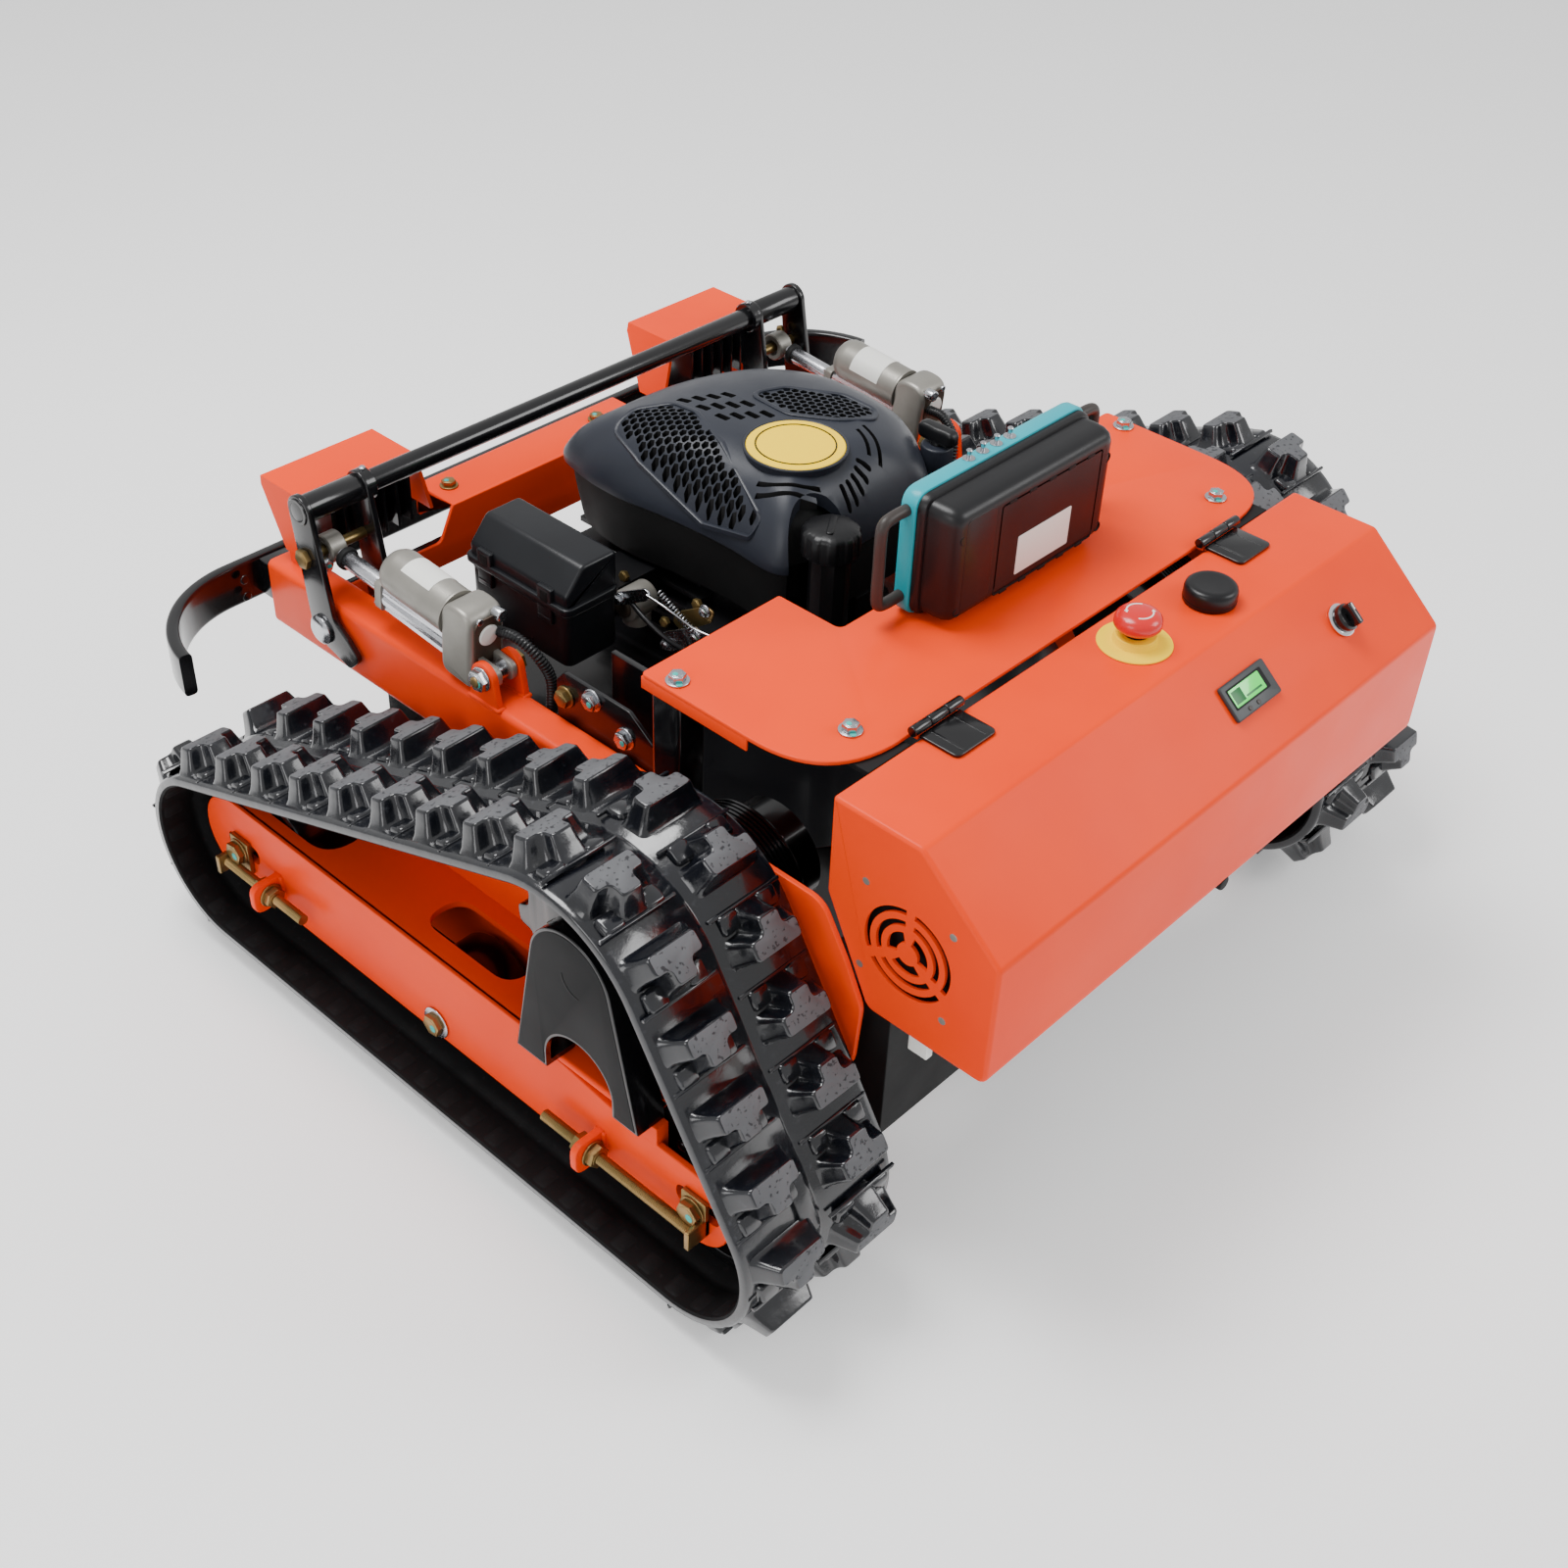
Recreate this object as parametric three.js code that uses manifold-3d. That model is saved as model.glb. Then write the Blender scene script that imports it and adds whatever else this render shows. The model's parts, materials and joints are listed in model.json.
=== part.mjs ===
// Remote control slope mower on two rubber tracks, standing on its lugs.
// Millimetres, +Z up. The front with its lamps looks along -Y, the hinged box is at +Y,
// and the machine's left track is at +X. The origin is on the ground under the middle.
import * as THREE from 'three';
import { mergeVertices } from 'three/addons/utils/BufferGeometryUtils.js';
import Module from 'manifold-3d';

const wasm = await Module();
wasm.setup();

// Clearances and how far a cut runs past what it cuts
const gap = 0.3;
const running = 1.5;
const play = 0.5;
const wheelPlay = 1;
const over = 2;

// How finely round shapes are cut into facets
const round = { wheel: 16, pin: 8, small: 6, arcStep: 0.25 };

// Rubber track: a band round three wheels with two staggered rows of lugs
const track = { outer: 470, width: 158, band: 9.5, lug: 22, lugCount: 30, lugSink: 4.5 };
const lug = { length: 60, bar: 21, stem: 25, reach: 18, edge: 8, topShare: 0.74 };
const front = { y: -296, r: 87 };
const rear = { y: 280, r: 85 };
const drive = { y: 158, z: 260, r: 108 };
front.z = track.lug + front.r;
rear.z = track.lug + rear.r;

// Orange track frame: a channel with its open side down, its inner web running up to the drive
const frame = { inset: 35, width: 87, sheet: 6, bottom: 65, top: 156, nose: -352, tail: 312, tailR: 37 };
frame.outer = track.outer - frame.inset;
frame.inner = frame.outer - frame.width;
frame.slope = 90;
frame.slopeEnd = 200;
frame.flangeEnd = 214;
const frameRise = { start: -200, knee: -80, kneeZ: 262, brow: 90, browZ: 326, crown: 205, back: 290 };
const crossTube = { side: 36, frontY: -58, frontZ: 241, rearY: 225, rearZ: 178 };
const window = { width: 42, y0: -68, y1: 43, noseEnd: -187 };
const wheel = { side: 10.5, hub: 26, axle: 8, rollerY: -28, rollerR: 48 };
wheel.width = frame.width - 2 * (frame.sheet + wheel.side);
const slot = { length: 46, height: 18 };
const adjuster = { rod: 5, rodDrop: 13, head: 12, headDepth: 7, plate: 5, block: 26, lug: 30, lugSheet: 7 };
adjuster.reach = 48;
adjuster.rearReach = 110;
adjuster.stand = 13;

// Drive motor, sprocket and the black guard outside the sprocket
const motor = { flange: 66, flangeDepth: 3, drum: 60, drumLength: 50, body: 46, bodyLength: 34 };
const sprocket = { teeth: 14, side: 6, hub: 30, toothDepth: 12, shaft: 12 };
sprocket.width = wheel.width - 2 * sprocket.side;
const guard = { stand: 15, depth: 30, sheet: 5, y0: 95, y1: 236, crownY: 164, crownZ: 272, crownR: 46 };
guard.outer = frame.outer + guard.stand;
guard.lean = 0.2;
const guardArch = { y: 172, r: 40, z: 167 };
const guardBoss = { r: 24, depth: 14 };
const guardFoot = { y: 24, x: 13 };

// Orange side beam, with the plate that carries the motor and a post for the top plate
const beam = { off: 9, width: 35, bottom: 239, top: 305, nose: -406, tail: 92, corner: 7 };
beam.outer = track.outer - track.width - beam.off;
beam.inner = beam.outer - beam.width;
const motorPlate = { stand: 3, sheet: 5, y0: 60, y1: 318, z0: 178, z1: 328 };
motorPlate.x1 = beam.outer + motorPlate.stand;
motorPlate.x0 = motorPlate.x1 - motorPlate.sheet;
const motorPlateShares = [
  [0, 0.22], [0.12, 0], [0.98, 0], [1, 0.48], [0.93, 0.72], [0.83, 1], [0.13, 1], [0, 0.8],
];
const ear = { sheet: 6, r: 14, apart: 22.6, boltOut: 7 };
const post = { x: 26, y0: 84, y1: 114 };

// Lift: a cross bar on levers, pushed by two linear actuators
const lift = { y: -313.6, z: 280, barY: -328.7, barZ: 392.8, bar: 10, sleeve: 12.5, collar: 15 };
lift.pin = 8;
lift.head = 14;
lift.headDepth = 6;
const lever = { sheet: 6, off: 3.3, inset: 21, collarWidth: 9, width: 30, footY: 34, footZ: -12, arm: 75 };
lever.innerX = beam.inner - lever.inset;
lever.armPin = 5.5;
lever.armSweep = 12;
const actuator = { y: -104, z: 329, tipY: -326, tipZ: 348, tube: 27, tubeEnd: 146, rod: 8, eye: 12.5 };
actuator.pin = 5;
actuator.head = 10;
actuator.eyeWidth = 17;
actuator.rodTail = 110;
const gearbox = { start: 14, end: 52, low: -21, high: 52, width: 38, corner: 16, tongue: 22 };
const motorCan = { r: 21, rise: 29, end: 136, cap: 8 };
const sleeve = { r: 5.2, rib: 0.9, pitch: 6.4, sides: 8 };
sleeve.rise = 1;
sleeve.bend = 22;
sleeve.reach = 40;
sleeve.lean = 12;
sleeve.tail = 46;
sleeve.fall = 34;
sleeve.off = 8;
sleeve.hang = 36;
const gland = { side: 14, height: 12 };

// Front bumper, lamps with their hoods, the panel between them and the cross pipe
const bumper = { inset: 27, bend: 112, front: -435, thick: 12, top: 300, height: 42, tail: 78, foot: 30 };
bumper.half = track.outer - bumper.inset;
const hood = { inset: 16, width: 124, y0: -422, y1: -357, top: 380, sheet: 3, flare: 14, drop: 62 };
hood.x1 = beam.outer - hood.inset;
hood.x0 = hood.x1 - hood.width;
const lamp = { inset: 17, width: 88, depth: 30, height: 56, fins: 7, finDepth: 14, finSheet: 3, lens: 4 };
lamp.x0 = hood.x0 + lamp.inset;
const panel = { half: 128, y0: -412, y1: -354, top: 313, sheet: 4, drop: 60, wing: 34 };
const crossPipe = { r: 9, y: -372, z: 262 };

// Top plate with the notch for the engine
const top = { inset: 7.7, y0: 76.6, y1: 266, z: 424, sheet: 4, flange: 14, flangeY1: 217, corner: 62 };
top.half = beam.outer - top.inset;
const notch = { half: 144.5, y1: 141.3 };
const bolt = { in1: 12, y1: 103.6, in2: 58.6, y2: 233.7, r: 7, washer: 1.6, head: 5.5, ring: 9.5 };
bolt.x1 = top.half - bolt.in1;
bolt.x2 = top.half - bolt.in2;

// Mower deck under the engine, with its blade
const deck = { off: 6, y0: -300, top: 227, sheet: 5, skirt: 152 };
deck.half = beam.inner - deck.off;
const hanger = { off: 13, sheet: 6, y0: -264, y1: -212, rise: 64 };
hanger.x = lever.innerX - hanger.off;
const sidePlate = { off: 12, sheet: 6, y0: -30, y1: 66, rise: 130 };
sidePlate.x = hanger.x - sidePlate.off;
const crank = { x: 0, y: -37 };
const blade = { r: 242, width: 52, thick: 5, z: 96, hub: 28, hubHeight: 26, shaft: 14 };

// Engine block, cowl, filler, air filter and recoil handle
const block = { r: 96, height: 62, headX0: -78, headX1: 44, headY0: -232, headZ0: 243 };
block.hub = 48;
block.fins = 5;
block.finOut = 18;
block.finSheet = 5;
block.finBack = -92;
const flywheel = { r: 26, z1: 378 };
const carb = { y0: -186, y1: -142, z0: 286, z1: 315 };
const cowl = { x0: -186, x1: 84, y0: -270, y1: 26, foot: 320, rim: 385, top: 450, wall: 5, midX: -20, midY: -55 };
block.headZ1 = cowl.foot - gap;
const cowlPost = { x0: -50, x1: -20, y0: 12, y1: 22 };
const cowlOutlineShares = [
  [0.922, 0.01], [0.985, 0.132], [1, 0.301], [0.97, 0.503], [0.956, 0.726], [0.963, 0.932],
  [0.874, 0.986], [0.67, 1], [0.467, 1], [0.281, 0.98], [0.133, 0.861], [0.03, 0.709],
  [0, 0.507], [0.03, 0.304], [0.17, 0.128], [0.411, 0.027], [0.689, 0],
];
const cowlRings = { footShare: 0.92, shoulderShare: 0.94, browShare: 0.68, crownShare: 0.36 };
cowlRings.shoulderRiseShare = 0.33;
cowlRings.browRiseShare = 0.82;
const filler = { x: 36, y: 35, neck: 18, cap: 22, neckTop: 398, capHeight: 27, cut: 36, ridges: 10, dip: 1 };
const airBox = { x0: 146, x1: 205, y0: -235, y1: -109, z0: 287, z1: 382, corner: 9, lip: 4, lipZ: 345, lean: 20 };
airBox.brow = 14;
const recoil = { x: -158, y: -10, z: 410, length: 42, width: 15, height: 17, stem: 6, stemLength: 34, guide: 15 };

// Rear box: hinged housing over a tray that holds the battery and the control units
const housing = { inset: 3, y0: 273.5, y1: 429.8, yTop: 354.4, top: 422.6, zBack: 359.1, bottom: 247 };
housing.sheet = 3;
housing.half = beam.outer - housing.inset;
housing.footIn = 44.5;
housing.footRise = 88;
housing.footY = housing.y0 + housing.footIn;
housing.footZ = housing.bottom + housing.footRise;
const tray = { inset: 15, deckOff: 28, y1: 333, z0: 110, z1: 243, sheet: 5, panTop: 257, lip: 3, backRise: 36 };
tray.half = beam.outer - tray.inset;
tray.y0 = crank.y + deck.half + tray.deckOff;
const tab = { width: 46, depth: 44 };
const battery = { x: 182, y: 78, z: 106, terminal: 8, off: 12, edge: 4 };
const unit = { x: 92, y: 70, z: 46, from: 150 };
const hinge = { x: 183.8, width: 46, axisY: 270, rise: 6.3, r: 4.4, leaf: 36, sheet: 2.6, barrel: 56 };
const vent = { y: 350.5, z: 327, ring: 11, first: 11, slot: 5, rings: 3, spokes: 4, spoke: 7 };

// Controls on the housing
const stop = { x: -6, y: 312, ring: 30, ringHeight: 2, collar: 17, collarHeight: 9, head: 19, headHeight: 15 };
stop.edge = 4;
stop.stem = 9;
stop.stemLength = 26;
stop.travel = 6;
const aerial = { x: -99.5, y: 318.5, r: 22, height: 16, edge: 3 };
const meter = { x: -54.5, along: 46.5, width: 61, height: 31, thick: 3.5, bodyX: 54, bodyY: 25, depth: 22 };
const dial = { x: -193.8, along: 45.8, ring: 14.5, ringHeight: 3, knob: 10, knobHeight: 15, stem: 5 };
dial.stemLength = 20;

// Hand transmitter standing on the top plate on its long edge
const remote = { x: -8, y0: 152, y1: 205, half: 106, height: 110, split: 176, inset: 5, corner: 24 };
const rail = { r: 4.5, out: 24, low: 18, high: 94, y: 160, bend: 12 };
const stick = { x: 58, r: 4.5, length: 15, cap: 9, capHeight: 6, pot: 17, potHeight: 5, foot: 1.2 };
stick.taper = 3;
const toggle = { r: 2.5, length: 8, first: 34, step: 17, count: 4 };

// Colours, roughness and metalness of the finishes
const paint = {
  orange: [0xf04f22, 0.35, 0], black: [0x141416, 0.4, 0.1], rubber: [0x1c1e24, 0.45, 0],
  plastic: [0x202225, 0.55, 0], cowl: [0x2c2f34, 0.5, 0], silver: [0xa6a198, 0.35, 0.8],
  zinc: [0xc9b060, 0.35, 0.9], steel: [0x8a8d90, 0.35, 0.9], teal: [0x3fc4c6, 0.4, 0],
  yellow: [0xf4e01e, 0.45, 0], red: [0xd83434, 0.35, 0], grey: [0x55585a, 0.5, 0],
  chrome: [0xe6e6e6, 0.15, 0.9], cell: [0x26343f, 0.5, 0],
};

// A closed solid from a geometry, keeping only its positions
function solid(geometry) {
  let plain = geometry.index ? geometry.toNonIndexed() : geometry.clone();
  for (const name of Object.keys(plain.attributes)) if (name !== 'position') plain.deleteAttribute(name);
  plain = mergeVertices(plain, 1e-4);
  const vertProperties = new Float32Array(plain.attributes.position.array);
  const triVerts = new Uint32Array(plain.index.array);
  return new wasm.Manifold(new wasm.Mesh({ numProp: 3, vertProperties, triVerts }));
}

// Box between two values on each axis, in either order
function box(x0, x1, y0, y1, z0, z1) {
  const geometry = new THREE.BoxGeometry(Math.abs(x1 - x0), Math.abs(y1 - y0), Math.abs(z1 - z0));
  geometry.translate((x0 + x1) / 2, (y0 + y1) / 2, (z0 + z1) / 2);
  return solid(geometry);
}

function shapeOf(points) {
  return new THREE.Shape(points.map(([a, b]) => new THREE.Vector2(a, b)));
}

// Prism of an outline along one axis, placed by a right-handed basis
function prism(points, from, to, basis, holes = []) {
  const shape = shapeOf(points);
  for (const hole of holes) shape.holes.push(new THREE.Path(hole.map(([a, b]) => new THREE.Vector2(a, b))));
  const low = Math.min(from, to);
  const geometry = new THREE.ExtrudeGeometry(shape, { depth: Math.abs(to - from), bevelEnabled: false });
  geometry.translate(0, 0, low);
  geometry.applyMatrix4(basis);
  return solid(geometry);
}

const axisX = new THREE.Vector3(1, 0, 0);
const axisY = new THREE.Vector3(0, 1, 0);
const axisZ = new THREE.Vector3(0, 0, 1);
const alongX = new THREE.Matrix4().makeBasis(axisY, axisZ, axisX);
const alongY = new THREE.Matrix4().makeBasis(axisZ, axisX, axisY);
const alongZ = new THREE.Matrix4().makeBasis(axisX, axisY, axisZ);

// Outline in Y and Z, swept between two X values
function slabX(points, x0, x1, holes) {
  return prism(points, x0, x1, alongX, holes);
}

// Outline in X and Z, swept between two Y values
function slabY(points, y0, y1) {
  return prism(points.map(([x, z]) => [z, x]), y0, y1, alongY);
}

// Outline in X and Y, swept between two Z values
function slabZ(points, z0, z1, holes) {
  return prism(points, z0, z1, alongZ, holes);
}

// Cylinder or cone between two points
function rod(p, q, r, sides = round.pin, rEnd = r) {
  const from = new THREE.Vector3(...p);
  const to = new THREE.Vector3(...q);
  const geometry = new THREE.CylinderGeometry(rEnd, r, from.distanceTo(to), sides);
  const turn = new THREE.Quaternion().setFromUnitVectors(axisY, to.clone().sub(from).normalize());
  geometry.applyQuaternion(turn);
  geometry.translate(...from.add(to).multiplyScalar(0.5).toArray());
  return solid(geometry);
}

function join(parts) {
  return parts.reduce((sum, next) => sum.add(next));
}

function cut(body, tools) {
  return tools.reduce((rest, tool) => rest.subtract(tool), body);
}

function circle(cy, cz, r, sides, from = 0) {
  return Array.from({ length: sides }, (_, i) => {
    const a = from + (2 * Math.PI * i) / sides;
    return [cy + r * Math.cos(a), cz + r * Math.sin(a)];
  });
}

// Outline given as shares of a rectangle
function shareOutline(shares, a0, a1, b0, b1) {
  return shares.map(([a, b]) => [a0 + a * (a1 - a0), b0 + b * (b1 - b0)]);
}

// Rectangle with rounded corners
function roundRect(a0, a1, b0, b1, r, steps = 2) {
  const points = [];
  const corners = [[a1 - r, b0 + r, -0.5], [a1 - r, b1 - r, 0], [a0 + r, b1 - r, 0.5], [a0 + r, b0 + r, 1]];
  for (const [ca, cb, turn] of corners) {
    for (let i = 0; i <= steps; i += 1) {
      const angle = Math.PI * (turn + (0.5 * i) / steps);
      points.push([ca + r * Math.cos(angle), cb + r * Math.sin(angle)]);
    }
  }
  return points;
}

// Outer tangents and arcs of a loop round three wheels, drawn in by a depth
function loopRuns(depth) {
  const wheels = [front, rear, drive].map((w) => ({ y: w.y, z: w.z, r: w.r - depth }));
  const leave = wheels.map((a, i) => {
    const b = wheels[(i + 1) % wheels.length];
    const span = Math.hypot(b.y - a.y, b.z - a.z);
    return Math.atan2(b.z - a.z, b.y - a.y) - Math.acos((a.r - b.r) / span);
  });
  return wheels.map((w, i) => {
    const start = leave[(i + wheels.length - 1) % wheels.length];
    let end = leave[i];
    while (end < start) end += 2 * Math.PI;
    return { ...w, start, end };
  });
}

function loopPoints(depth) {
  const points = [];
  for (const run of loopRuns(depth)) {
    const steps = Math.ceil((run.end - run.start) / round.arcStep);
    for (let i = 0; i <= steps; i += 1) {
      const a = run.start + ((run.end - run.start) * i) / steps;
      points.push([run.y + run.r * Math.cos(a), run.z + run.r * Math.sin(a)]);
    }
  }
  return points;
}

// Places at even steps along the outside of the loop, each with its travel and outward directions
function loopPlaces(count, offset) {
  const pieces = [];
  const runs = loopRuns(0);
  runs.forEach((run, i) => {
    const next = runs[(i + 1) % runs.length];
    pieces.push({ arc: run, length: run.r * (run.end - run.start) });
    const p = [run.y + run.r * Math.cos(run.end), run.z + run.r * Math.sin(run.end)];
    const q = [next.y + next.r * Math.cos(next.start), next.z + next.r * Math.sin(next.start)];
    pieces.push({ p, q, length: Math.hypot(q[0] - p[0], q[1] - p[1]), angle: run.end });
  });
  const total = pieces.reduce((sum, piece) => sum + piece.length, 0);
  return Array.from({ length: count }, (_, i) => {
    let at = (total * (i + offset)) / count;
    let k = 0;
    while (at > pieces[k].length) {
      at -= pieces[k].length;
      k += 1;
    }
    const piece = pieces[k];
    if (piece.arc) {
      const a = piece.arc.start + at / piece.arc.r;
      return { y: piece.arc.y + piece.arc.r * Math.cos(a), z: piece.arc.z + piece.arc.r * Math.sin(a), a };
    }
    const share = at / piece.length;
    const y = piece.p[0] + share * (piece.q[0] - piece.p[0]);
    const z = piece.p[1] + share * (piece.q[1] - piece.p[1]);
    return { y, z, a: piece.angle };
  });
}

// One tapered T-shaped lug standing on the band, its bar across the track
function trackLug(place, x, side, stemSign) {
  const half = lug.length / 2;
  const stemHalf = lug.stem / 2;
  const v = (value) => -side * stemSign * value;
  const points = [
    [-half, v(-lug.bar / 2)], [half, v(-lug.bar / 2)], [half, v(lug.bar / 2)], [stemHalf, v(lug.bar / 2)],
    [stemHalf, v(lug.bar / 2 + lug.reach)], [-stemHalf, v(lug.bar / 2 + lug.reach)],
    [-stemHalf, v(lug.bar / 2)], [-half, v(lug.bar / 2)],
  ];
  const depth = track.lug + track.lugSink;
  const geometry = new THREE.ExtrudeGeometry(shapeOf(points), { depth, bevelEnabled: false });
  const position = geometry.attributes.position;
  for (let i = 0; i < position.count; i += 1) {
    const share = 1 - (1 - lug.topShare) * (position.getZ(i) / depth);
    position.setXYZ(i, position.getX(i) * share, position.getY(i) * share, position.getZ(i) - track.lugSink);
  }
  const normal = new THREE.Vector3(0, Math.cos(place.a), Math.sin(place.a));
  const travel = new THREE.Vector3(0, -Math.sin(place.a), Math.cos(place.a));
  const across = axisX.clone().multiplyScalar(side);
  const basis = new THREE.Matrix4().makeBasis(across, travel.multiplyScalar(-side), normal);
  basis.setPosition(side * x, place.y, place.z);
  geometry.applyMatrix4(basis);
  return solid(geometry);
}

function trackBelt(side) {
  const inner = side * (track.outer - track.width);
  const band = slabX(loopPoints(0), inner, side * track.outer, [loopPoints(track.band)]);
  const outerRow = track.outer - lug.edge - lug.length / 2;
  const innerRow = track.outer - track.width + lug.edge + lug.length / 2;
  const lugs = [];
  for (const place of loopPlaces(track.lugCount, 0)) lugs.push(trackLug(place, outerRow, side, 1));
  for (const place of loopPlaces(track.lugCount, 0.5)) lugs.push(trackLug(place, innerRow, side, -1));
  return join([band, ...lugs]);
}

const wheelX = (frame.outer + frame.inner) / 2;
const wheelClear = track.band + wheelPlay;
const rollerZ = track.lug + wheelClear + wheel.rollerR;
const frontLug = front.y + adjuster.reach;
const rearLug = rear.y - adjuster.rearReach;

// Outline of the channel's webs: a full round nose, a sloping top edge and a smaller round tail
function webOutline() {
  const r = (frame.top - frame.bottom) / 2;
  const points = [[frame.slopeEnd, frame.bottom + 2 * frame.tailR], [frame.slope, frame.top]];
  const steps = 4;
  for (let i = 0; i <= steps; i += 1) {
    const a = Math.PI * (0.5 + i / steps);
    points.push([frame.nose + r + r * Math.cos(a), frame.bottom + r + r * Math.sin(a)]);
  }
  for (let i = 0; i <= steps; i += 1) {
    const a = Math.PI * (i / steps - 0.5);
    points.push([frame.tail - frame.tailR + frame.tailR * Math.cos(a),
      frame.bottom + frame.tailR + frame.tailR * Math.sin(a)]);
  }
  return points;
}

function slotAt(y, z, x0, x1) {
  const outline = roundRect(y - slot.length / 2, y + slot.length / 2, z - slot.height / 2, z + slot.height / 2,
    slot.height / 2 - gap);
  return slabX(outline, x0, x1);
}

function trackFrame(side) {
  const x = (value) => side * value;
  const outerWeb = slabX(webOutline(), x(frame.outer - frame.sheet), x(frame.outer));
  const rise = [
    [frameRise.start, frame.top - frame.sheet], [frameRise.back, frame.bottom + frame.tailR],
    [frameRise.back, frame.top], [frameRise.crown, frameRise.browZ], [frameRise.brow, frameRise.browZ],
    [frameRise.knee, frameRise.kneeZ], [frameRise.start, frame.top],
  ];
  const innerWeb = slabX(webOutline(), x(frame.inner), x(frame.inner + frame.sheet));
  const riser = slabX(rise, x(frame.inner), x(frame.inner + frame.sheet));
  const noseRound = (frame.top - frame.bottom) / 2;
  const flange = box(x(frame.inner), x(frame.outer), frame.nose + noseRound, frame.flangeEnd,
    frame.top - frame.sheet, frame.top);
  const windowCut = (y0, y1, width) => slabZ(
    roundRect(side * wheelX - width / 2, side * wheelX + width / 2, y0, y1, width / 2 - gap),
    frame.top - frame.sheet - over, frame.top + over);
  const tubeAt = (face, y, z) => box(x(face + gap), x(frame.inner + over), y, y + crossTube.side, z,
    z + crossTube.side);
  const lugPlate = (y, z) => box(x(frame.outer - over), x(frame.outer + adjuster.lug), y, y + adjuster.lugSheet,
    z - adjuster.lug / 2, z + adjuster.lug / 2);
  const footBlock = box(x(frame.outer - guardFoot.x), x(frame.outer), guard.y1 - guardFoot.y, guard.y1,
    frame.bottom + frame.tailR, frame.top);
  const web0 = x(frame.inner - over);
  const web1 = x(frame.outer + over);
  const rodX = x(frame.outer + adjuster.stand);
  const rodHole = (w, lugY) => rod([rodX, lugY - over, w.z - adjuster.rodDrop],
    [rodX, lugY + adjuster.lugSheet + over, w.z - adjuster.rodDrop], adjuster.rod + gap, round.pin);
  const body = join([outerWeb, innerWeb, riser, flange, footBlock,
    tubeAt(beam.outer, crossTube.frontY, crossTube.frontZ), tubeAt(motorPlate.x1, crossTube.rearY, crossTube.rearZ),
    lugPlate(frontLug, front.z - adjuster.rodDrop), lugPlate(rearLug, rear.z - adjuster.rodDrop)]);
  return cut(body, [
    windowCut(frame.nose - over, window.noseEnd, wheel.width + over),
    windowCut(window.y0, window.y1, window.width),
    slotAt(front.y, front.z, web0, web1), slotAt(rear.y, rear.z, web0, web1),
    rodHole(front, frontLug), rodHole(rear, rearLug),
    rod([web0, wheel.rollerY, rollerZ], [web1, wheel.rollerY, rollerZ], wheel.axle + gap),
    rod([web0, drive.y, drive.z], [x(frame.inner + frame.sheet + over), drive.y, drive.z],
      sprocket.hub + running, round.wheel),
  ]);
}

// Wheel with a flat rim, a hub on both sides and a bore for its bolt
function trackWheel(side, y, z, r) {
  const half = wheel.width / 2;
  const hubHalf = (frame.outer - frame.inner) / 2 - frame.sheet - gap;
  const bore = wheel.axle + gap;
  const profile = [
    [bore, -hubHalf], [wheel.hub, -hubHalf], [wheel.hub, -half], [r, -half], [r, half], [wheel.hub, half],
    [wheel.hub, hubHalf], [bore, hubHalf], [bore, -hubHalf],
  ];
  const geometry = new THREE.LatheGeometry(profile.map(([a, b]) => new THREE.Vector2(a, b)), round.wheel);
  geometry.rotateZ(Math.PI / 2);
  geometry.translate(side * wheelX, y, z);
  return solid(geometry);
}

// Axle bolt, its block outside the frame and the threaded rod that pushes it
function tensioner(side, w, toward, lugY) {
  const x = (value) => side * value;
  const z = w.z;
  const rodZ = z - adjuster.rodDrop;
  const rodX = x(frame.outer + adjuster.stand);
  const face = frame.outer + gap;
  const inside = frame.inner - gap;
  const half = adjuster.block / 2;
  const stopY = w.y - toward * half;
  const farSide = lugY + (toward > 0 ? adjuster.lugSheet : 0);
  const nearSide = lugY + (toward > 0 ? 0 : adjuster.lugSheet);
  const bolt0 = x(inside - adjuster.headDepth);
  const bolt1 = x(face + adjuster.plate + adjuster.headDepth);
  return join([
    rod([bolt0, w.y, z], [bolt1, w.y, z], wheel.axle),
    rod([bolt0, w.y, z], [x(inside), w.y, z], adjuster.head, 6),
    rod([x(face + adjuster.plate), w.y, z], [bolt1, w.y, z], adjuster.head, 6),
    box(x(face), x(face + adjuster.plate), w.y - half, w.y + half, rodZ - half, z + half),
    box(x(face), x(face + adjuster.block), stopY, stopY + toward * adjuster.plate, rodZ - half, rodZ + half),
    rod([rodX, stopY, rodZ], [rodX, farSide + toward * adjuster.reach, rodZ], adjuster.rod),
    rod([rodX, farSide + toward * gap, rodZ], [rodX, farSide + toward * (gap + adjuster.headDepth), rodZ],
      adjuster.head - running, 6),
    rod([rodX, nearSide - toward * gap, rodZ], [rodX, nearSide - toward * (gap + adjuster.headDepth), rodZ],
      adjuster.head - running, 6),
  ]);
}

function driveSprocket(side) {
  const rim = drive.r - wheelClear;
  const points = [];
  const step = (2 * Math.PI) / sprocket.teeth;
  for (let i = 0; i < sprocket.teeth; i += 1) {
    for (const [share, r] of [[0, rim - sprocket.toothDepth], [0.3, rim - sprocket.toothDepth], [0.42, rim],
      [0.88, rim]]) {
      points.push([drive.y + r * Math.cos(step * (i + share)), drive.z + r * Math.sin(step * (i + share))]);
    }
  }
  const x0 = motorPlate.x1 + gap + motor.flangeDepth + gap;
  const end = guard.outer - guard.sheet - gap;
  return join([
    slabX(points, side * (wheelX - sprocket.width / 2), side * (wheelX + sprocket.width / 2)),
    rod([side * x0, drive.y, drive.z], [side * wheelX, drive.y, drive.z], sprocket.hub, round.wheel),
    rod([side * wheelX, drive.y, drive.z], [side * end, drive.y, drive.z], sprocket.shaft),
  ]);
}

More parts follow.
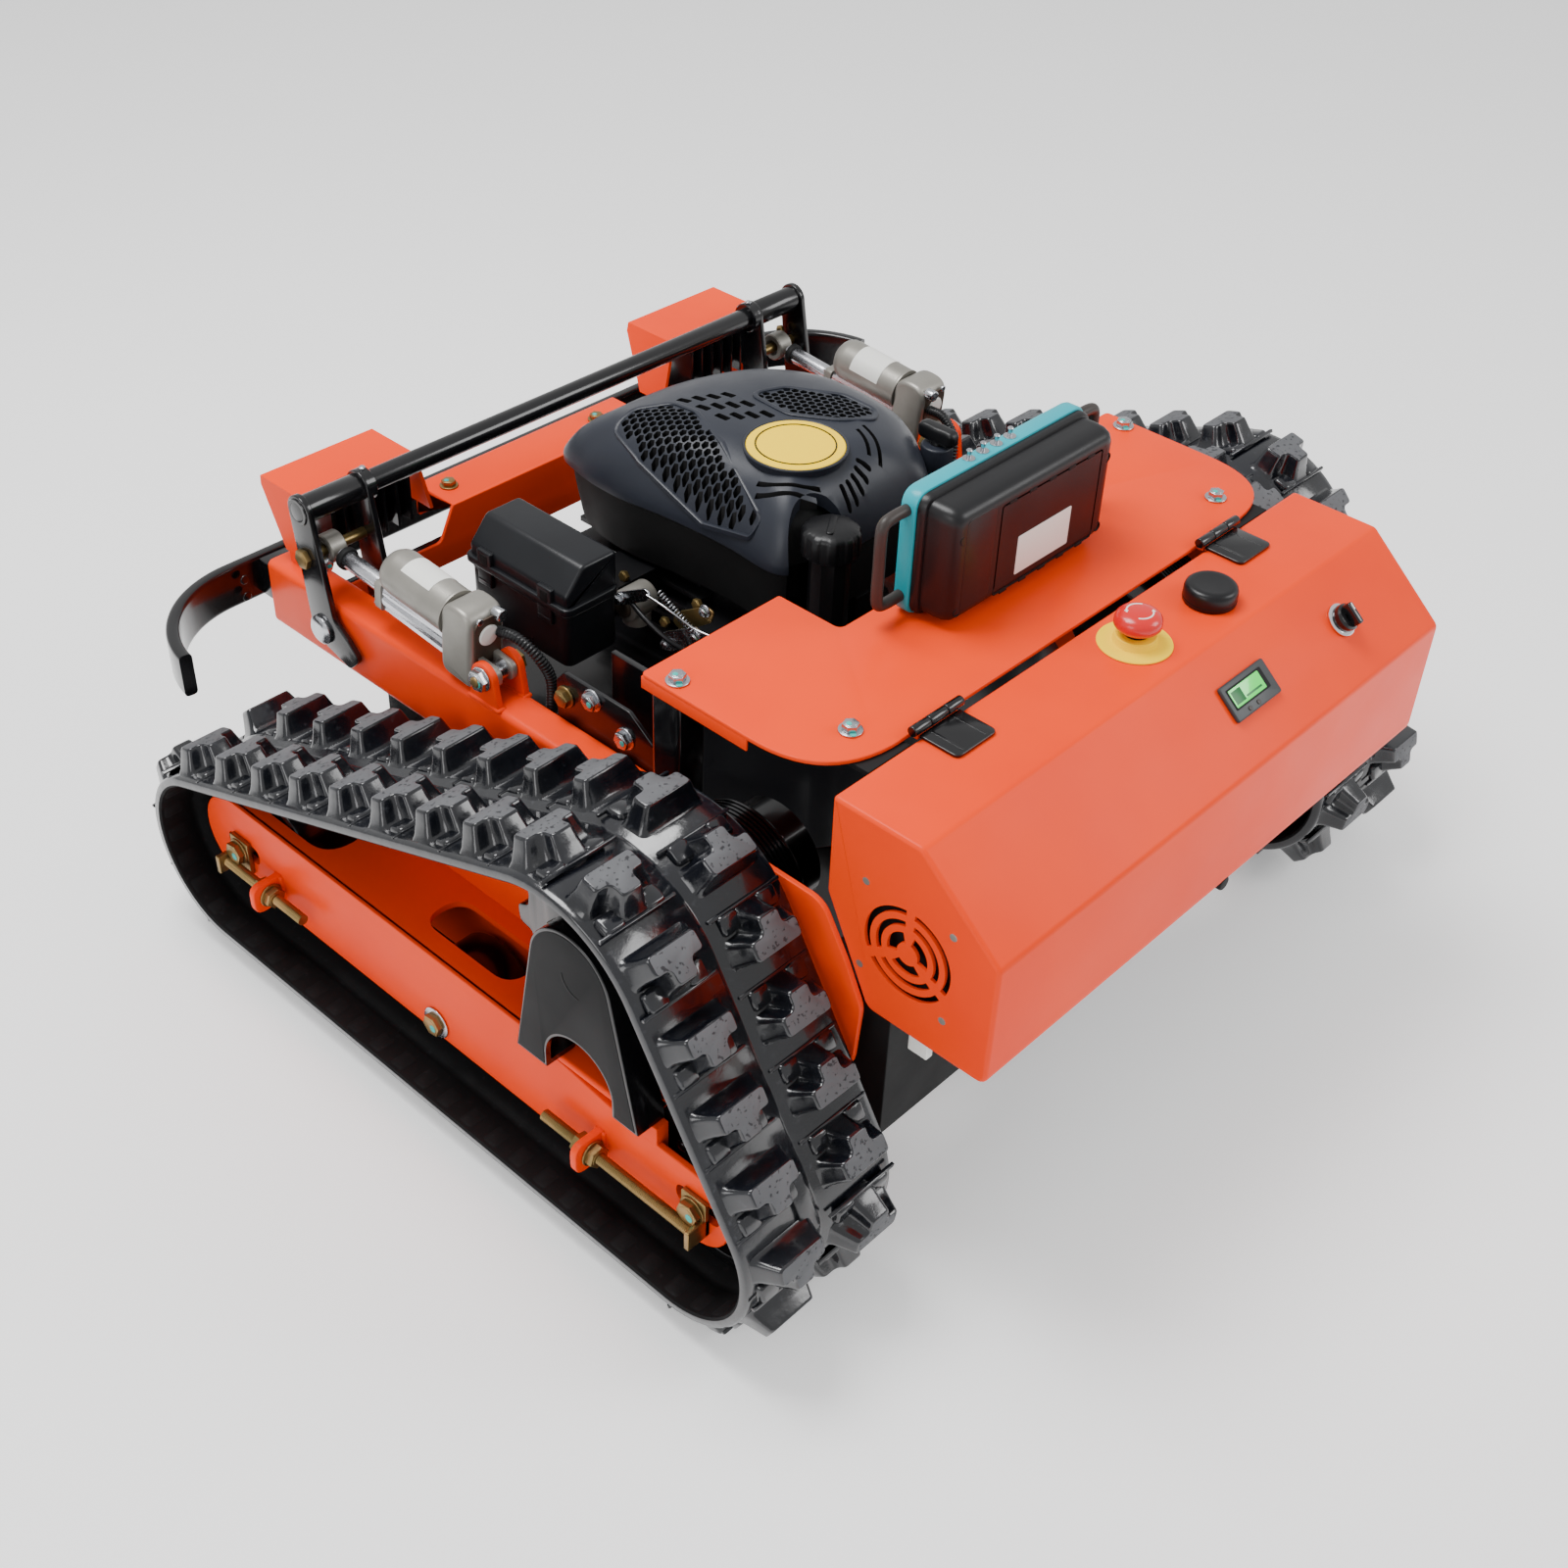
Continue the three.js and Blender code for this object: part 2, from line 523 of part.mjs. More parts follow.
function driveMotor(side) {
  const face = motorPlate.x1 + gap;
  const back = face - motor.drumLength;
  const centre = (value) => [side * value, drive.y, drive.z];
  return join([
    rod(centre(face), centre(face + motor.flangeDepth), motor.flange, round.wheel),
    rod(centre(back), centre(face + motor.flangeDepth / 2), motor.drum, round.wheel),
    rod(centre(back - motor.bodyLength), centre(back + over), motor.body, round.wheel),
  ]);
}

function guardOutline(shrink) {
  const r = guard.crownR - shrink;
  const points = [[guard.y0 + shrink, frame.top + gap], [guard.y1 - shrink, frame.top + gap]];
  const steps = 8;
  for (let i = 0; i <= steps; i += 1) {
    const a = guard.lean + ((Math.PI - 2 * guard.lean) * i) / steps;
    points.push([guard.crownY + r * Math.cos(a), guard.crownZ + r * Math.sin(a)]);
  }
  return points;
}

function driveGuard(side) {
  const x = (value) => side * value;
  const outerX = guard.outer;
  const shell = slabX(guardOutline(0), x(outerX - guard.depth), x(outerX));
  const hollow = slabX(guardOutline(guard.sheet), x(outerX - guard.depth - over), x(outerX - guard.sheet));
  const boss = rod([x(outerX - guard.sheet - guardBoss.depth), drive.y, drive.z],
    [x(outerX - guard.sheet + over), drive.y, drive.z], guardBoss.r, round.wheel);
  const bore = rod([x(outerX - guard.depth), drive.y, drive.z], [x(outerX - guard.sheet), drive.y, drive.z],
    sprocket.shaft + running);
  const arch = join([
    rod([x(outerX - guard.depth - over), guardArch.y, guardArch.z], [x(outerX + over), guardArch.y, guardArch.z],
      guardArch.r, round.wheel),
    box(x(outerX - guard.depth - over), x(outerX + over), guardArch.y - guardArch.r, guardArch.y + guardArch.r,
      frame.top - over, guardArch.z),
  ]);
  const legs = box(x(outerX - guard.depth), x(outerX - guard.sheet + over), guard.y0, guard.y1, frame.top + gap,
    frame.top + gap + guard.sheet);
  return cut(join([shell.subtract(hollow), boss, legs]), [arch, bore]);
}

const beamX = (beam.outer + beam.inner) / 2;

function sideBeam(side) {
  const x = (value) => side * value;
  const section = roundRect(Math.min(x(beam.inner), x(beam.outer)), Math.max(x(beam.inner), x(beam.outer)),
    beam.bottom, beam.top, beam.corner, 1);
  const tube = slabY(section, beam.nose, beam.tail);
  const plate = slabX(shareOutline(motorPlateShares, motorPlate.y0, motorPlate.y1, motorPlate.z0, motorPlate.z1),
    x(motorPlate.x0), x(motorPlate.x1));
  const neckHole = rod([x(beam.inner - over), drive.y, drive.z], [x(motorPlate.x1 + over), drive.y, drive.z],
    motor.drum + gap, round.wheel);
  const earAt = (from) => {
    const points = [[actuator.y - ear.r, beam.top - over], [actuator.y + ear.r, beam.top - over]];
    for (const [y, z] of circle(actuator.y, actuator.z, ear.r, round.pin)) if (z >= actuator.z) points.push([y, z]);
    return slabX(points, x(from), x(from + ear.sheet));
  };
  const boltX = ear.apart / 2 + ear.sheet + ear.boltOut;
  const lugBolt = join([
    rod([x(beamX - boltX), actuator.y, actuator.z], [x(beamX + boltX), actuator.y, actuator.z], actuator.pin),
    rod([x(beamX + boltX), actuator.y, actuator.z], [x(beamX + ear.apart / 2 + ear.sheet), actuator.y, actuator.z],
      actuator.head, 6),
  ]);
  const pivotOut = beam.outer + lever.off + lever.sheet + gap;
  const pivotIn = lever.innerX - lever.sheet / 2 - gap;
  const pin = join([
    rod([x(pivotIn - lift.headDepth), lift.y, lift.z], [x(pivotOut + lift.headDepth), lift.y, lift.z], lift.pin),
    rod([x(pivotOut), lift.y, lift.z], [x(pivotOut + lift.headDepth), lift.y, lift.z], lift.head, round.pin),
    rod([x(pivotIn - lift.headDepth), lift.y, lift.z], [x(pivotIn), lift.y, lift.z], lift.head, round.pin),
  ]);
  const standing = box(x(bolt.x1 - post.x / 2), x(top.half - top.sheet / 2 - gap), post.y0, post.y1, beam.top - over,
    top.z - top.sheet - gap);
  const clampBlock = box(x(beam.inner + over), x(beam.inner - gland.side), sleeveEnd()[1] - gland.side / 2,
    sleeveEnd()[1] + gland.side / 2, sleeveEnd()[2] - gland.height, sleeveEnd()[2] - gap);
  return join([tube, plate, earAt(beamX - ear.apart / 2 - ear.sheet), earAt(beamX + ear.apart / 2), lugBolt, pin,
    standing, clampBlock]).subtract(neckHole);
}

// Lever outlines in Y and Z, from the cross bar past the pivot to the foot
function leverOutline(inner) {
  const half = lever.width / 2;
  const footY = lift.y + (inner ? lever.arm : lever.footY);
  const footZ = lift.z + (inner ? 0 : lever.footZ);
  const points = [[lift.y - half, lift.z - half / 2], [lift.y + over, lift.z - half - over], [footY, footZ - half],
    [footY + half, footZ], [footY, footZ + half], [lift.y + half + over, lift.z + half]];
  const steps = 4;
  for (let i = 0; i <= steps; i += 1) {
    const a = (Math.PI * i) / steps;
    points.push([lift.barY + half * Math.cos(a), lift.barZ + half * Math.sin(a)]);
  }
  return points;
}

function liftBar() {
  const at = (x, y, z) => [x, y, z];
  const outerEnd = beam.outer + lever.off + lever.sheet + running;
  const pieces = [rod(at(-outerEnd, lift.barY, lift.barZ), at(outerEnd, lift.barY, lift.barZ), lift.bar, round.pin)];
  const cuts = [];
  for (const side of [1, -1]) {
    const innerX = lever.innerX - lever.sheet / 2;
    const outerX = beam.outer + lever.off;
    const pinAt = (a, b, y, z, r, sides) => rod(at(side * a, y, z), at(side * b, y, z), r, sides);
    pieces.push(pinAt(lever.innerX, outerEnd, lift.barY, lift.barZ, lift.sleeve, round.pin));
    pieces.push(pinAt(lever.innerX - lever.collarWidth, lever.innerX, lift.barY, lift.barZ, lift.collar, round.pin));
    pieces.push(slabX(leverOutline(true), side * innerX, side * (innerX + lever.sheet)));
    pieces.push(slabX(leverOutline(false), side * outerX, side * (outerX + lever.sheet)));
    pieces.push(pinAt(lever.innerX, outerX + over, actuator.tipY, actuator.tipZ, actuator.pin, round.small));
    pieces.push(pinAt(hanger.x - over, lever.innerX, lift.y + lever.arm, lift.z, lever.armPin,
      round.small));
    cuts.push(pinAt(innerX - over, outerX + lever.sheet + over, lift.y, lift.z, lift.pin + running, round.pin));
  }
  return cut(join(pieces), cuts);
}

// Actuator frame: distance along the screw from the rear pivot, and height above the screw
const screwLength = Math.hypot(actuator.tipY - actuator.y, actuator.tipZ - actuator.z);
const screwY = (actuator.tipY - actuator.y) / screwLength;
const screwZ = (actuator.tipZ - actuator.z) / screwLength;

function screwPoint(a, n) {
  return [actuator.y + a * screwY + n * screwZ, actuator.z + a * screwZ - n * screwY];
}

function actuatorBody(side) {
  const x = (value) => side * (beamX + value);
  const outline = roundRect(gearbox.start, gearbox.end, gearbox.low, gearbox.high, gearbox.corner, 2);
  const half = actuator.tube / 2;
  const tube = [[gearbox.end - over, -half], [actuator.tubeEnd, -half], [actuator.tubeEnd, half],
    [gearbox.end - over, half]].map(([a, n]) => screwPoint(a, n));
  const line = (a, b, n, r, sides, rEnd) => rod([x(0), ...screwPoint(a, n)], [x(0), ...screwPoint(b, n)], r, sides,
    rEnd);
  const tongue = join([
    rod([x(-gearbox.tongue / 2), actuator.y, actuator.z], [x(gearbox.tongue / 2), actuator.y, actuator.z], ear.r - over,
      round.pin),
    slabX([[0, over - ear.r], [gearbox.start + over, over - ear.r], [gearbox.start + over, ear.r - over],
      [0, ear.r - over]].map(([a, n]) => screwPoint(a, n)), x(-gearbox.tongue / 2), x(gearbox.tongue / 2)),
  ]);
  const body = join([
    slabX(outline.map(([a, n]) => screwPoint(a, n)), x(-gearbox.width / 2), x(gearbox.width / 2)),
    slabX(tube, x(-half), x(half)),
    line(gearbox.end - over, motorCan.end - motorCan.cap, motorCan.rise, motorCan.r, round.wheel - round.small),
    line(motorCan.end - motorCan.cap, motorCan.end, motorCan.rise, motorCan.r, round.wheel - round.small,
      motorCan.r - motorCan.cap),
    tongue,
  ]);
  return cut(body, [
    line(gearbox.end, actuator.tubeEnd + over, 0, actuator.rod + gap, round.pin),
    rod([x(-gearbox.tongue), actuator.y, actuator.z], [x(gearbox.tongue), actuator.y, actuator.z],
      actuator.pin + gap, round.pin),
  ]);
}

function actuatorRod(side) {
  const x = (value) => side * (beamX + value);
  const eyeR = actuator.eye + running;
  const body = join([
    rod([x(0), ...screwPoint(actuator.rodTail, 0)], [x(0), ...screwPoint(screwLength, 0)], actuator.rod, round.pin),
    rod([x(-actuator.eyeWidth / 2), actuator.tipY, actuator.tipZ], [x(actuator.eyeWidth / 2), actuator.tipY,
      actuator.tipZ], eyeR, round.pin),
  ]);
  return body.subtract(rod([x(-actuator.eye), actuator.tipY, actuator.tipZ], [x(actuator.eye), actuator.tipY,
    actuator.tipZ], actuator.pin + running + running, round.pin));
}

// Route of the ribbed cable sleeve, from the gearbox's back down to its clamp
function sleeveRoute() {
  const [startY, startZ] = screwPoint(gearbox.start - running, motorCan.rise);
  return [
    [beamX - gearbox.width / 4, startY, startZ],
    [beamX - gearbox.width / 3, startY + sleeve.bend, startZ + sleeve.rise],
    [beam.inner - sleeve.rise, startY + sleeve.reach, startZ - sleeve.lean],
    [beam.inner - sleeve.off, startY + sleeve.tail, startZ - sleeve.fall],
    sleeveEnd(),
  ];
}

function sleeveEnd() {
  return [beam.inner - gland.side / 2, actuator.y + sleeve.hang, beam.top - gland.height];
}

// Ribbed sleeve: two rings of points for each rib, a crest and a valley, capped at both ends
function ribbedSleeve(side) {
  const curve = new THREE.CatmullRomCurve3(sleeveRoute().map(([x, y, z]) => new THREE.Vector3(side * x, y, z)));
  const rings = 2 * Math.round(curve.getLength() / sleeve.pitch);
  const frames = curve.computeFrenetFrames(rings, false);
  const sides = sleeve.sides;
  const positions = [];
  const index = [];
  for (let i = 0; i <= rings; i += 1) {
    const centre = curve.getPointAt(i / rings);
    const r = i % 2 ? sleeve.r : sleeve.r - sleeve.rib;
    for (let k = 0; k < sides; k += 1) {
      const a = (2 * Math.PI * k) / sides;
      const p = centre.clone().addScaledVector(frames.normals[i], r * Math.cos(a));
      p.addScaledVector(frames.binormals[i], r * Math.sin(a));
      positions.push(...p.toArray());
    }
  }
  for (let i = 0; i < rings; i += 1) {
    for (let k = 0; k < sides; k += 1) {
      const a = i * sides + k;
      const b = i * sides + ((k + 1) % sides);
      index.push(a, b, b + sides, a, b + sides, a + sides);
    }
  }
  for (let k = 1; k < sides - 1; k += 1) {
    index.push(0, k + 1, k);
    index.push(rings * sides, rings * sides + k, rings * sides + k + 1);
  }
  const geometry = new THREE.BufferGeometry();
  geometry.setAttribute('position', new THREE.Float32BufferAttribute(positions, 3));
  geometry.setIndex(index);
  return solid(geometry);
}

// Bumper bar bent back at both ends, with a foot on each beam
function frontBumper() {
  const inner = [];
  const outer = [];
  const steps = 6;
  const centreY = bumper.front + bumper.bend;
  for (let i = 0; i <= steps; i += 1) {
    const a = (Math.PI / 2) * (i / steps);
    const x = bumper.half - bumper.bend;
    outer.push([x + bumper.bend * Math.sin(a), centreY - bumper.bend * Math.cos(a)]);
    inner.push([x + (bumper.bend - bumper.thick) * Math.sin(a), centreY - (bumper.bend - bumper.thick) * Math.cos(a)]);
  }
  const tailY = bumper.front + bumper.tail + bumper.foot;
  const halfOuter = [...outer.filter(([, y]) => y < tailY)];
  const halfInner = [...inner.filter(([, y]) => y < tailY)];
  const right = [...halfOuter, ...halfInner.reverse()];
  const outline = [...right, ...right.map(([x, y]) => [-x, y]).reverse()];
  const bar = slabZ(outline, bumper.top - bumper.height, bumper.top);
  const feet = [1, -1].map((side) => box(side * (beamX - bumper.foot / 2), side * (beamX + bumper.foot / 2),
    bumper.front + bumper.thick - over, beam.nose - gap, bumper.top - bumper.height + over, bumper.top - over));
  return join([bar, ...feet]);
}

// Folded hood: top sheet with two flared sides, open at the front and the back
function lampHood(side) {
  const x = (value) => side * value;
  const outside = [[x(hood.x0), hood.top], [x(hood.x1), hood.top], [x(hood.x1 + hood.sheet), hood.top - hood.drop],
    [x(hood.x0 - hood.flare), hood.top - hood.drop]];
  const t = hood.sheet;
  const inside = [[x(hood.x0 + t), hood.top - t], [x(hood.x1 - t), hood.top - t],
    [x(hood.x1), hood.top - hood.drop - over], [x(hood.x0 - hood.flare + t), hood.top - hood.drop - over]];
  const shell = slabY(outside, hood.y0, hood.y1).subtract(slabY(inside, hood.y0 - over, hood.y1 + over));
  const leg = box(x(hood.x1 - t), x(hood.x1), hood.y0 + hood.drop / 2, hood.y1, beam.top + gap, hood.top - hood.drop + over);
  const frontCut = slabX([[hood.y0 - over, hood.top - t - over], [hood.y0 - over, beam.top - hood.drop],
    [hood.y0 + hood.drop / 2, hood.top - hood.drop - hood.drop], [hood.y0 + hood.drop / 2, hood.top - hood.drop]],
  x(hood.x0 - hood.flare - over), x(hood.x1 + hood.flare));
  return join([shell, leg]).subtract(frontCut);
}

// Lamp: a box with cooling fins at its back and a lens frame at its front, on a bracket
function workLamp(side) {
  const x0 = lamp.x0;
  const z1 = hood.top - hood.sheet - gap;
  const y0 = hood.y0 + hood.drop / 2;
  const pieces = [
    box(side * x0, side * (x0 + lamp.width), y0, y0 + lamp.depth, z1 - lamp.height, z1),
    box(side * (x0 + lamp.lens), side * (x0 + lamp.width - lamp.lens), y0 - lamp.lens, y0 + over,
      z1 - lamp.height + lamp.lens, z1 - lamp.lens),
  ];
  const step = (lamp.width - lamp.finSheet) / (lamp.fins - 1);
  for (let i = 0; i < lamp.fins; i += 1) {
    const at = x0 + i * step;
    pieces.push(box(side * at, side * (at + lamp.finSheet), y0 + lamp.depth - over, y0 + lamp.depth + lamp.finDepth,
      z1 - lamp.height + over, z1 - over));
  }
  return join(pieces);
}

// Panel between the lamps: a raised middle with wings that rest on the beams
function frontPanel() {
  const half = panel.half;
  const low = panel.top - panel.drop;
  const wingHalf = beam.inner - gap;
  const mid = panel.top - panel.wing;
  const t = panel.sheet;
  const face = [[-wingHalf, low], [wingHalf, low], [wingHalf, mid], [half + panel.wing / 2, mid], [half, panel.top],
    [-half, panel.top], [-half - panel.wing / 2, mid], [-wingHalf, mid]];
  return join([
    slabY(face, panel.y1 - t, panel.y1),
    box(-half, half, panel.y0, panel.y1, panel.top - t, panel.top),
    box(-half, half, panel.y0, panel.y0 + t, mid, panel.top),
    rod([-wingHalf, crossPipe.y, crossPipe.z], [wingHalf, crossPipe.y, crossPipe.z], crossPipe.r, round.pin),
    ...[1, -1].map((side) => box(side * (wingHalf - t), side * wingHalf, crossPipe.y, panel.y1, low, mid)),
  ]);
}

// Top plate: notched sheet with side flanges, rounded rear corners and four flanged bolts
function topPlate() {
  const rearCorners = [];
  const steps = 5;
  for (const [cx, from] of [[top.half - top.corner, 0], [top.corner - top.half, Math.PI / 2]]) {
    for (let i = 0; i <= steps; i += 1) {
      const a = from + ((Math.PI / 2) * i) / steps;
      rearCorners.push([cx + top.corner * Math.cos(a), top.y1 - top.corner + top.corner * Math.sin(a)]);
    }
  }
  const outline = [[-notch.half, top.y0], [-notch.half, notch.y1], [notch.half, notch.y1], [notch.half, top.y0],
    [top.half, top.y0], ...rearCorners, [-top.half, top.y0]];
  const pieces = [slabZ(outline, top.z - top.sheet, top.z)];
  for (const side of [1, -1]) {
    const flangeEnd = top.flangeY1 - top.corner / 2;
    pieces.push(box(side * (top.half - top.sheet / 2), side * top.half, top.y0, flangeEnd, top.z - top.flange,
      top.z - top.sheet + over / 2));
    for (const [x, y] of [[bolt.x1, bolt.y1], [bolt.x2, bolt.y2]]) {
      pieces.push(rod([side * x, y, top.z - over], [side * x, y, top.z + bolt.washer], bolt.ring, round.pin));
      pieces.push(rod([side * x, y, top.z - over], [side * x, y, top.z + bolt.washer + bolt.head], bolt.r, 6));
    }
  }
  for (const side of [1, -1]) {
    pieces.push(box(side * hinge.x - hinge.width / 2, side * hinge.x + hinge.width / 2, top.y1 - hinge.rise,
      housing.y0 - running, top.z - top.sheet, top.z));
  }
  return join(pieces);
}

// Deck: a shallow tub open at the bottom, with hangers for the lift arms and plates beside the engine
function mowerDeck() {
  const low = deck.top - deck.skirt;
  const outline = (shrink) => {
    const half = deck.half - shrink;
    const points = [[-half, deck.y0 + shrink], [half, deck.y0 + shrink]];
    const steps = 8;
    for (let i = 0; i <= steps; i += 1) {
      const a = (Math.PI * i) / steps;
      points.push([crank.x + half * Math.cos(a), crank.y + half * Math.sin(a)]);
    }
    return points;
  };
  const shell = slabZ(outline(0), low, deck.top).subtract(slabZ(outline(deck.sheet), low - over, deck.top - deck.sheet));
  const pinY = lift.y + lever.arm;
  const pieces = [shell];
  const cuts = [rod([crank.x, crank.y, deck.top - deck.sheet - over], [crank.x, crank.y, deck.top + over],
    blade.shaft + running, round.pin)];
  for (const side of [1, -1]) {
    pieces.push(box(side * hanger.x, side * (hanger.x + hanger.sheet), hanger.y0, hanger.y1, deck.top - over,
      deck.top + hanger.rise));
    pieces.push(box(side * sidePlate.x, side * (sidePlate.x + sidePlate.sheet), sidePlate.y0, sidePlate.y1,
      deck.top - over, deck.top + sidePlate.rise));
    const r = lever.armPin + play;
    const eye = roundRect(pinY - r - lever.armSweep, pinY + r + running, lift.z - r - running, lift.z + r, r - gap, 3);
    cuts.push(slabX(eye, side * (hanger.x - over), side * (hanger.x + hanger.sheet + over)));
  }
  return cut(join(pieces), cuts);
}

function mowerBlade() {
  const half = blade.width / 2;
  return join([
    box(crank.x - half, crank.x + half, crank.y - blade.r, crank.y + blade.r, blade.z, blade.z + blade.thick),
    rod([crank.x, crank.y, blade.z - over], [crank.x, crank.y, blade.z + blade.hubHeight], blade.hub, round.pin),
    rod([crank.x, crank.y, blade.z], [crank.x, crank.y, deck.top - gap], blade.shaft, round.pin),
  ]);
}

function engineBlock() {
  const base = deck.top + gap;
  const pieces = [
    rod([crank.x, crank.y, base], [crank.x, crank.y, base + block.height], block.r, round.wheel),
    rod([crank.x, crank.y, base], [crank.x, crank.y, cowl.foot - gap], block.hub, round.pin),
    rod([crank.x, crank.y, base], [crank.x, crank.y, flywheel.z1], flywheel.r, round.wheel),
    box(block.headX0, block.headX1, block.headY0, crank.y, block.headZ0, block.headZ1),
    box(airBox.x0 - gap, block.headX1 - over, carb.y0, carb.y1, carb.z0, carb.z1),
    rod([filler.x, filler.y, base], [filler.x, filler.y, filler.neckTop], filler.neck, round.wheel - round.small),
    box(cowlPost.x0, cowlPost.x1, cowlPost.y0, cowlPost.y1, base + block.height - over, cowl.foot - gap),
  ];
  const step = (block.headZ1 - block.headZ0 - block.finSheet) / (block.fins - 1);
  for (let i = 0; i < block.fins; i += 1) {
    const z = block.headZ0 + i * step;
    pieces.push(box(block.headX0 - block.finOut, block.headX1 + block.finOut, block.headY0 - block.finOut,
      block.finBack, z, z + block.finSheet));
  }
  return join(pieces);
}

// One closed loft through rings, each ring the cowl's outline drawn toward its middle by a share
function cowlLoft(shrink) {
  const outline = shareOutline(cowlOutlineShares, cowl.x0 + shrink, cowl.x1 - shrink, cowl.y0 + shrink,
    cowl.y1 - shrink);
  const rise = cowl.top - cowl.rim - shrink;
  const rings = [
    [cowlRings.footShare, shrink ? cowl.foot - over : cowl.foot], [1, cowl.rim],
    [cowlRings.shoulderShare, cowl.rim + rise * cowlRings.shoulderRiseShare],
    [cowlRings.browShare, cowl.rim + rise * cowlRings.browRiseShare], [cowlRings.crownShare, cowl.rim + rise],
  ];
  const count = outline.length;
  const positions = [];
  const index = [];
  for (const [share, z] of rings) {
    for (const [x, y] of outline) {
      positions.push(cowl.midX + (x - cowl.midX) * share, cowl.midY + (y - cowl.midY) * share, z);
    }
  }
  const bottom = rings.length * count;
  positions.push(cowl.midX, cowl.midY, rings[0][1]);
  positions.push(cowl.midX, cowl.midY, rings[rings.length - 1][1]);
  for (let i = 0; i < rings.length - 1; i += 1) {
    for (let k = 0; k < count; k += 1) {
      const a = i * count + k;
      const b = i * count + ((k + 1) % count);
      index.push(a, b, b + count, a, b + count, a + count);
    }
  }
  const last = (rings.length - 1) * count;
  for (let k = 0; k < count; k += 1) {
    const n = (k + 1) % count;
    index.push(bottom, n, k);
    index.push(bottom + 1, last + k, last + n);
  }
  const geometry = new THREE.BufferGeometry();
  geometry.setAttribute('position', new THREE.Float32BufferAttribute(positions, 3));
  geometry.setIndex(index);
  return solid(geometry);
}

function engineCowl() {
  const seat = rod([filler.x, filler.y, cowl.foot - over], [filler.x, filler.y, cowl.top + over], filler.cut,
    round.wheel);
  const cordHole = rod([recoil.x, recoil.y, cowl.foot], [recoil.x, recoil.y, cowl.top], recoil.stem + gap, round.small);
  const guide = rod([recoil.x, recoil.y, cowl.rim], [recoil.x, recoil.y, recoil.z - running], recoil.guide, round.pin);
  return cut(join([cowlLoft(0), guide]), [cowlLoft(cowl.wall), seat, cordHole]);
}

function airFilter() {
  const lower = slabZ(roundRect(airBox.x0, airBox.x1, airBox.y0, airBox.y1, airBox.corner), airBox.z0, airBox.lipZ);
  const lip = slabZ(roundRect(airBox.x0, airBox.x1 + airBox.lip, airBox.y0 - airBox.lip, airBox.y1 + airBox.lip,
    airBox.corner), airBox.lipZ - airBox.lip, airBox.lipZ + airBox.lip);
  const lid = slabY([[airBox.x0, airBox.lipZ], [airBox.x1, airBox.lipZ], [airBox.x1, airBox.lipZ + airBox.brow],
    [airBox.x1 - airBox.lean, airBox.z1], [airBox.x0, airBox.z1]], airBox.y0, airBox.y1);
  return join([lower, lip, lid]);
}

function oilCap() {
  const points = [];
  for (let i = 0; i < filler.ridges; i += 1) {
    const dip = filler.cap - filler.dip;
    for (const [share, r] of [[0, filler.cap], [0.6, filler.cap], [0.75, dip], [0.85, dip]]) {
      const a = (2 * Math.PI * (i + share)) / filler.ridges;
      points.push([filler.x + r * Math.cos(a), filler.y + r * Math.sin(a)]);
    }
  }
  const z0 = filler.neckTop + gap;
  return slabZ(points, z0, z0 + filler.capHeight);
}

// Recoil handle, lying across on top of a short stem at the cowl's right rear corner
function starterHandle() {
  const grip = slabZ(roundRect(recoil.x - recoil.width / 2, recoil.x + recoil.width / 2,
    recoil.y - recoil.length / 2, recoil.y + recoil.length / 2, recoil.width / 2 - gap, 2), recoil.z,
  recoil.z + recoil.height);
  const stem = rod([recoil.x, recoil.y, recoil.z - recoil.stemLength], [recoil.x, recoil.y, recoil.z + over],
    recoil.stem, round.small);
  return grip.add(stem);
}

// End outline of the hinged housing in Y and Z
function housingOutline(shrink) {
  const s = shrink;
  return [
    [housing.y0 + s, housing.top - s], [housing.y0 + s, housing.footZ], [housing.footY + s, housing.bottom],
    [housing.y1 - s, housing.bottom], [housing.y1 - s, housing.zBack - s / 2], [housing.yTop - s / 2, housing.top - s],
  ];
}

// Direction down the chamfer and outward from it
const chamferLength = Math.hypot(housing.y1 - housing.yTop, housing.zBack - housing.top);
const downY = (housing.y1 - housing.yTop) / chamferLength;
const downZ = (housing.zBack - housing.top) / chamferLength;

function chamferPoint(along, out) {
  return [housing.yTop + along * downY - out * downZ, housing.top + along * downZ + out * downY];
}

// Curved slots of the round vent, in Y and Z
function ventSlots(side) {
  const slots = [];
  for (let ringIndex = 0; ringIndex < vent.rings; ringIndex += 1) {
    const r0 = vent.first + ringIndex * vent.ring;
    const r1 = r0 + vent.slot;
    for (let k = 0; k < vent.spokes; k += 1) {
      const lean = vent.spoke / (r0 + r1);
      const a0 = (Math.PI / 2) * k + lean;
      const a1 = (Math.PI / 2) * (k + 1) - lean;
      const steps = 2;
      const points = [];
      for (let i = 0; i <= steps; i += 1) {
        const a = a0 + ((a1 - a0) * i) / steps;
        points.push([vent.y + r1 * Math.cos(a), vent.z + r1 * Math.sin(a)]);
      }
      for (let i = steps; i >= 0; i -= 1) {
        const a = a0 + ((a1 - a0) * i) / steps;
        points.push([vent.y + r0 * Math.cos(a), vent.z + r0 * Math.sin(a)]);
      }
      slots.push(slabX(points, side * (housing.half - housing.sheet - over), side * (housing.half + over)));
    }
  }
  return slots;
}

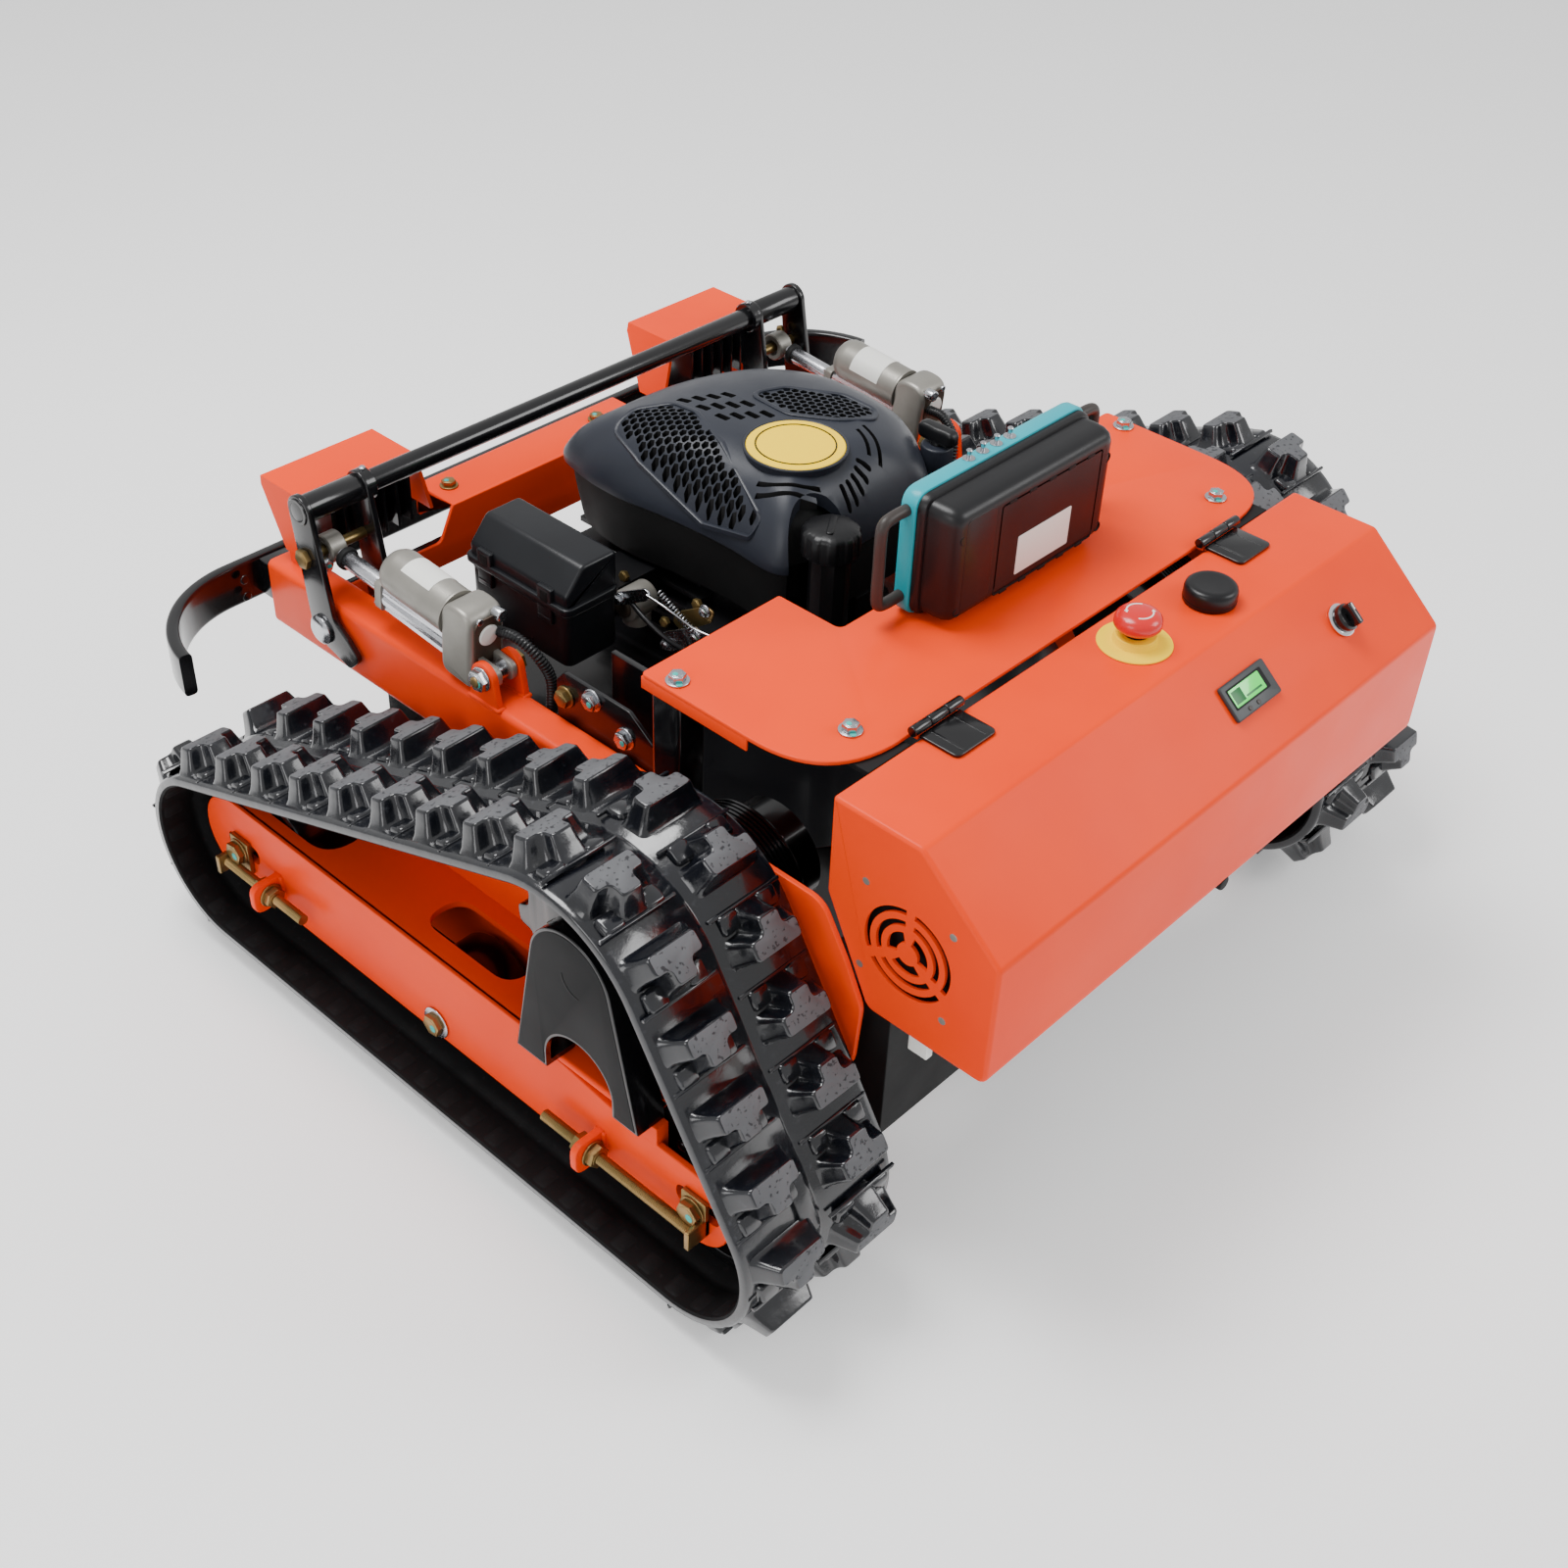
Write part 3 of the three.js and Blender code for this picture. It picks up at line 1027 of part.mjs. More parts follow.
// Lid-like housing: a sheet shell open at the bottom and at the front
function rearHousing() {
  const shell = slabX(housingOutline(0), -housing.half, housing.half);
  const s = housing.sheet;
  const inside = [
    [housing.y0 - over, housing.top - s], [housing.y0 - over, housing.bottom - over],
    [housing.y1 - s, housing.bottom - over], [housing.y1 - s, housing.zBack - s / 2],
    [housing.yTop - s / 2, housing.top - s],
  ];
  const hollow = slabX(inside, s - housing.half, housing.half - s);
  const stopHole = rod([stop.x, stop.y, housing.top - s - over], [stop.x, stop.y, housing.top + over], stop.stem + gap,
    round.pin);
  const dialHole = rod([dial.x, ...chamferPoint(dial.along, -s - over)], [dial.x, ...chamferPoint(dial.along, over)],
    dial.stem + running, round.small);
  const meterHole = slabX([[meter.along - meter.bodyY / 2, over], [meter.along - meter.bodyY / 2, -s - over],
    [meter.along + meter.bodyY / 2, -s - over], [meter.along + meter.bodyY / 2, over]]
    .map(([along, out]) => chamferPoint(along, out)), meter.x - meter.bodyX / 2 - gap, meter.x + meter.bodyX / 2 + gap);
  return cut(shell, [hollow, stopHole, dialHole, meterHole, ...ventSlots(1), ...ventSlots(-1)]);
}

// Tray: a belly box, a pan above it, a front wall and tabs under the top plate
function rearTray() {
  const belly = box(-tray.half, tray.half, tray.y0, tray.y1, tray.z0, tray.z1 + over);
  const panHalf = housing.half - housing.sheet - running;
  const wallY = housing.y0 + over;
  const pan = box(-panHalf, panHalf, housing.footY + over, housing.y1 - housing.sheet - running, tray.panTop - tray.sheet,
    tray.panTop);
  const backLip = box(-panHalf, panHalf, housing.y1 - housing.sheet - running - tray.lip,
    housing.y1 - housing.sheet - running, tray.panTop - over, tray.panTop + tray.backRise);
  const riser = slabX([[tray.y0, tray.z1 - tray.sheet], [tray.y1, tray.z1 - tray.sheet],
    [tray.y1, tray.panTop], [housing.footY + over, tray.panTop]], -tray.half, tray.half);
  const wallTop = housing.top - housing.sheet - running;
  const wall = slabX([[wallY, wallTop], [wallY, housing.footZ + over], [housing.footY + over, tray.panTop - over],
    [housing.footY + over + tray.lip, tray.panTop - over], [wallY + tray.lip, housing.footZ + over + tray.lip],
    [wallY + tray.lip, wallTop]], -panHalf, panHalf);
  const units = [1, -1].map((side) => box(side * unit.from, side * (unit.from + unit.x), housing.footY + battery.off,
    housing.footY + battery.off + unit.y, tray.panTop - over, tray.panTop + unit.z));
  const tabs = [1, -1].map((side) => box(side * (bolt.x2 - tab.width / 2), side * (bolt.x2 + tab.width / 2),
    bolt.y2 - tab.depth / 2, housing.y0 - running, top.z - top.sheet - gap - tray.sheet, top.z - top.sheet - gap));
  const tabWall = [1, -1].map((side) => box(side * (bolt.x2 - tab.width / 2), side * (bolt.x2 + tab.width / 2),
    housing.y0 - running - over, wallY + over, wallTop - tab.depth, wallTop));
  return join([belly, riser, pan, backLip, wall, ...units, ...tabs, ...tabWall]);
}

function batteryBlock() {
  const y0 = housing.footY + battery.off;
  const z0 = tray.panTop + gap;
  const z1 = z0 + battery.z;
  const pieces = [slabZ(roundRect(-battery.x / 2, battery.x / 2, y0, y0 + battery.y, battery.edge, 1), z0, z1)];
  for (const side of [1, -1]) {
    const x = side * (battery.x / 2 - battery.terminal - battery.terminal);
    pieces.push(rod([x, y0 + battery.y / 2, z1 - over], [x, y0 + battery.y / 2, z1 + battery.terminal],
      battery.terminal, round.small));
  }
  return join(pieces);
}

// Hinge: barrel over the slit and one leaf on the housing
function lidHinge(side) {
  const half = hinge.width / 2;
  const z0 = housing.top + gap;
  const axisZ = housing.top + hinge.rise;
  const x0 = side * hinge.x - half;
  const x1 = side * hinge.x + half;
  return join([
    slabZ(roundRect(x0, x1, housing.y0 + gap, housing.y0 + hinge.leaf, hinge.r, 2), z0, z0 + hinge.sheet),
    box(x0, x1, housing.y0 - running + gap, housing.y0 + hinge.leaf / 2, z0, z0 + hinge.sheet),
    rod([side * hinge.x - hinge.barrel / 2, hinge.axisY, axisZ], [side * hinge.x + hinge.barrel / 2, hinge.axisY,
      axisZ], hinge.r, round.pin),
  ]);
}

function stopBase() {
  const z0 = housing.top + gap;
  return join([
    rod([stop.x, stop.y, z0], [stop.x, stop.y, z0 + stop.ringHeight], stop.ring, round.wheel),
    rod([stop.x, stop.y, z0], [stop.x, stop.y, z0 + stop.collarHeight], stop.collar, round.wheel),
  ]).subtract(rod([stop.x, stop.y, z0 - over], [stop.x, stop.y, z0 + stop.collarHeight + over], stop.stem + gap,
    round.pin));
}

// Mushroom button on a stem that runs down through its base and the housing
function stopButton() {
  const z0 = housing.top + gap + stop.collarHeight + stop.travel + gap;
  const profile = [
    [0, 0], [stop.head - over, 0], [stop.head, over], [stop.head, stop.headHeight - stop.edge],
    [stop.head - stop.edge, stop.headHeight], [0, stop.headHeight],
  ];
  const geometry = new THREE.LatheGeometry(profile.map(([a, b]) => new THREE.Vector2(a, b)), round.wheel);
  geometry.rotateX(Math.PI / 2);
  geometry.translate(stop.x, stop.y, z0);
  return solid(geometry).add(rod([stop.x, stop.y, z0 - stop.stemLength], [stop.x, stop.y, z0 + over], stop.stem,
    round.pin));
}

function aerialCap() {
  const z0 = housing.top + gap;
  const profile = [
    [0, 0], [aerial.r, 0], [aerial.r, aerial.height - aerial.edge], [aerial.r - aerial.edge, aerial.height],
    [0, aerial.height],
  ];
  const geometry = new THREE.LatheGeometry(profile.map(([a, b]) => new THREE.Vector2(a, b)), round.wheel);
  geometry.rotateX(Math.PI / 2);
  geometry.translate(aerial.x, aerial.y, z0);
  return solid(geometry);
}

function meterPanel() {
  const slab = (a, b, out0, out1, x0, x1) => slabX([[a, out0], [b, out0], [b, out1], [a, out1]]
    .map(([along, out]) => chamferPoint(along, out)), x0, x1);
  const face = slab(meter.along - meter.height / 2, meter.along + meter.height / 2, gap, gap + meter.thick,
    meter.x - meter.width / 2, meter.x + meter.width / 2);
  const body = slab(meter.along - meter.bodyY / 2 + gap, meter.along + meter.bodyY / 2 - gap, -meter.depth,
    gap + meter.thick / 2, meter.x - meter.bodyX / 2, meter.x + meter.bodyX / 2);
  return face.add(body);
}

function dialPoint(out) {
  return [dial.x, ...chamferPoint(dial.along, out)];
}

function dialRing() {
  return rod(dialPoint(gap), dialPoint(gap + dial.ringHeight), dial.ring, round.wheel).subtract(
    rod(dialPoint(-over), dialPoint(dial.ringHeight + over), dial.stem + running, round.small));
}

// Rotary knob with a raised finger ridge
function dialKnob() {
  const z0 = gap + dial.ringHeight + gap;
  const [ridgeY, ridgeZ] = [dial.along, z0 + dial.knobHeight];
  const ridge = slabX([[ridgeY - dial.knob, z0 + over], [ridgeY + dial.knob, z0 + over], [ridgeY + dial.knob, ridgeZ],
    [ridgeY - dial.knob, ridgeZ]].map(([along, out]) => chamferPoint(along, out)), dial.x - dial.stem / 2,
  dial.x + dial.stem / 2);
  return join([
    rod(dialPoint(z0), dialPoint(z0 + dial.knobHeight / 2), dial.knob + over, round.wheel - round.small),
    ridge,
    rod(dialPoint(-dial.stemLength), dialPoint(z0 + over), dial.stem, round.small),
  ]);
}

const remoteZ = top.z + gap;

function remoteOutline(inset) {
  return roundRect(remote.x - remote.half + inset, remote.x + remote.half - inset, remoteZ + inset,
    remoteZ + remote.height - inset, remote.corner - inset, 3);
}

function remoteBack() {
  const step = (remote.y1 - remote.split) / 2;
  return join([
    slabY(remoteOutline(remote.inset), remote.split + gap, remote.y1 - step / 2),
    slabY(remoteOutline(remote.inset * 2), remote.split + gap, remote.y1),
  ]);
}

// Front half of the transmitter, with the side rails, stick pots and toggles
function remoteBezel() {
  const pieces = [slabY(remoteOutline(0), remote.y0, remote.split)];
  const z0 = remoteZ + rail.low;
  const z1 = remoteZ + rail.high;
  for (const side of [1, -1]) {
    const x0 = remote.x + side * (remote.half - over);
    const x1 = remote.x + side * (remote.half + rail.out);
    const bend = rail.bend;
    const route = [[x0, z0], [x1 - side * bend, z0], [x1, z0 + bend], [x1, z1 - bend], [x1 - side * bend, z1], [x0, z1]];
    const shape = shapeOf(circle(0, 0, rail.r, round.small));
    const bent = new THREE.CatmullRomCurve3(route.map(([x, z]) => new THREE.Vector3(x, rail.y, z)), false,
      'centripetal');
    pieces.push(solid(new THREE.ExtrudeGeometry(shape, { steps: 14, bevelEnabled: false, extrudePath: bent })));
    const potX = remote.x + side * stick.x;
    pieces.push(rod([potX, remote.y0 - stick.potHeight, remoteZ + remote.height / 2],
      [potX, remote.y0 + over, remoteZ + remote.height / 2], stick.pot, round.pin));
  }
  for (let i = 0; i < toggle.count; i += 1) {
    const x = remote.x + toggle.first - i * toggle.step;
    pieces.push(rod([x, rail.y, remoteZ + remote.height - over], [x, rail.y, remoteZ + remote.height + toggle.length],
      toggle.r, round.small));
  }
  return join(pieces);
}

function joystick(side) {
  const x = remote.x + side * stick.x;
  const z = remoteZ + remote.height / 2;
  const y0 = remote.y0 - stick.potHeight - gap;
  return join([
    rod([x, y0, z], [x, y0 - stick.taper, z], stick.foot, round.small, stick.r),
    rod([x, y0 - stick.taper, z], [x, y0 - stick.length, z], stick.r, round.small),
    rod([x, y0 - stick.length + over, z], [x, y0 - stick.length - stick.capHeight, z], stick.cap, round.pin),
  ]);
}

const group = new THREE.Group();

// One named mesh from a solid, in its finish
function addPart(name, body, [color, roughness, metalness]) {
  const mesh = body.getMesh();
  const geometry = new THREE.BufferGeometry();
  const count = mesh.numProp;
  const positions = new Float32Array((mesh.vertProperties.length / count) * 3);
  for (let i = 0; i < positions.length / 3; i += 1) {
    for (let k = 0; k < 3; k += 1) positions[3 * i + k] = mesh.vertProperties[count * i + k];
  }
  geometry.setAttribute('position', new THREE.BufferAttribute(positions, 3));
  geometry.setIndex(new THREE.BufferAttribute(new Uint32Array(mesh.triVerts), 1));
  geometry.computeVertexNormals();
  const part = new THREE.Mesh(geometry, new THREE.MeshStandardMaterial({ color, roughness, metalness }));
  part.name = name;
  group.add(part);
}

for (const [side, word] of [[1, 'left'], [-1, 'right']]) {
  addPart(`side_beam_${word}`, sideBeam(side), paint.orange);
  addPart(`lamp_hood_${word}`, lampHood(side), paint.orange);
  addPart(`work_lamp_${word}`, workLamp(side), paint.black);
  addPart(`drive_motor_${word}`, driveMotor(side), paint.black);
  addPart(`track_frame_${word}`, trackFrame(side), paint.orange);
  addPart(`drive_guard_${word}`, driveGuard(side), paint.black);
  addPart(`track_belt_${word}`, trackBelt(side), paint.rubber);
  addPart(`front_tensioner_${word}`, tensioner(side, front, 1, frontLug), paint.zinc);
  addPart(`rear_tensioner_${word}`, tensioner(side, rear, -1, rearLug), paint.zinc);
  addPart(`drive_sprocket_${word}`, driveSprocket(side), paint.black);
  addPart(`front_idler_${word}`, trackWheel(side, front.y, front.z, front.r - wheelClear), paint.black);
  addPart(`rear_idler_${word}`, trackWheel(side, rear.y, rear.z, rear.r - wheelClear), paint.black);
  addPart(`track_roller_${word}`, trackWheel(side, wheel.rollerY, rollerZ, wheel.rollerR), paint.black);
  addPart(`roller_bolt_${word}`, rollerBolt(side), paint.zinc);
  addPart(`actuator_body_${word}`, actuatorBody(side), paint.silver);
  addPart(`actuator_rod_${word}`, actuatorRod(side), paint.steel);
  addPart(`actuator_cable_${word}`, ribbedSleeve(side), paint.plastic);
  addPart(`lid_hinge_${word}`, lidHinge(side), paint.black);
  addPart(`joystick_${word}`, joystick(side), paint.plastic);
}

// Bolt that the middle roller turns on
function rollerBolt(side) {
  const at = (value) => [side * value, wheel.rollerY, rollerZ];
  const face = frame.outer + gap;
  const back = frame.inner - gap;
  return join([
    rod(at(back), at(face), wheel.axle),
    rod(at(face), at(face + adjuster.headDepth), adjuster.head, 6),
    rod(at(back), at(back - adjuster.headDepth), adjuster.head, 6),
  ]);
}

addPart('front_bumper', frontBumper(), paint.black);
addPart('front_panel', frontPanel(), paint.orange);
addPart('top_plate', topPlate(), paint.orange);
addPart('rear_tray', rearTray(), paint.black);
addPart('battery', batteryBlock(), paint.cell);
addPart('lift_bar', liftBar(), paint.black);
addPart('mower_deck', mowerDeck(), paint.black);
addPart('mower_blade', mowerBlade(), paint.steel);
addPart('engine_block', engineBlock(), paint.black);
addPart('engine_cowl', engineCowl(), paint.cowl);
addPart('air_filter', airFilter(), paint.plastic);
addPart('oil_cap', oilCap(), paint.plastic);
addPart('starter_handle', starterHandle(), paint.plastic);
addPart('rear_housing', rearHousing(), paint.orange);
addPart('stop_base', stopBase(), paint.yellow);
addPart('stop_button', stopButton(), paint.red);
addPart('aerial_cap', aerialCap(), paint.plastic);
addPart('meter', meterPanel(), paint.grey);
addPart('dial_ring', dialRing(), paint.chrome);
addPart('dial_knob', dialKnob(), paint.black);
addPart('remote_back', remoteBack(), paint.plastic);
addPart('remote_bezel', remoteBezel(), paint.teal);

export default group;
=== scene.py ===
# Looks of the remote control slope mower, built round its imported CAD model.
# Shapes are worked out in millimetres and stored in metres, in the model's own frame:
# front towards -Y, the machine's left track towards +X, ground at Z = 0.
import json
import math

import bmesh
import bpy
import numpy as np
from mathutils import Matrix, Vector


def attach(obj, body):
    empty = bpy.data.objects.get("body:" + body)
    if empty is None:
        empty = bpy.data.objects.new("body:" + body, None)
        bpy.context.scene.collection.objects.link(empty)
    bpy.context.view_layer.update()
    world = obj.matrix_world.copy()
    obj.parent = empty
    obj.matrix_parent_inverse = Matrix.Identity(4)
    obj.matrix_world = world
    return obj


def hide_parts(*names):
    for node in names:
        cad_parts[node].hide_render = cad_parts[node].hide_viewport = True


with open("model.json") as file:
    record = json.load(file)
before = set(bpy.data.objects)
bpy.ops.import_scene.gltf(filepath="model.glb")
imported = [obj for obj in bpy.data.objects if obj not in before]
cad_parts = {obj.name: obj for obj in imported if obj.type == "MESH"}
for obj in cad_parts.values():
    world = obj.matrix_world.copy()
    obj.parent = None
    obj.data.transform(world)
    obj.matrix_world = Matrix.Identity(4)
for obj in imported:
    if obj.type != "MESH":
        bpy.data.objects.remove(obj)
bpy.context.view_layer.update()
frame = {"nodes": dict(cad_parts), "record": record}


MM = 0.001
SIDES = (("left", 1), ("right", -1))
TAU = 2 * math.pi


# Camera and light

FOCAL_PIXELS = 2028.37
PICTURE_PIXELS = 1600
SENSOR = 36.0
FARTHEST = 50.0
CAMERA_PLACE = (1.12433, 0.95688, 1.28743)
CAMERA_RIGHT = (-0.6826, 0.7300, 0.0348)
CAMERA_UP = (-0.4382, -0.4468, 0.7801)
CAMERA_BACK = (0.5850, 0.5172, 0.6249)
LIGHT_AIM = (0, 0, 0.3)
LIGHT_WIDTH = 1.2
ROOM_STRENGTH = 0.8


def place_camera():
    """Camera at the photograph's place, its own axes pointing right, up and back."""
    data = bpy.data.cameras.new("camera")
    data.sensor_width = SENSOR
    data.lens = FOCAL_PIXELS / PICTURE_PIXELS * SENSOR
    data.clip_end = FARTHEST
    camera = bpy.data.objects.new("camera", data)
    bpy.context.scene.collection.objects.link(camera)
    turn = Matrix((CAMERA_RIGHT, CAMERA_UP, CAMERA_BACK)).transposed().to_4x4()
    camera.matrix_world = Matrix.Translation(CAMERA_PLACE) @ turn
    bpy.context.scene.camera = camera


def add_light(name, place, power):
    """Square soft light at a place, turned towards the machine's middle."""
    data = bpy.data.lights.new(name, "AREA")
    data.size = LIGHT_WIDTH
    data.energy = power
    light = bpy.data.objects.new(name, data)
    light.location = place
    way = Vector(LIGHT_AIM) - Vector(place)
    light.rotation_euler = way.to_track_quat("-Z", "Y").to_euler()
    bpy.context.scene.collection.objects.link(light)


def light_room():
    """White room light with three soft boxes over the machine."""
    world = bpy.data.worlds.new("room")
    world.use_nodes = True
    background = world.node_tree.nodes["Background"].inputs
    background["Color"].default_value = (1, 1, 1, 1)
    background["Strength"].default_value = ROOM_STRENGTH
    bpy.context.scene.world = world
    add_light("key", (0.5, -0.7, 2.6), 72)
    add_light("fill", (2.6, 0.3, 1.5), 17)
    add_light("rim", (-1.6, 2.0, 1.9), 34)


# Finishes


def ink(red, green, blue):
    """Linear colour of a screen colour given in 0 to 255."""
    screen = np.array([red, green, blue]) / 255
    linear = np.where(screen <= 0.04045, screen / 12.92, ((screen + 0.055) / 1.055) ** 2.4)
    return (*linear.tolist(), 1.0)


class Reading:
    """A value or colour read from a shader graph; sums on values are written as expressions."""

    def __init__(self, finish, socket):
        self.finish = finish
        self.socket = socket

    def math(self, operation, first, second):
        return self.finish.node("ShaderNodeMath", {"operation": operation}, {0: first, 1: second})

    def __add__(self, other):
        return self.math("ADD", self, other)

    __radd__ = __add__

    def __mul__(self, other):
        return self.math("MULTIPLY", self, other)

    __rmul__ = __mul__

    def __sub__(self, other):
        return self.math("SUBTRACT", self, other)

    def __rsub__(self, other):
        return self.math("SUBTRACT", other, self)


class Finish:
    """One material: its shader, and one method that adds any other node."""

    def __init__(self, name, rough, metal=0.0, coat=0.0, **fixed):
        self.material = bpy.data.materials.new(name)
        self.material.use_nodes = True
        self.tree = self.material.node_tree
        self.shader = self.tree.nodes["Principled BSDF"]
        self.set(Roughness=rough, Metallic=metal)
        self.shader.inputs["Coat Weight"].default_value = coat
        for key, value in fixed.items():
            self.shader.inputs[key.replace("_", " ")].default_value = value
        self.place = self.node("ShaderNodeTexCoord", output="Object")

    def node(self, kind, settings=None, sockets=None, output=0):
        """Adds a node with its settings and the values of its sockets, and reads its output."""
        made = self.tree.nodes.new(kind)
        for key, value in (settings or {}).items():
            if key == "stops":
                self.fill_ramp(made.color_ramp, value)
            else:
                setattr(made, key, value)
        for key, value in (sockets or {}).items():
            self.feed(made.inputs[key], value)
        return Reading(self, made.outputs[output])

    def fill_ramp(self, ramp, stops):
        """Grey stops of a ramp, from rows (place, shade)."""
        while len(ramp.elements) < len(stops):
            ramp.elements.new(1.0)
        for element, (at, shade) in zip(ramp.elements, stops):
            element.position = at
            element.color = (shade, shade, shade, 1)

    def feed(self, socket, value):
        """Links a reading to a socket, or sets its plain value."""
        if isinstance(value, Reading):
            self.tree.links.new(value.socket, socket)
        else:
            socket.default_value = value

    def set(self, **sockets):
        """Feeds sockets of the shader, named with _ for each space."""
        for key, value in sockets.items():
            self.feed(self.shader.inputs[key.replace("_", " ")], value)

    def noise(self, scale, detail=3.0, rough=0.5, place=None):
        """Cloudy value whose lumps are about 1 / scale metres wide."""
        sockets = {"Vector": place or self.place, "Scale": scale, "Detail": detail, "Roughness": rough}
        return self.node("ShaderNodeTexNoise", {}, sockets)

    def stretched(self, x, y, z):
        """Object coordinates scaled on each axis, for brushed or streaked patterns."""
        return self.node("ShaderNodeVectorMath", {"operation": "MULTIPLY"}, {0: self.place, 1: (x, y, z)})

    def ramp(self, value, *stops):
        """A value read through grey stops."""
        return self.node("ShaderNodeValToRGB", {"stops": stops}, {0: value})

    def mix(self, share, first, second):
        """Colour between first and second by a share from 0 to 1."""
        return self.node("ShaderNodeMix", {"data_type": "RGBA"}, {0: share, 6: first, 7: second}, output=2)

    def bump(self, height, distance, strength):
        """Fine relief from a height value, over a distance in metres."""
        sockets = {"Height": height, "Distance": distance, "Strength": strength}
        self.set(Normal=self.node("ShaderNodeBump", {}, sockets))

    def worn(self, share, first, second):
        """Two tones mixed over the surface by a reading."""
        self.set(Base_Color=self.mix(share, first, second))


def painted(name, light, deep, rough, coat, grain=900.0, depth=0.00003):
    """Powder coat: two close tones in wide clouds, faint orange peel and patches of gloss."""
    f = Finish(name, rough, coat=coat, Coat_Roughness=0.12, Specular_IOR_Level=0.1 + 0.4 * coat)
    clouds = f.ramp(f.noise(6, 4), (0.35, 0), (0.7, 1))
    f.worn(clouds, light, deep)
    f.set(Roughness=rough + (f.noise(18, 5) - 0.5) * 0.16)
    f.bump(f.noise(grain, 2), depth, 0.35)
    return f.material


def moulded(name, light, deep, rough, grain=1400.0, depth=0.00006, coat=0.0, shine=0.32):
    """Moulded plastic: a fine even grain with slightly uneven gloss."""
    f = Finish(name, rough, coat=coat, Coat_Roughness=0.2, Specular_IOR_Level=shine)
    f.worn(f.ramp(f.noise(9, 5), (0.3, 0), (0.75, 1)), light, deep)
    f.set(Roughness=rough + (f.noise(30, 4) - 0.5) * 0.2)
    f.bump(f.noise(grain, 2) + f.noise(grain * 0.3, 3) * 0.5, depth, 0.45)
    return f.material


def metal(name, light, deep, rough, stretch=(1, 1, 1), depth=0.00003, share=1.0):
    """Metal with drawn lines along one axis and a cloudy tone."""
    f = Finish(name, rough, metal=share)
    lines = f.noise(420, 3, place=f.stretched(*stretch))
    f.worn(f.ramp(f.noise(25, 4), (0.3, 0), (0.75, 1)), light, deep)
    f.set(Roughness=rough + (lines - 0.5) * 0.25)
    f.bump(lines, depth, 0.3)
    return f.material


def rubber(name, light, deep, rough, dust, coat=0.5):
    """Moulded rubber: blue-black, with specks of dust and a wavy glossy skin."""
    f = Finish(name, rough, coat=coat, Coat_Roughness=0.1, Specular_IOR_Level=0.2 + 0.6 * coat)
    clouds = f.ramp(f.noise(14, 6, 0.6), (0.38, 0), (0.66, 1))
    specks = f.ramp(f.noise(160, 3), (0.62, 0), (0.8, dust))
    f.worn(specks, f.mix(clouds, light, deep), ink(84, 86, 92))
    f.set(Roughness=rough + (f.noise(45, 4) - 0.5) * 0.3)
    f.bump(f.noise(60, 3) + f.noise(700, 2) * 0.12, 0.0011, 0.5)
    return f.material


def worn_tops(name):
    """Ground tops of the lugs: matte grey with small dark pits."""
    f = Finish(name, 0.7)
    pits = f.ramp(f.noise(260, 2), (0.60, 0), (0.66, 1))
    tone = f.mix(f.noise(35, 5), ink(92, 93, 96), ink(72, 73, 76))
    f.worn(pits, tone, ink(34, 35, 39))
    f.bump(1 - pits + f.noise(900, 2) * 0.3, 0.0003, 0.6)
    return f.material


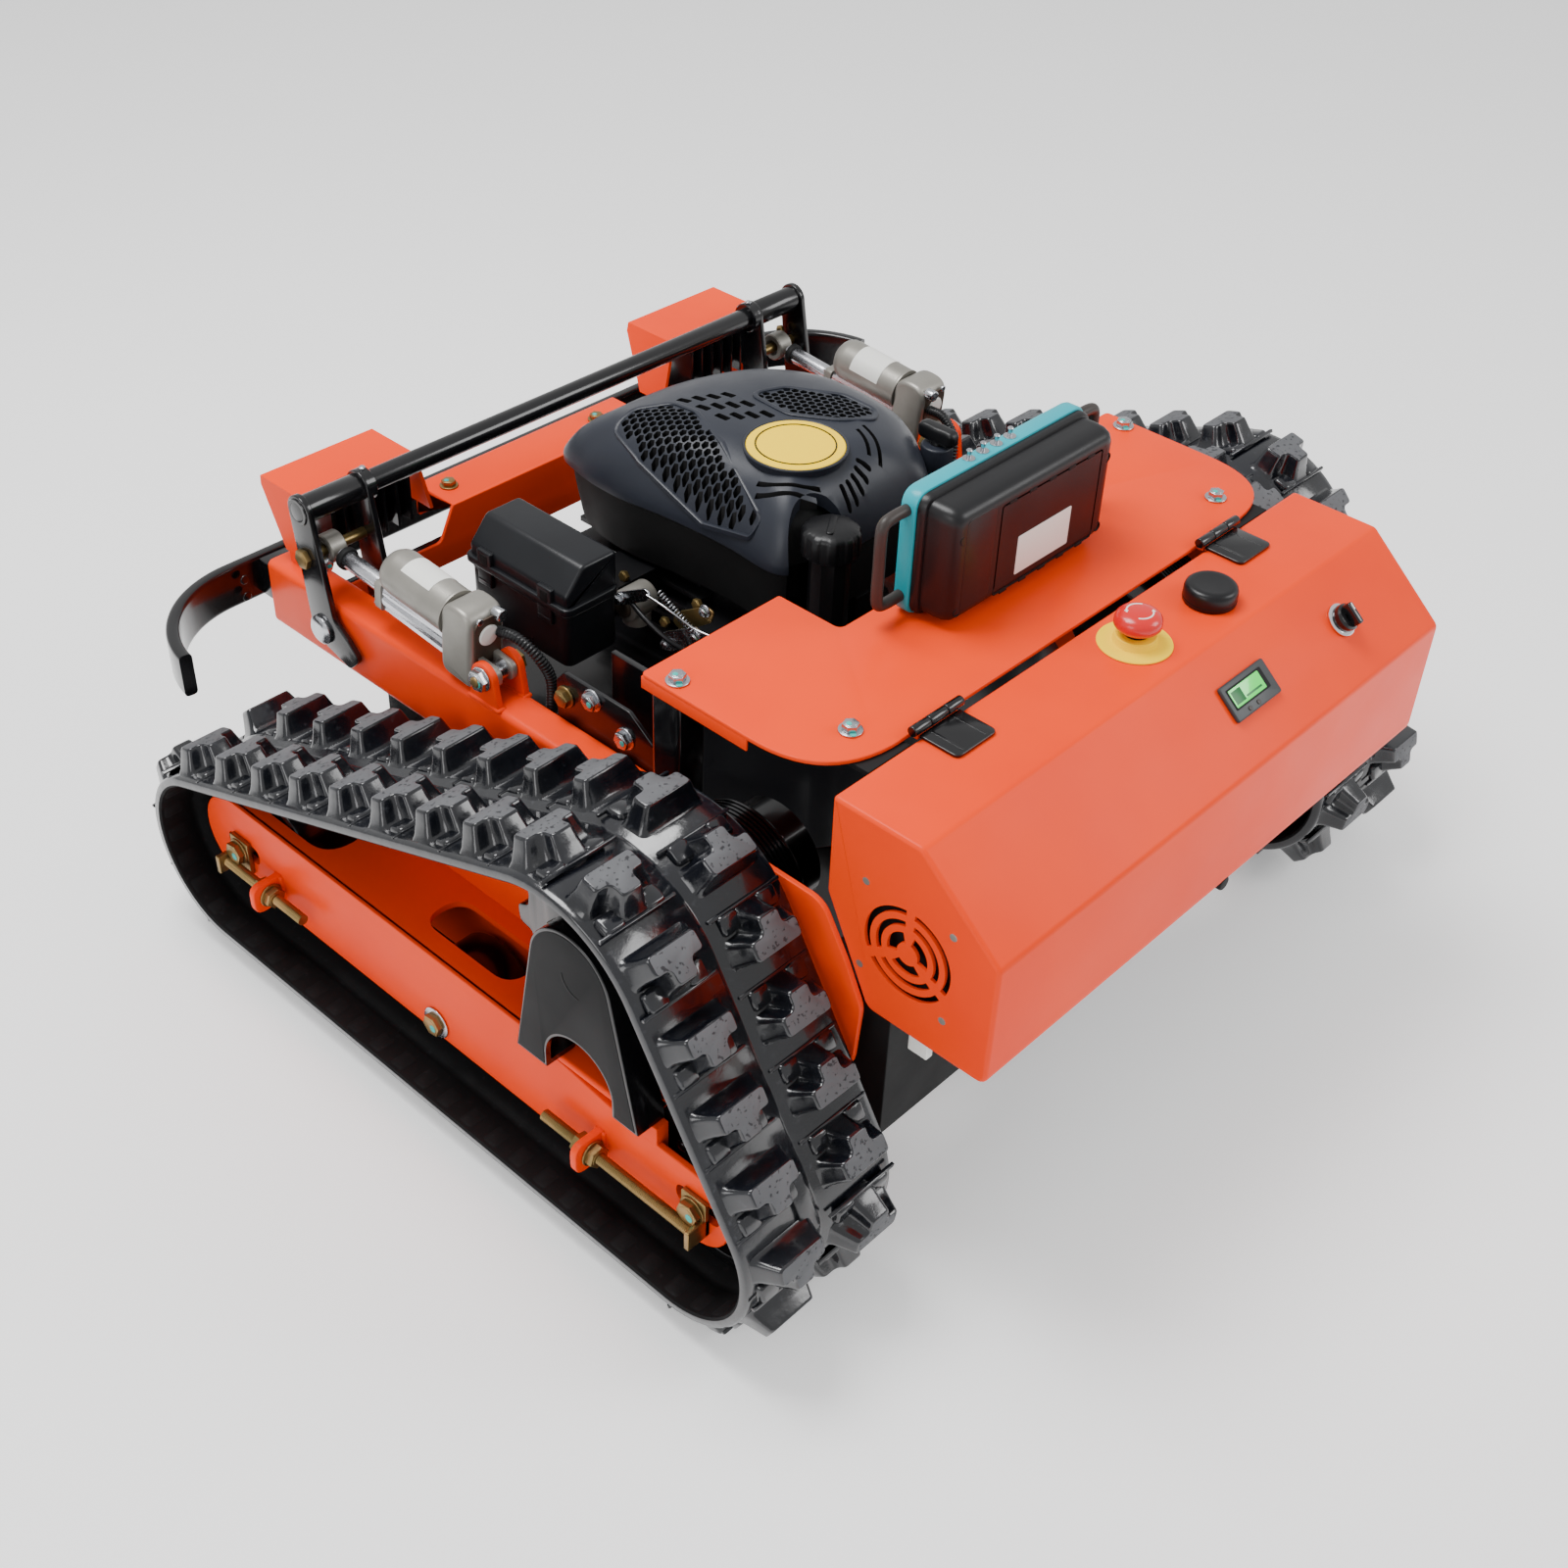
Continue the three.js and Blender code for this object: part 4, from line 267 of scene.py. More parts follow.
def make_finishes():
    """Every finish of the machine by a plain name."""
    made = {
        "orange": painted("orange_powder_coat", ink(242, 64, 3), ink(232, 56, 2), 0.38, 0.02),
        "black": painted("black_powder_coat", ink(10, 10, 12), ink(16, 16, 18), 0.22, 0.5),
        "guard": painted("grey_plate", ink(20, 21, 22), ink(25, 26, 27), 0.5, 0.0, 700, 0.00005),
        "rubber": rubber("belt_rubber", ink(10, 12, 17), ink(18, 20, 27), 0.2, 0.3),
        # Inside of the belt and its cogs: the belt's rubber made matte, and darker as painted shade for the
        # inside of the loop.
        "inner_rubber": rubber("belt_inner_rubber_painted_shade", ink(7, 7, 8), ink(12, 12, 14), 0.7, 0.1, 0.0),
        "lug_top": worn_tops("worn_lug_tops"),
        "plastic": moulded("black_plastic", ink(14, 14, 16), ink(22, 22, 24), 0.36),
        "cowl": moulded("blue_grey_plastic", ink(32, 35, 43), ink(41, 44, 53), 0.38, 1100, 0.00008),
        "filter": moulded("filter_plastic", ink(16, 17, 20), ink(24, 26, 30), 0.32),
        # Near-black finish: the colour of small black parts, and painted shade on the cowl's skirt and liner
        # and behind the vents.
        "deep": moulded("near_black_plastic_and_painted_shade", ink(4, 4, 5), ink(8, 8, 9), 0.7),
        "silver": metal("cast_metal", ink(150, 147, 140), ink(130, 127, 120), 0.4, depth=0.00006, share=0.5),
        "extrusion": metal("drawn_aluminium", ink(222, 223, 228), ink(196, 197, 203), 0.25, (9, 0.3, 9)),
        "steel": metal("bright_steel", ink(200, 202, 206), ink(168, 170, 175), 0.24),
        "brown_cast": metal("brown_cast_face", ink(88, 74, 62), ink(66, 56, 48), 0.5, depth=0.0001,
                            share=0.5),
        "zinc": metal("yellow_zinc", ink(158, 126, 80), ink(112, 102, 62), 0.36, share=0.85),
        "teal_mark": painted("teal_paint_mark", ink(58, 178, 168), ink(40, 150, 145), 0.4, 0.1),
        "teal": moulded("teal_plastic", ink(20, 168, 180), ink(14, 154, 168), 0.34),
        "yellow": moulded("yellow_plastic", ink(255, 214, 0), ink(252, 206, 0), 0.4, shine=0.08),
        "red": moulded("red_plastic", ink(214, 22, 24), ink(198, 14, 18), 0.24, coat=0.4),
        "white": moulded("white_print", ink(236, 234, 228), ink(226, 224, 218), 0.4),
        "label": moulded("blank_label", ink(232, 232, 226), ink(222, 222, 217), 0.38),
        "grey": moulded("dark_bezel", ink(45, 48, 50), ink(56, 59, 61), 0.38),
        "rail": moulded("brown_grey_rail", ink(62, 55, 52), ink(48, 43, 41), 0.42),
        "chrome": metal("plated_ring", ink(232, 233, 236), ink(214, 215, 219), 0.12),
        "cell": moulded("battery_case", ink(38, 50, 62), ink(48, 60, 72), 0.45),
    }
    screen = Finish("green_screen", 0.18, coat=0.5)
    screen.worn(screen.noise(40, 2), ink(60, 226, 84), ink(46, 210, 70))
    screen.set(Emission_Color=ink(40, 230, 70), Emission_Strength=0.35)
    made["screen"] = screen.material
    made["dim_screen"] = moulded("dim_screen", ink(10, 104, 44), ink(8, 92, 38), 0.3)
    return made


FINISH = make_finishes()


# Meshes

CREASE = 38.0


class Shape:
    """Closed surfaces gathered into one piece, each with its finish."""

    def __init__(self, name):
        self.name = name
        self.points = []
        self.faces = []
        self.marks = []
        self.finishes = []
        self.count = 0

    def mark(self, finish):
        """Place of a finish in the piece's list, where it is added when new."""
        if finish not in self.finishes:
            self.finishes.append(finish)
        return self.finishes.index(finish)

    def loft(self, rings, finish, around=True, closed=False):
        """Surface through rings, an array (rings, points, 3): each ring is joined to the next, and the
        first and last are filled, or joined to each other where the loft is closed."""
        rings = np.asarray(rings, float)
        rows, columns = rings.shape[:2]
        index = self.count + np.arange(rows * columns).reshape(rows, columns)
        if around:
            index = np.concatenate([index, index[:, :1]], axis=1)
        if closed:
            index = np.concatenate([index, index[:1]], axis=0)
        quads = corners_of_quads(index)
        self.faces += quads
        self.marks += [self.mark(finish)] * len(quads)
        if not closed:
            self.faces += [index[0, :columns][::-1].tolist(), index[-1, :columns].tolist()]
            self.marks += [self.mark(finish)] * 2
        self.points.append(rings.reshape(-1, 3))
        self.count += rows * columns

    def lofts(self, grids, finish, end_finish=None):
        """Many equal lofts at once, from an array (copies, rings, points, 3), whose last ends may have
        a finish of their own."""
        grids = np.asarray(grids, float)
        copies, rows, columns = grids.shape[:3]
        first = self.count + np.arange(copies)[:, None, None] * rows * columns
        index = first + np.arange(rows * columns).reshape(1, rows, columns)
        index = np.concatenate([index, index[:, :, :1]], axis=2)
        quads = corners_of_quads(index)
        tops = index[:, -1, :columns].tolist()
        bottoms = index[:, 0, :columns][:, ::-1].tolist()
        self.faces += quads + tops + bottoms
        self.marks += [self.mark(finish)] * len(quads) + [self.mark(end_finish or finish)] * copies
        self.marks += [self.mark(finish)] * copies
        self.points.append(grids.reshape(-1, 3))
        self.count += copies * rows * columns

    def lathe(self, centre, axis, profile, finish, sides=40, ring=False, start=0.0):
        """Profile rows (distance along the axis, radius) carried round the axis:
        point = centre + distance * axis + radius * (cos a * first + sin a * second)."""
        centre, axis = np.asarray(centre, float), unit(axis)
        first, second = across(axis)
        angle = start + np.arange(sides) * TAU / sides
        round_about = np.cos(angle)[:, None] * first + np.sin(angle)[:, None] * second
        profile = np.asarray(profile, float)
        rings = centre + profile[:, None, :1] * axis + profile[:, None, 1:] * round_about[None]
        self.loft(rings, finish, closed=ring)

    def rod(self, start, end, radius, finish, edge=1.0, sides=32, turn=0.0):
        """Round or many-sided bar from start to end with rounded rims."""
        start, end = np.asarray(start, float), np.asarray(end, float)
        length = float(np.linalg.norm(end - start))
        edge = min(edge, radius * 0.6, length * 0.4)
        drawn, heights = round_rims(0.0, length, edge, 3)
        self.lathe(start, end - start, np.stack([heights, radius - drawn], axis=1), finish, sides, start=turn)

    def slab(self, outline, axis, low, high, finish, edge=1.0, steps=3):
        """Plate with round rims: an outline carried from low to high along an axis."""
        outline = np.asarray(outline, float)
        drawn, heights = round_rims(min(low, high), max(low, high), edge, steps)
        rings = outline[None] - drawn[:, None, None] * outward(outline)[None]
        self.loft(on_axis(rings, axis, heights[:, None]), finish)

    def block(self, x, y, z, finish, edge=1.0, corner=None):
        """Box between pairs of x, y and z with rounded edges and corners."""
        corner = edge if corner is None else corner
        outline = rounded([(x[0], y[0]), (x[1], y[0]), (x[1], y[1]), (x[0], y[1])], corner, 3)
        self.slab(outline, "z", z[0], z[1], finish, edge)

    def tube(self, path, radius, finish, sides=16):
        """Circle carried along a path; its first direction is turned on from station to station."""
        path = np.asarray(path, float)
        tangent = np.gradient(path, axis=0)
        tangent /= np.linalg.norm(tangent, axis=1)[:, None]
        firsts = [across(tangent[0])[0]]
        for t in tangent[1:]:
            firsts.append(unit(firsts[-1] - np.dot(firsts[-1], t) * t))
        first = np.array(firsts)
        second = np.cross(tangent, first)
        angle = np.arange(sides) * TAU / sides
        radius = np.broadcast_to(np.asarray(radius, float), (len(path),))
        turned = np.cos(angle)[None, :, None] * first[:, None]
        turned = turned + np.sin(angle)[None, :, None] * second[:, None]
        self.loft(path[:, None] + radius[:, None, None] * turned, finish)

    def bolt(self, face, axis, radius, height, finish, washer=0.0, mark=True, turn=0.2):
        """Six-sided head on its washer, with a round chamfer and a dab of marking paint."""
        face, axis = np.asarray(face, float), unit(axis)
        if washer:
            self.rod(face, face + axis * 1.8, washer, finish, 0.6, 28)
        base = face + axis * (1.6 if washer else 0)
        self.rod(base, base + axis * height, radius, finish, 0.9, 6, turn)
        self.rod(base + axis * (height - 0.8), base + axis * (height + 0.4), radius * 0.72, finish, 0.4, 24)
        if mark:
            spot = base + axis * height + across(axis)[0] * radius * 0.35
            self.rod(spot, spot + axis * 0.75, radius * 0.34, "teal_mark", 0.4, 10)

    def plain(self, sharp=CREASE):
        """The piece as an object, in metres, which rides on nothing yet."""
        mesh = bpy.data.meshes.new(self.name)
        mesh.from_pydata((np.concatenate(self.points) * MM).tolist(), [], self.faces)
        for finish in self.finishes:
            mesh.materials.append(FINISH[finish])
        mesh.polygons.foreach_set("material_index", self.marks)
        work = bmesh.new()
        work.from_mesh(mesh)
        bmesh.ops.recalc_face_normals(work, faces=work.faces)
        work.to_mesh(mesh)
        work.free()
        piece = bpy.data.objects.new(self.name, mesh)
        bpy.context.scene.collection.objects.link(piece)
        smooth(mesh, sharp)
        return piece

    def done(self, body, slot_name, *nodes, sharp=CREASE):
        """The finished piece, riding on its body in place of its CAD nodes."""
        piece = self.plain(sharp)
        settle(piece, body, nodes)
        return piece


def corners_of_quads(index):
    """The four point numbers of each face between the rows and columns of a grid, or of many grids."""
    near, far = index[..., :-1, :], index[..., 1:, :]
    quads = np.stack([near[..., :-1], near[..., 1:], far[..., 1:], far[..., :-1]], axis=-1)
    return quads.reshape(-1, 4).tolist()


def smooth(mesh, angle):
    """Smooth shading with a crease where faces meet at more than an angle in degrees."""
    mesh.shade_smooth()
    mesh.set_sharp_from_angle(angle=math.radians(angle))


def settle(piece, body, nodes):
    """Puts a piece on its body and in the place of its nodes."""
    if nodes:
        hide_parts(*nodes)
    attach(piece, body)


def unit(vector):
    """A vector's direction, one long."""
    vector = np.asarray(vector, float)
    return vector / np.linalg.norm(vector)


def across(axis):
    """Two unit directions square to an axis and to each other."""
    axis = unit(axis)
    other = np.array([0.0, 0.0, 1.0]) if abs(axis[2]) < 0.9 else np.array([0.0, 1.0, 0.0])
    first = unit(np.cross(other, axis))
    return first, np.cross(axis, first)


def outward(outline):
    """For each corner of a closed outline, the step that moves both its edges out by one."""
    before = np.roll(outline, 1, axis=0)
    after = np.roll(outline, -1, axis=0)
    x, y = outline[:, 0], outline[:, 1]
    turn = np.sign(np.sum(x * np.roll(y, -1) - np.roll(x, -1) * y))
    first = outline - before
    second = after - outline
    first /= np.maximum(np.linalg.norm(first, axis=1), 1e-9)[:, None]
    second /= np.maximum(np.linalg.norm(second, axis=1), 1e-9)[:, None]
    one = turn * np.stack([first[:, 1], -first[:, 0]], axis=1)
    two = turn * np.stack([second[:, 1], -second[:, 0]], axis=1)
    total = one + two
    return total / np.maximum(np.sum(total * one, axis=1), 0.35)[:, None]


def round_rims(low, high, edge, steps):
    """How far each ring of a body is drawn in, and its height, from low to high: at both ends by
    edge * (1 - cos a) while it sinks by edge * (1 - sin a), so that the rims are round."""
    edge = min(edge, (high - low) * 0.45)
    bend = np.linspace(0, math.pi / 2, steps + 1)
    drawn = edge * (1 - np.cos(bend))
    sink = edge * (1 - np.sin(bend))
    return np.concatenate([drawn[::-1], drawn]), np.concatenate([(low + sink)[::-1], high - sink])


def on_axis(flat, axis, height):
    """Flat coordinates and a height made into points: x takes (y, z), y takes (x, z), z takes (x, y)."""
    first, second = flat[..., 0], flat[..., 1]
    height = np.broadcast_to(height, first.shape)
    order = {"x": (height, first, second), "y": (first, height, second), "z": (first, second, height)}
    return np.stack(order[axis], axis=-1)


def rounded(corners, radius, steps=5):
    """Closed outline whose corners are curves (1-s)^2 a + 2s(1-s) corner + s^2 b, where a and b lie
    back along the two edges by the length that an arc of that radius needs."""
    corners = np.asarray(corners, float)
    radius = np.broadcast_to(np.asarray(radius, float), (len(corners),))
    back = np.roll(corners, 1, axis=0) - corners
    ahead = np.roll(corners, -1, axis=0) - corners
    back_length = np.linalg.norm(back, axis=1)
    ahead_length = np.linalg.norm(ahead, axis=1)
    back = back / back_length[:, None]
    ahead = ahead / ahead_length[:, None]
    half = np.arccos(np.clip(np.sum(back * ahead, axis=1), -1, 1)) / 2
    reach = np.minimum(radius / np.tan(np.maximum(half, 0.05)), np.minimum(back_length, ahead_length) * 0.49)
    a = corners + back * reach[:, None]
    b = corners + ahead * reach[:, None]
    s = np.linspace(0, 1, steps + 1)[None, :, None]
    curve = (1 - s) ** 2 * a[:, None] + 2 * s * (1 - s) * corners[:, None] + s ** 2 * b[:, None]
    return curve.reshape(-1, 2)


def circle(centre, radius, sides=40, start=0.0, end=TAU):
    """Points round a centre; an open arc keeps both of its ends."""
    angle = np.linspace(start, end, sides, endpoint=end - start < TAU - 1e-6)
    return np.stack([centre[0] + radius * np.cos(angle), centre[1] + radius * np.sin(angle)], axis=1)


def rectangle(x0, x1, y0, y1):
    """Corners of a rectangle, all round."""
    return [(x0, y0), (x1, y0), (x1, y1), (x0, y1)]


def catmull_rom(p, steps):
    """Smooth curve from the second point to the last but one, where it stops short, by
    (2b + (c - a) t + (2a - 5b + 4c - d) t^2 + (3b - a - 3c + d) t^3) / 2."""
    t = np.linspace(0, 1, steps, endpoint=False)[None, :, None]
    a, b, c, d = p[:-3, None], p[1:-2, None], p[2:-1, None], p[3:, None]
    square, cube = 2 * a - 5 * b + 4 * c - d, 3 * b - a - 3 * c + d
    curve = 0.5 * (2 * b + (c - a) * t + square * t ** 2 + cube * t ** 3)
    return curve.reshape(-1, p.shape[1])


def flowing(points, steps=8):
    """Smooth open path through points, with both of its ends."""
    p = np.asarray(points, float)
    p = np.concatenate([2 * p[:1] - p[1:2], p, 2 * p[-1:] - p[-2:-1]])
    return np.concatenate([catmull_rom(p, steps), p[-2:-1]])


def pierce(piece, cutter, sharp=CREASE):
    """Takes a closed shape out of a piece."""
    modifier = piece.modifiers.new("openings", "BOOLEAN")
    modifier.operation = "DIFFERENCE"
    modifier.solver = "MANIFOLD"
    modifier.object = cutter
    bpy.context.view_layer.update()
    graph = bpy.context.evaluated_depsgraph_get()
    mesh = bpy.data.meshes.new_from_object(piece.evaluated_get(graph))
    piece.modifiers.clear()
    old = piece.data
    piece.data = mesh
    bpy.data.meshes.remove(old)
    bpy.data.objects.remove(cutter)
    smooth(mesh, sharp)


def soften(node, body, finish, width, segments=2):
    """Copy of a CAD node with its facets merged into flat faces and its edges rounded."""
    piece = bpy.data.objects.new(node + "_shell", frame["nodes"][node].data.copy())
    bpy.context.scene.collection.objects.link(piece)
    work = bmesh.new()
    work.from_mesh(piece.data)
    bmesh.ops.remove_doubles(work, verts=work.verts, dist=1e-6)
    bmesh.ops.dissolve_limit(work, angle_limit=math.radians(1.0), verts=work.verts, edges=work.edges)
    work.to_mesh(piece.data)
    work.free()
    piece.data.materials.clear()
    piece.data.materials.append(FINISH[finish])
    bevel = piece.modifiers.new("rounded", "BEVEL")
    bevel.width = width * MM
    bevel.segments = segments
    bevel.limit_method = "ANGLE"
    bevel.angle_limit = math.radians(30)
    smooth(piece.data, 40)
    settle(piece, body, [node])


# Tracks: belt, wheels, frame, drive

TRACK = {"outer": 470.0, "inner": 312.0, "lugs": 30}
LUG = {"length": 60.0, "bar": 21.0, "stem": 25.0, "reach": 18.0, "edge": 8.0}
# Y and Z of each wheel's axle, and the radius there: out to the belt's skin, or the roller's own
WHEELS = {"front": (-296.0, 109.0, 87.0), "rear": (280.0, 107.0, 85.0), "drive": (158.0, 260.0, 108.0)}
ROLLER = (-28.0, 80.5, 48.0)
WHEEL_X = 391.5
DRIVE_AXLE = WHEELS["drive"][:2]
ROLLER_AXLE = ROLLER[:2]
SKIN_TO_RIM = 10.5
# The track frame's channel: its outer and inner face across the machine, its sheet and its top
FRAME = {"outer": 435.0, "inner": 348.0, "sheet": 6.0, "top": 156.0}
# Y and Z of the lug that each tensioner's rod goes through, and the rod's way along Y
TENSIONERS = {"front": (-248.0, 96.0, 1), "rear": (170.0, 94.0, -1)}


def loop_runs():
    """The belt's outer path as runs of (kind, data, length): an arc on each wheel and a straight tangent
    to the next wheel, which touches both circles on their outer side."""
    wheels = [np.array(WHEELS[key]) for key in ("front", "rear", "drive")]
    leave = []
    for here, there in zip(wheels, wheels[1:] + wheels[:1]):
        dy, dz = there[:2] - here[:2]
        lean = math.acos((here[2] - there[2]) / math.hypot(dy, dz))
        leave.append(math.atan2(dz, dy) - lean)
    runs = []
    for k, wheel in enumerate(wheels):
        start, end = leave[k - 1], leave[k]
        while end < start:
            end += TAU
        there = wheels[(k + 1) % 3]
        out = np.array([math.cos(end), math.sin(end)])
        p = wheel[:2] + wheel[2] * out
        q = there[:2] + there[2] * out
        runs.append(("arc", (wheel, start), wheel[2] * (end - start)))
        runs.append(("line", (p, q, end), float(np.linalg.norm(q - p))))
    return runs


RUNS = loop_runs()
LOOP = sum(run[2] for run in RUNS)
PITCH = LOOP / TRACK["lugs"]


def on_loop(way):
    """Place and outward angle at distances along the belt: centre + r (cos a, sin a) on a wheel,
    p + share (q - p) between wheels."""
    way = np.mod(np.asarray(way, float), LOOP)
    place = np.zeros((len(way), 2))
    angle = np.zeros(len(way))
    done = 0.0
    for kind, data, length in RUNS:
        here = (way >= done) & (way <= done + length)
        part = way[here] - done
        if kind == "arc":
            wheel, start = data
            a = start + part / wheel[2]
            place[here] = wheel[:2] + wheel[2] * np.stack([np.cos(a), np.sin(a)], axis=1)
            angle[here] = a
        else:
            p, q, a = data
            place[here] = p + (part / length)[:, None] * (q - p)
            angle[here] = a
        done += length
    return place, angle


def stand_on_loop(flat, height, way, x, side):
    """Copies of rings standing on the belt: a point (u across, v along, h out) goes to
    place + v * travel + h * outward, and x + u across the machine."""
    place, angle = on_loop(way)
    out = np.stack([np.cos(angle), np.sin(angle)], axis=1)
    along = np.stack([-np.sin(angle), np.cos(angle)], axis=1)
    u, v = flat[..., 0], flat[..., 1]
    yz = place[:, None, None] + v[None, ..., None] * along[:, None, None]
    yz = yz + height[None, ..., None] * out[:, None, None]
    xs = np.broadcast_to(side * (x + u)[None], yz.shape[:3])
    return np.concatenate([xs[..., None], yz], axis=-1)


def lug_rings(sign):
    """Rings of one T-shaped lug from its wide moulded foot to its ground top: the outline times a share,
    moved out by a swell at the foot and in by it at the top."""
    half, stem, bar = LUG["length"] / 2, LUG["stem"] / 2, LUG["bar"] / 2
    corners = np.array([(-half, -bar), (half, -bar), (half, bar), (stem, bar), (stem, bar + LUG["reach"]),
                        (-stem, bar + LUG["reach"]), (-stem, bar), (-half, bar)])
    soft = [5, 5, 5, 8, 5, 5, 8, 5]
    stages = np.array([[-5.0, 1.02, 0.0], [-0.6, 1.0, 2.6], [0.5, 1.0, 1.5], [3.5, 0.965, 0.3],
                       [12.0, 0.86, 0.0], [19.3, 0.775, 0.0], [21.1, 0.75, 0.15], [21.7, 0.72, 0.4]])
    rings = []
    base = rounded(corners, soft, 4)
    for height, share, swell in stages:
        rings.append(base * share + swell * outward(base) * (1 if height < 15 else -1))
    rings = np.array(rings)
    rings[..., 1] *= sign
    return rings, np.broadcast_to(stages[:, 0][:, None], rings.shape[:2])


def raised(outline, stages):
    """Rings and heights of a low boss: its outline times a share, from rows (height, share)."""
    stages = np.array(stages)
    rings = outline[None] * stages[:, 1:, None]
    return rings, np.broadcast_to(stages[:, :1], rings.shape[:2])


def belt_skin(shape, side):
    """Skin and lining of the belt: two sections of points (x, out), carried round the wheels."""
    place, angle = on_loop(np.arange(360) * LOOP / 360)
    out = np.stack([np.cos(angle), np.sin(angle)], axis=1)
    low, high = TRACK["inner"], TRACK["outer"]
    skin = np.array([(low, -7.5), (low, -2.0), (low + 1.5, -0.3), (low + 6, 0), (384.5, 0), (387, -2.6),
                     (391, -2.6), (393.5, 0), (high - 6, 0), (high - 1.5, -0.3), (high, -2.0), (high, -7.5)])
    under = np.array([(high - 1.5, -9.5), (high - 30, -9.5), (high - 32, -8), (high - 38, -8),
                      (high - 40, -9.5), (low + 40, -9.5), (low + 38, -8), (low + 32, -8), (low + 30, -9.5),
                      (low + 1.5, -9.5)])
    under = np.concatenate([skin[-1:], under, skin[:1]])
    for section, finish in ((skin, "rubber"), (under, "inner_rubber")):
        yz = place[:, None] + section[None, :, 1:] * out[:, None]
        x = np.broadcast_to(side * section[None, :, :1], (*yz.shape[:2], 1))
        shape.loft(np.concatenate([x, yz], axis=-1), finish, around=False, closed=True)


def belt_lugs(shape, side):
    """Two rows of lugs, half a pitch out of step, with two raised pads and a seam beside each lug."""
    inset = LUG["edge"] + LUG["length"] / 2
    pad = rounded(rectangle(-8, 8, -7, 7), 3, 3)
    stages = np.array([[-2.0, 2.0], [0.2, 1.6], [2.4, 0.4], [3.2, -0.8]])
    pads = pad[None] + stages[:, None, 1:] * outward(pad)[None]
    pad_heights = np.broadcast_to(stages[:, :1], pads.shape[:2])
    line = rounded(rectangle(-36, 36, -1.4, 1.4), 1, 2)
    seam, seam_heights = raised(line, [(-2.0, 1), (0.7, 1), (1.1, 0.96)])
    for x, offset, stem in ((TRACK["outer"] - inset, 0.0, 1), (TRACK["inner"] + inset, 0.5, -1)):
        ways = (np.arange(TRACK["lugs"]) + offset) * PITCH
        rings, heights = lug_rings(-stem)
        shape.lofts(stand_on_loop(rings, heights, ways, x, side), "rubber", "lug_top")
        for u in (-19.0, 19.0):
            beside = pads + (u, -stem * (LUG["bar"] / 2 + 12.5))
            shape.lofts(stand_on_loop(beside, pad_heights, ways, x, side), "rubber")
        shape.lofts(stand_on_loop(seam + (0, -stem * 31), seam_heights, ways, x, side), "rubber")


def belt_plate(shape, side):
    """One flat moulded plate between the lugs."""
    plate = rounded(rectangle(-8, 8, -24, 24), 3, 3)
    rings, heights = raised(plate, [(-4.0, 1), (1.0, 1), (1.6, 0.95)])
    middle = (TRACK["outer"] + TRACK["inner"]) / 2 + 12
    shape.lofts(stand_on_loop(rings, heights, np.array([LOOP * 0.545]), middle, side), "rubber")


def belt_cogs(shape, side):
    """Two rows of cogs inside the belt, two to a pitch."""
    cog = rounded(rectangle(-9, 9, -7, 7), 3, 3)
    rings, heights = raised(cog, [(-8.5, 1.12), (-9.6, 1.08), (-10.2, 0.9)])
    ways = np.arange(TRACK["lugs"] * 2) * PITCH / 2
    for x in (TRACK["outer"] - 14, TRACK["inner"] + 14):
        shape.lofts(stand_on_loop(rings, heights, ways, x, side), "inner_rubber")


def track_belt(word, side):
    """Belt: a closed skin round the wheels, with lugs outside and cogs inside."""
    shape = Shape("belt_" + word)
    belt_skin(shape, side)
    belt_lugs(shape, side)
    belt_plate(shape, side)
    belt_cogs(shape, side)
    shape.done("chassis", "rubber", "track_belt_" + word, sharp=50)


def wheel_profile(r, half, hub_half):
    """Wheel section: bore, hub face, sunk web and rounded rim, as (distance, radius) rows."""
    right = [(hub_half, 9.0), (hub_half, 20), (hub_half - 1, 24), (half + 1.5, 26), (half - 9, 29),
             (half - 10, r - 17), (half - 8, r - 14), (half - 1, r - 12), (half, r - 10), (half, r - 3),
             (half - 0.8, r - 0.9), (half - 3, r)]
    return np.array(right + [(-a, b) for a, b in reversed(right)])


def track_wheels(word, side):
    """Idlers and roller: a dished wheel round its hub, an idler's web with five bolt heads."""
    (front_y, front_z, front_r), (rear_y, rear_z, rear_r) = WHEELS["front"], WHEELS["rear"]
    spots = (("front_idler", "front_idler_", front_y, front_z, front_r - SKIN_TO_RIM),
             ("rear_idler", "rear_idler_", rear_y, rear_z, rear_r - SKIN_TO_RIM),
             ("track_roller", "roller_", *ROLLER))
    for name, body, y, z, r in spots:
        shape = Shape(name + "_shell_" + word)
        shape.lathe((side * WHEEL_X, y, z), (side, 0, 0), wheel_profile(r, 27, 37.2), "black", 72, ring=True)
        spread = 29 + (r - 46) * 0.5
        for k in range(5 if name != "track_roller" else 0):
            a = TAU * k / 5 + 0.3
            at = (side * (WHEEL_X + 16.5), y + spread * math.cos(a), z + spread * math.sin(a))
            shape.bolt(at, (side, 0, 0), 6, 4, "steel", mark=False)
        shape.done(body + word, "black", f"{name}_{word}")


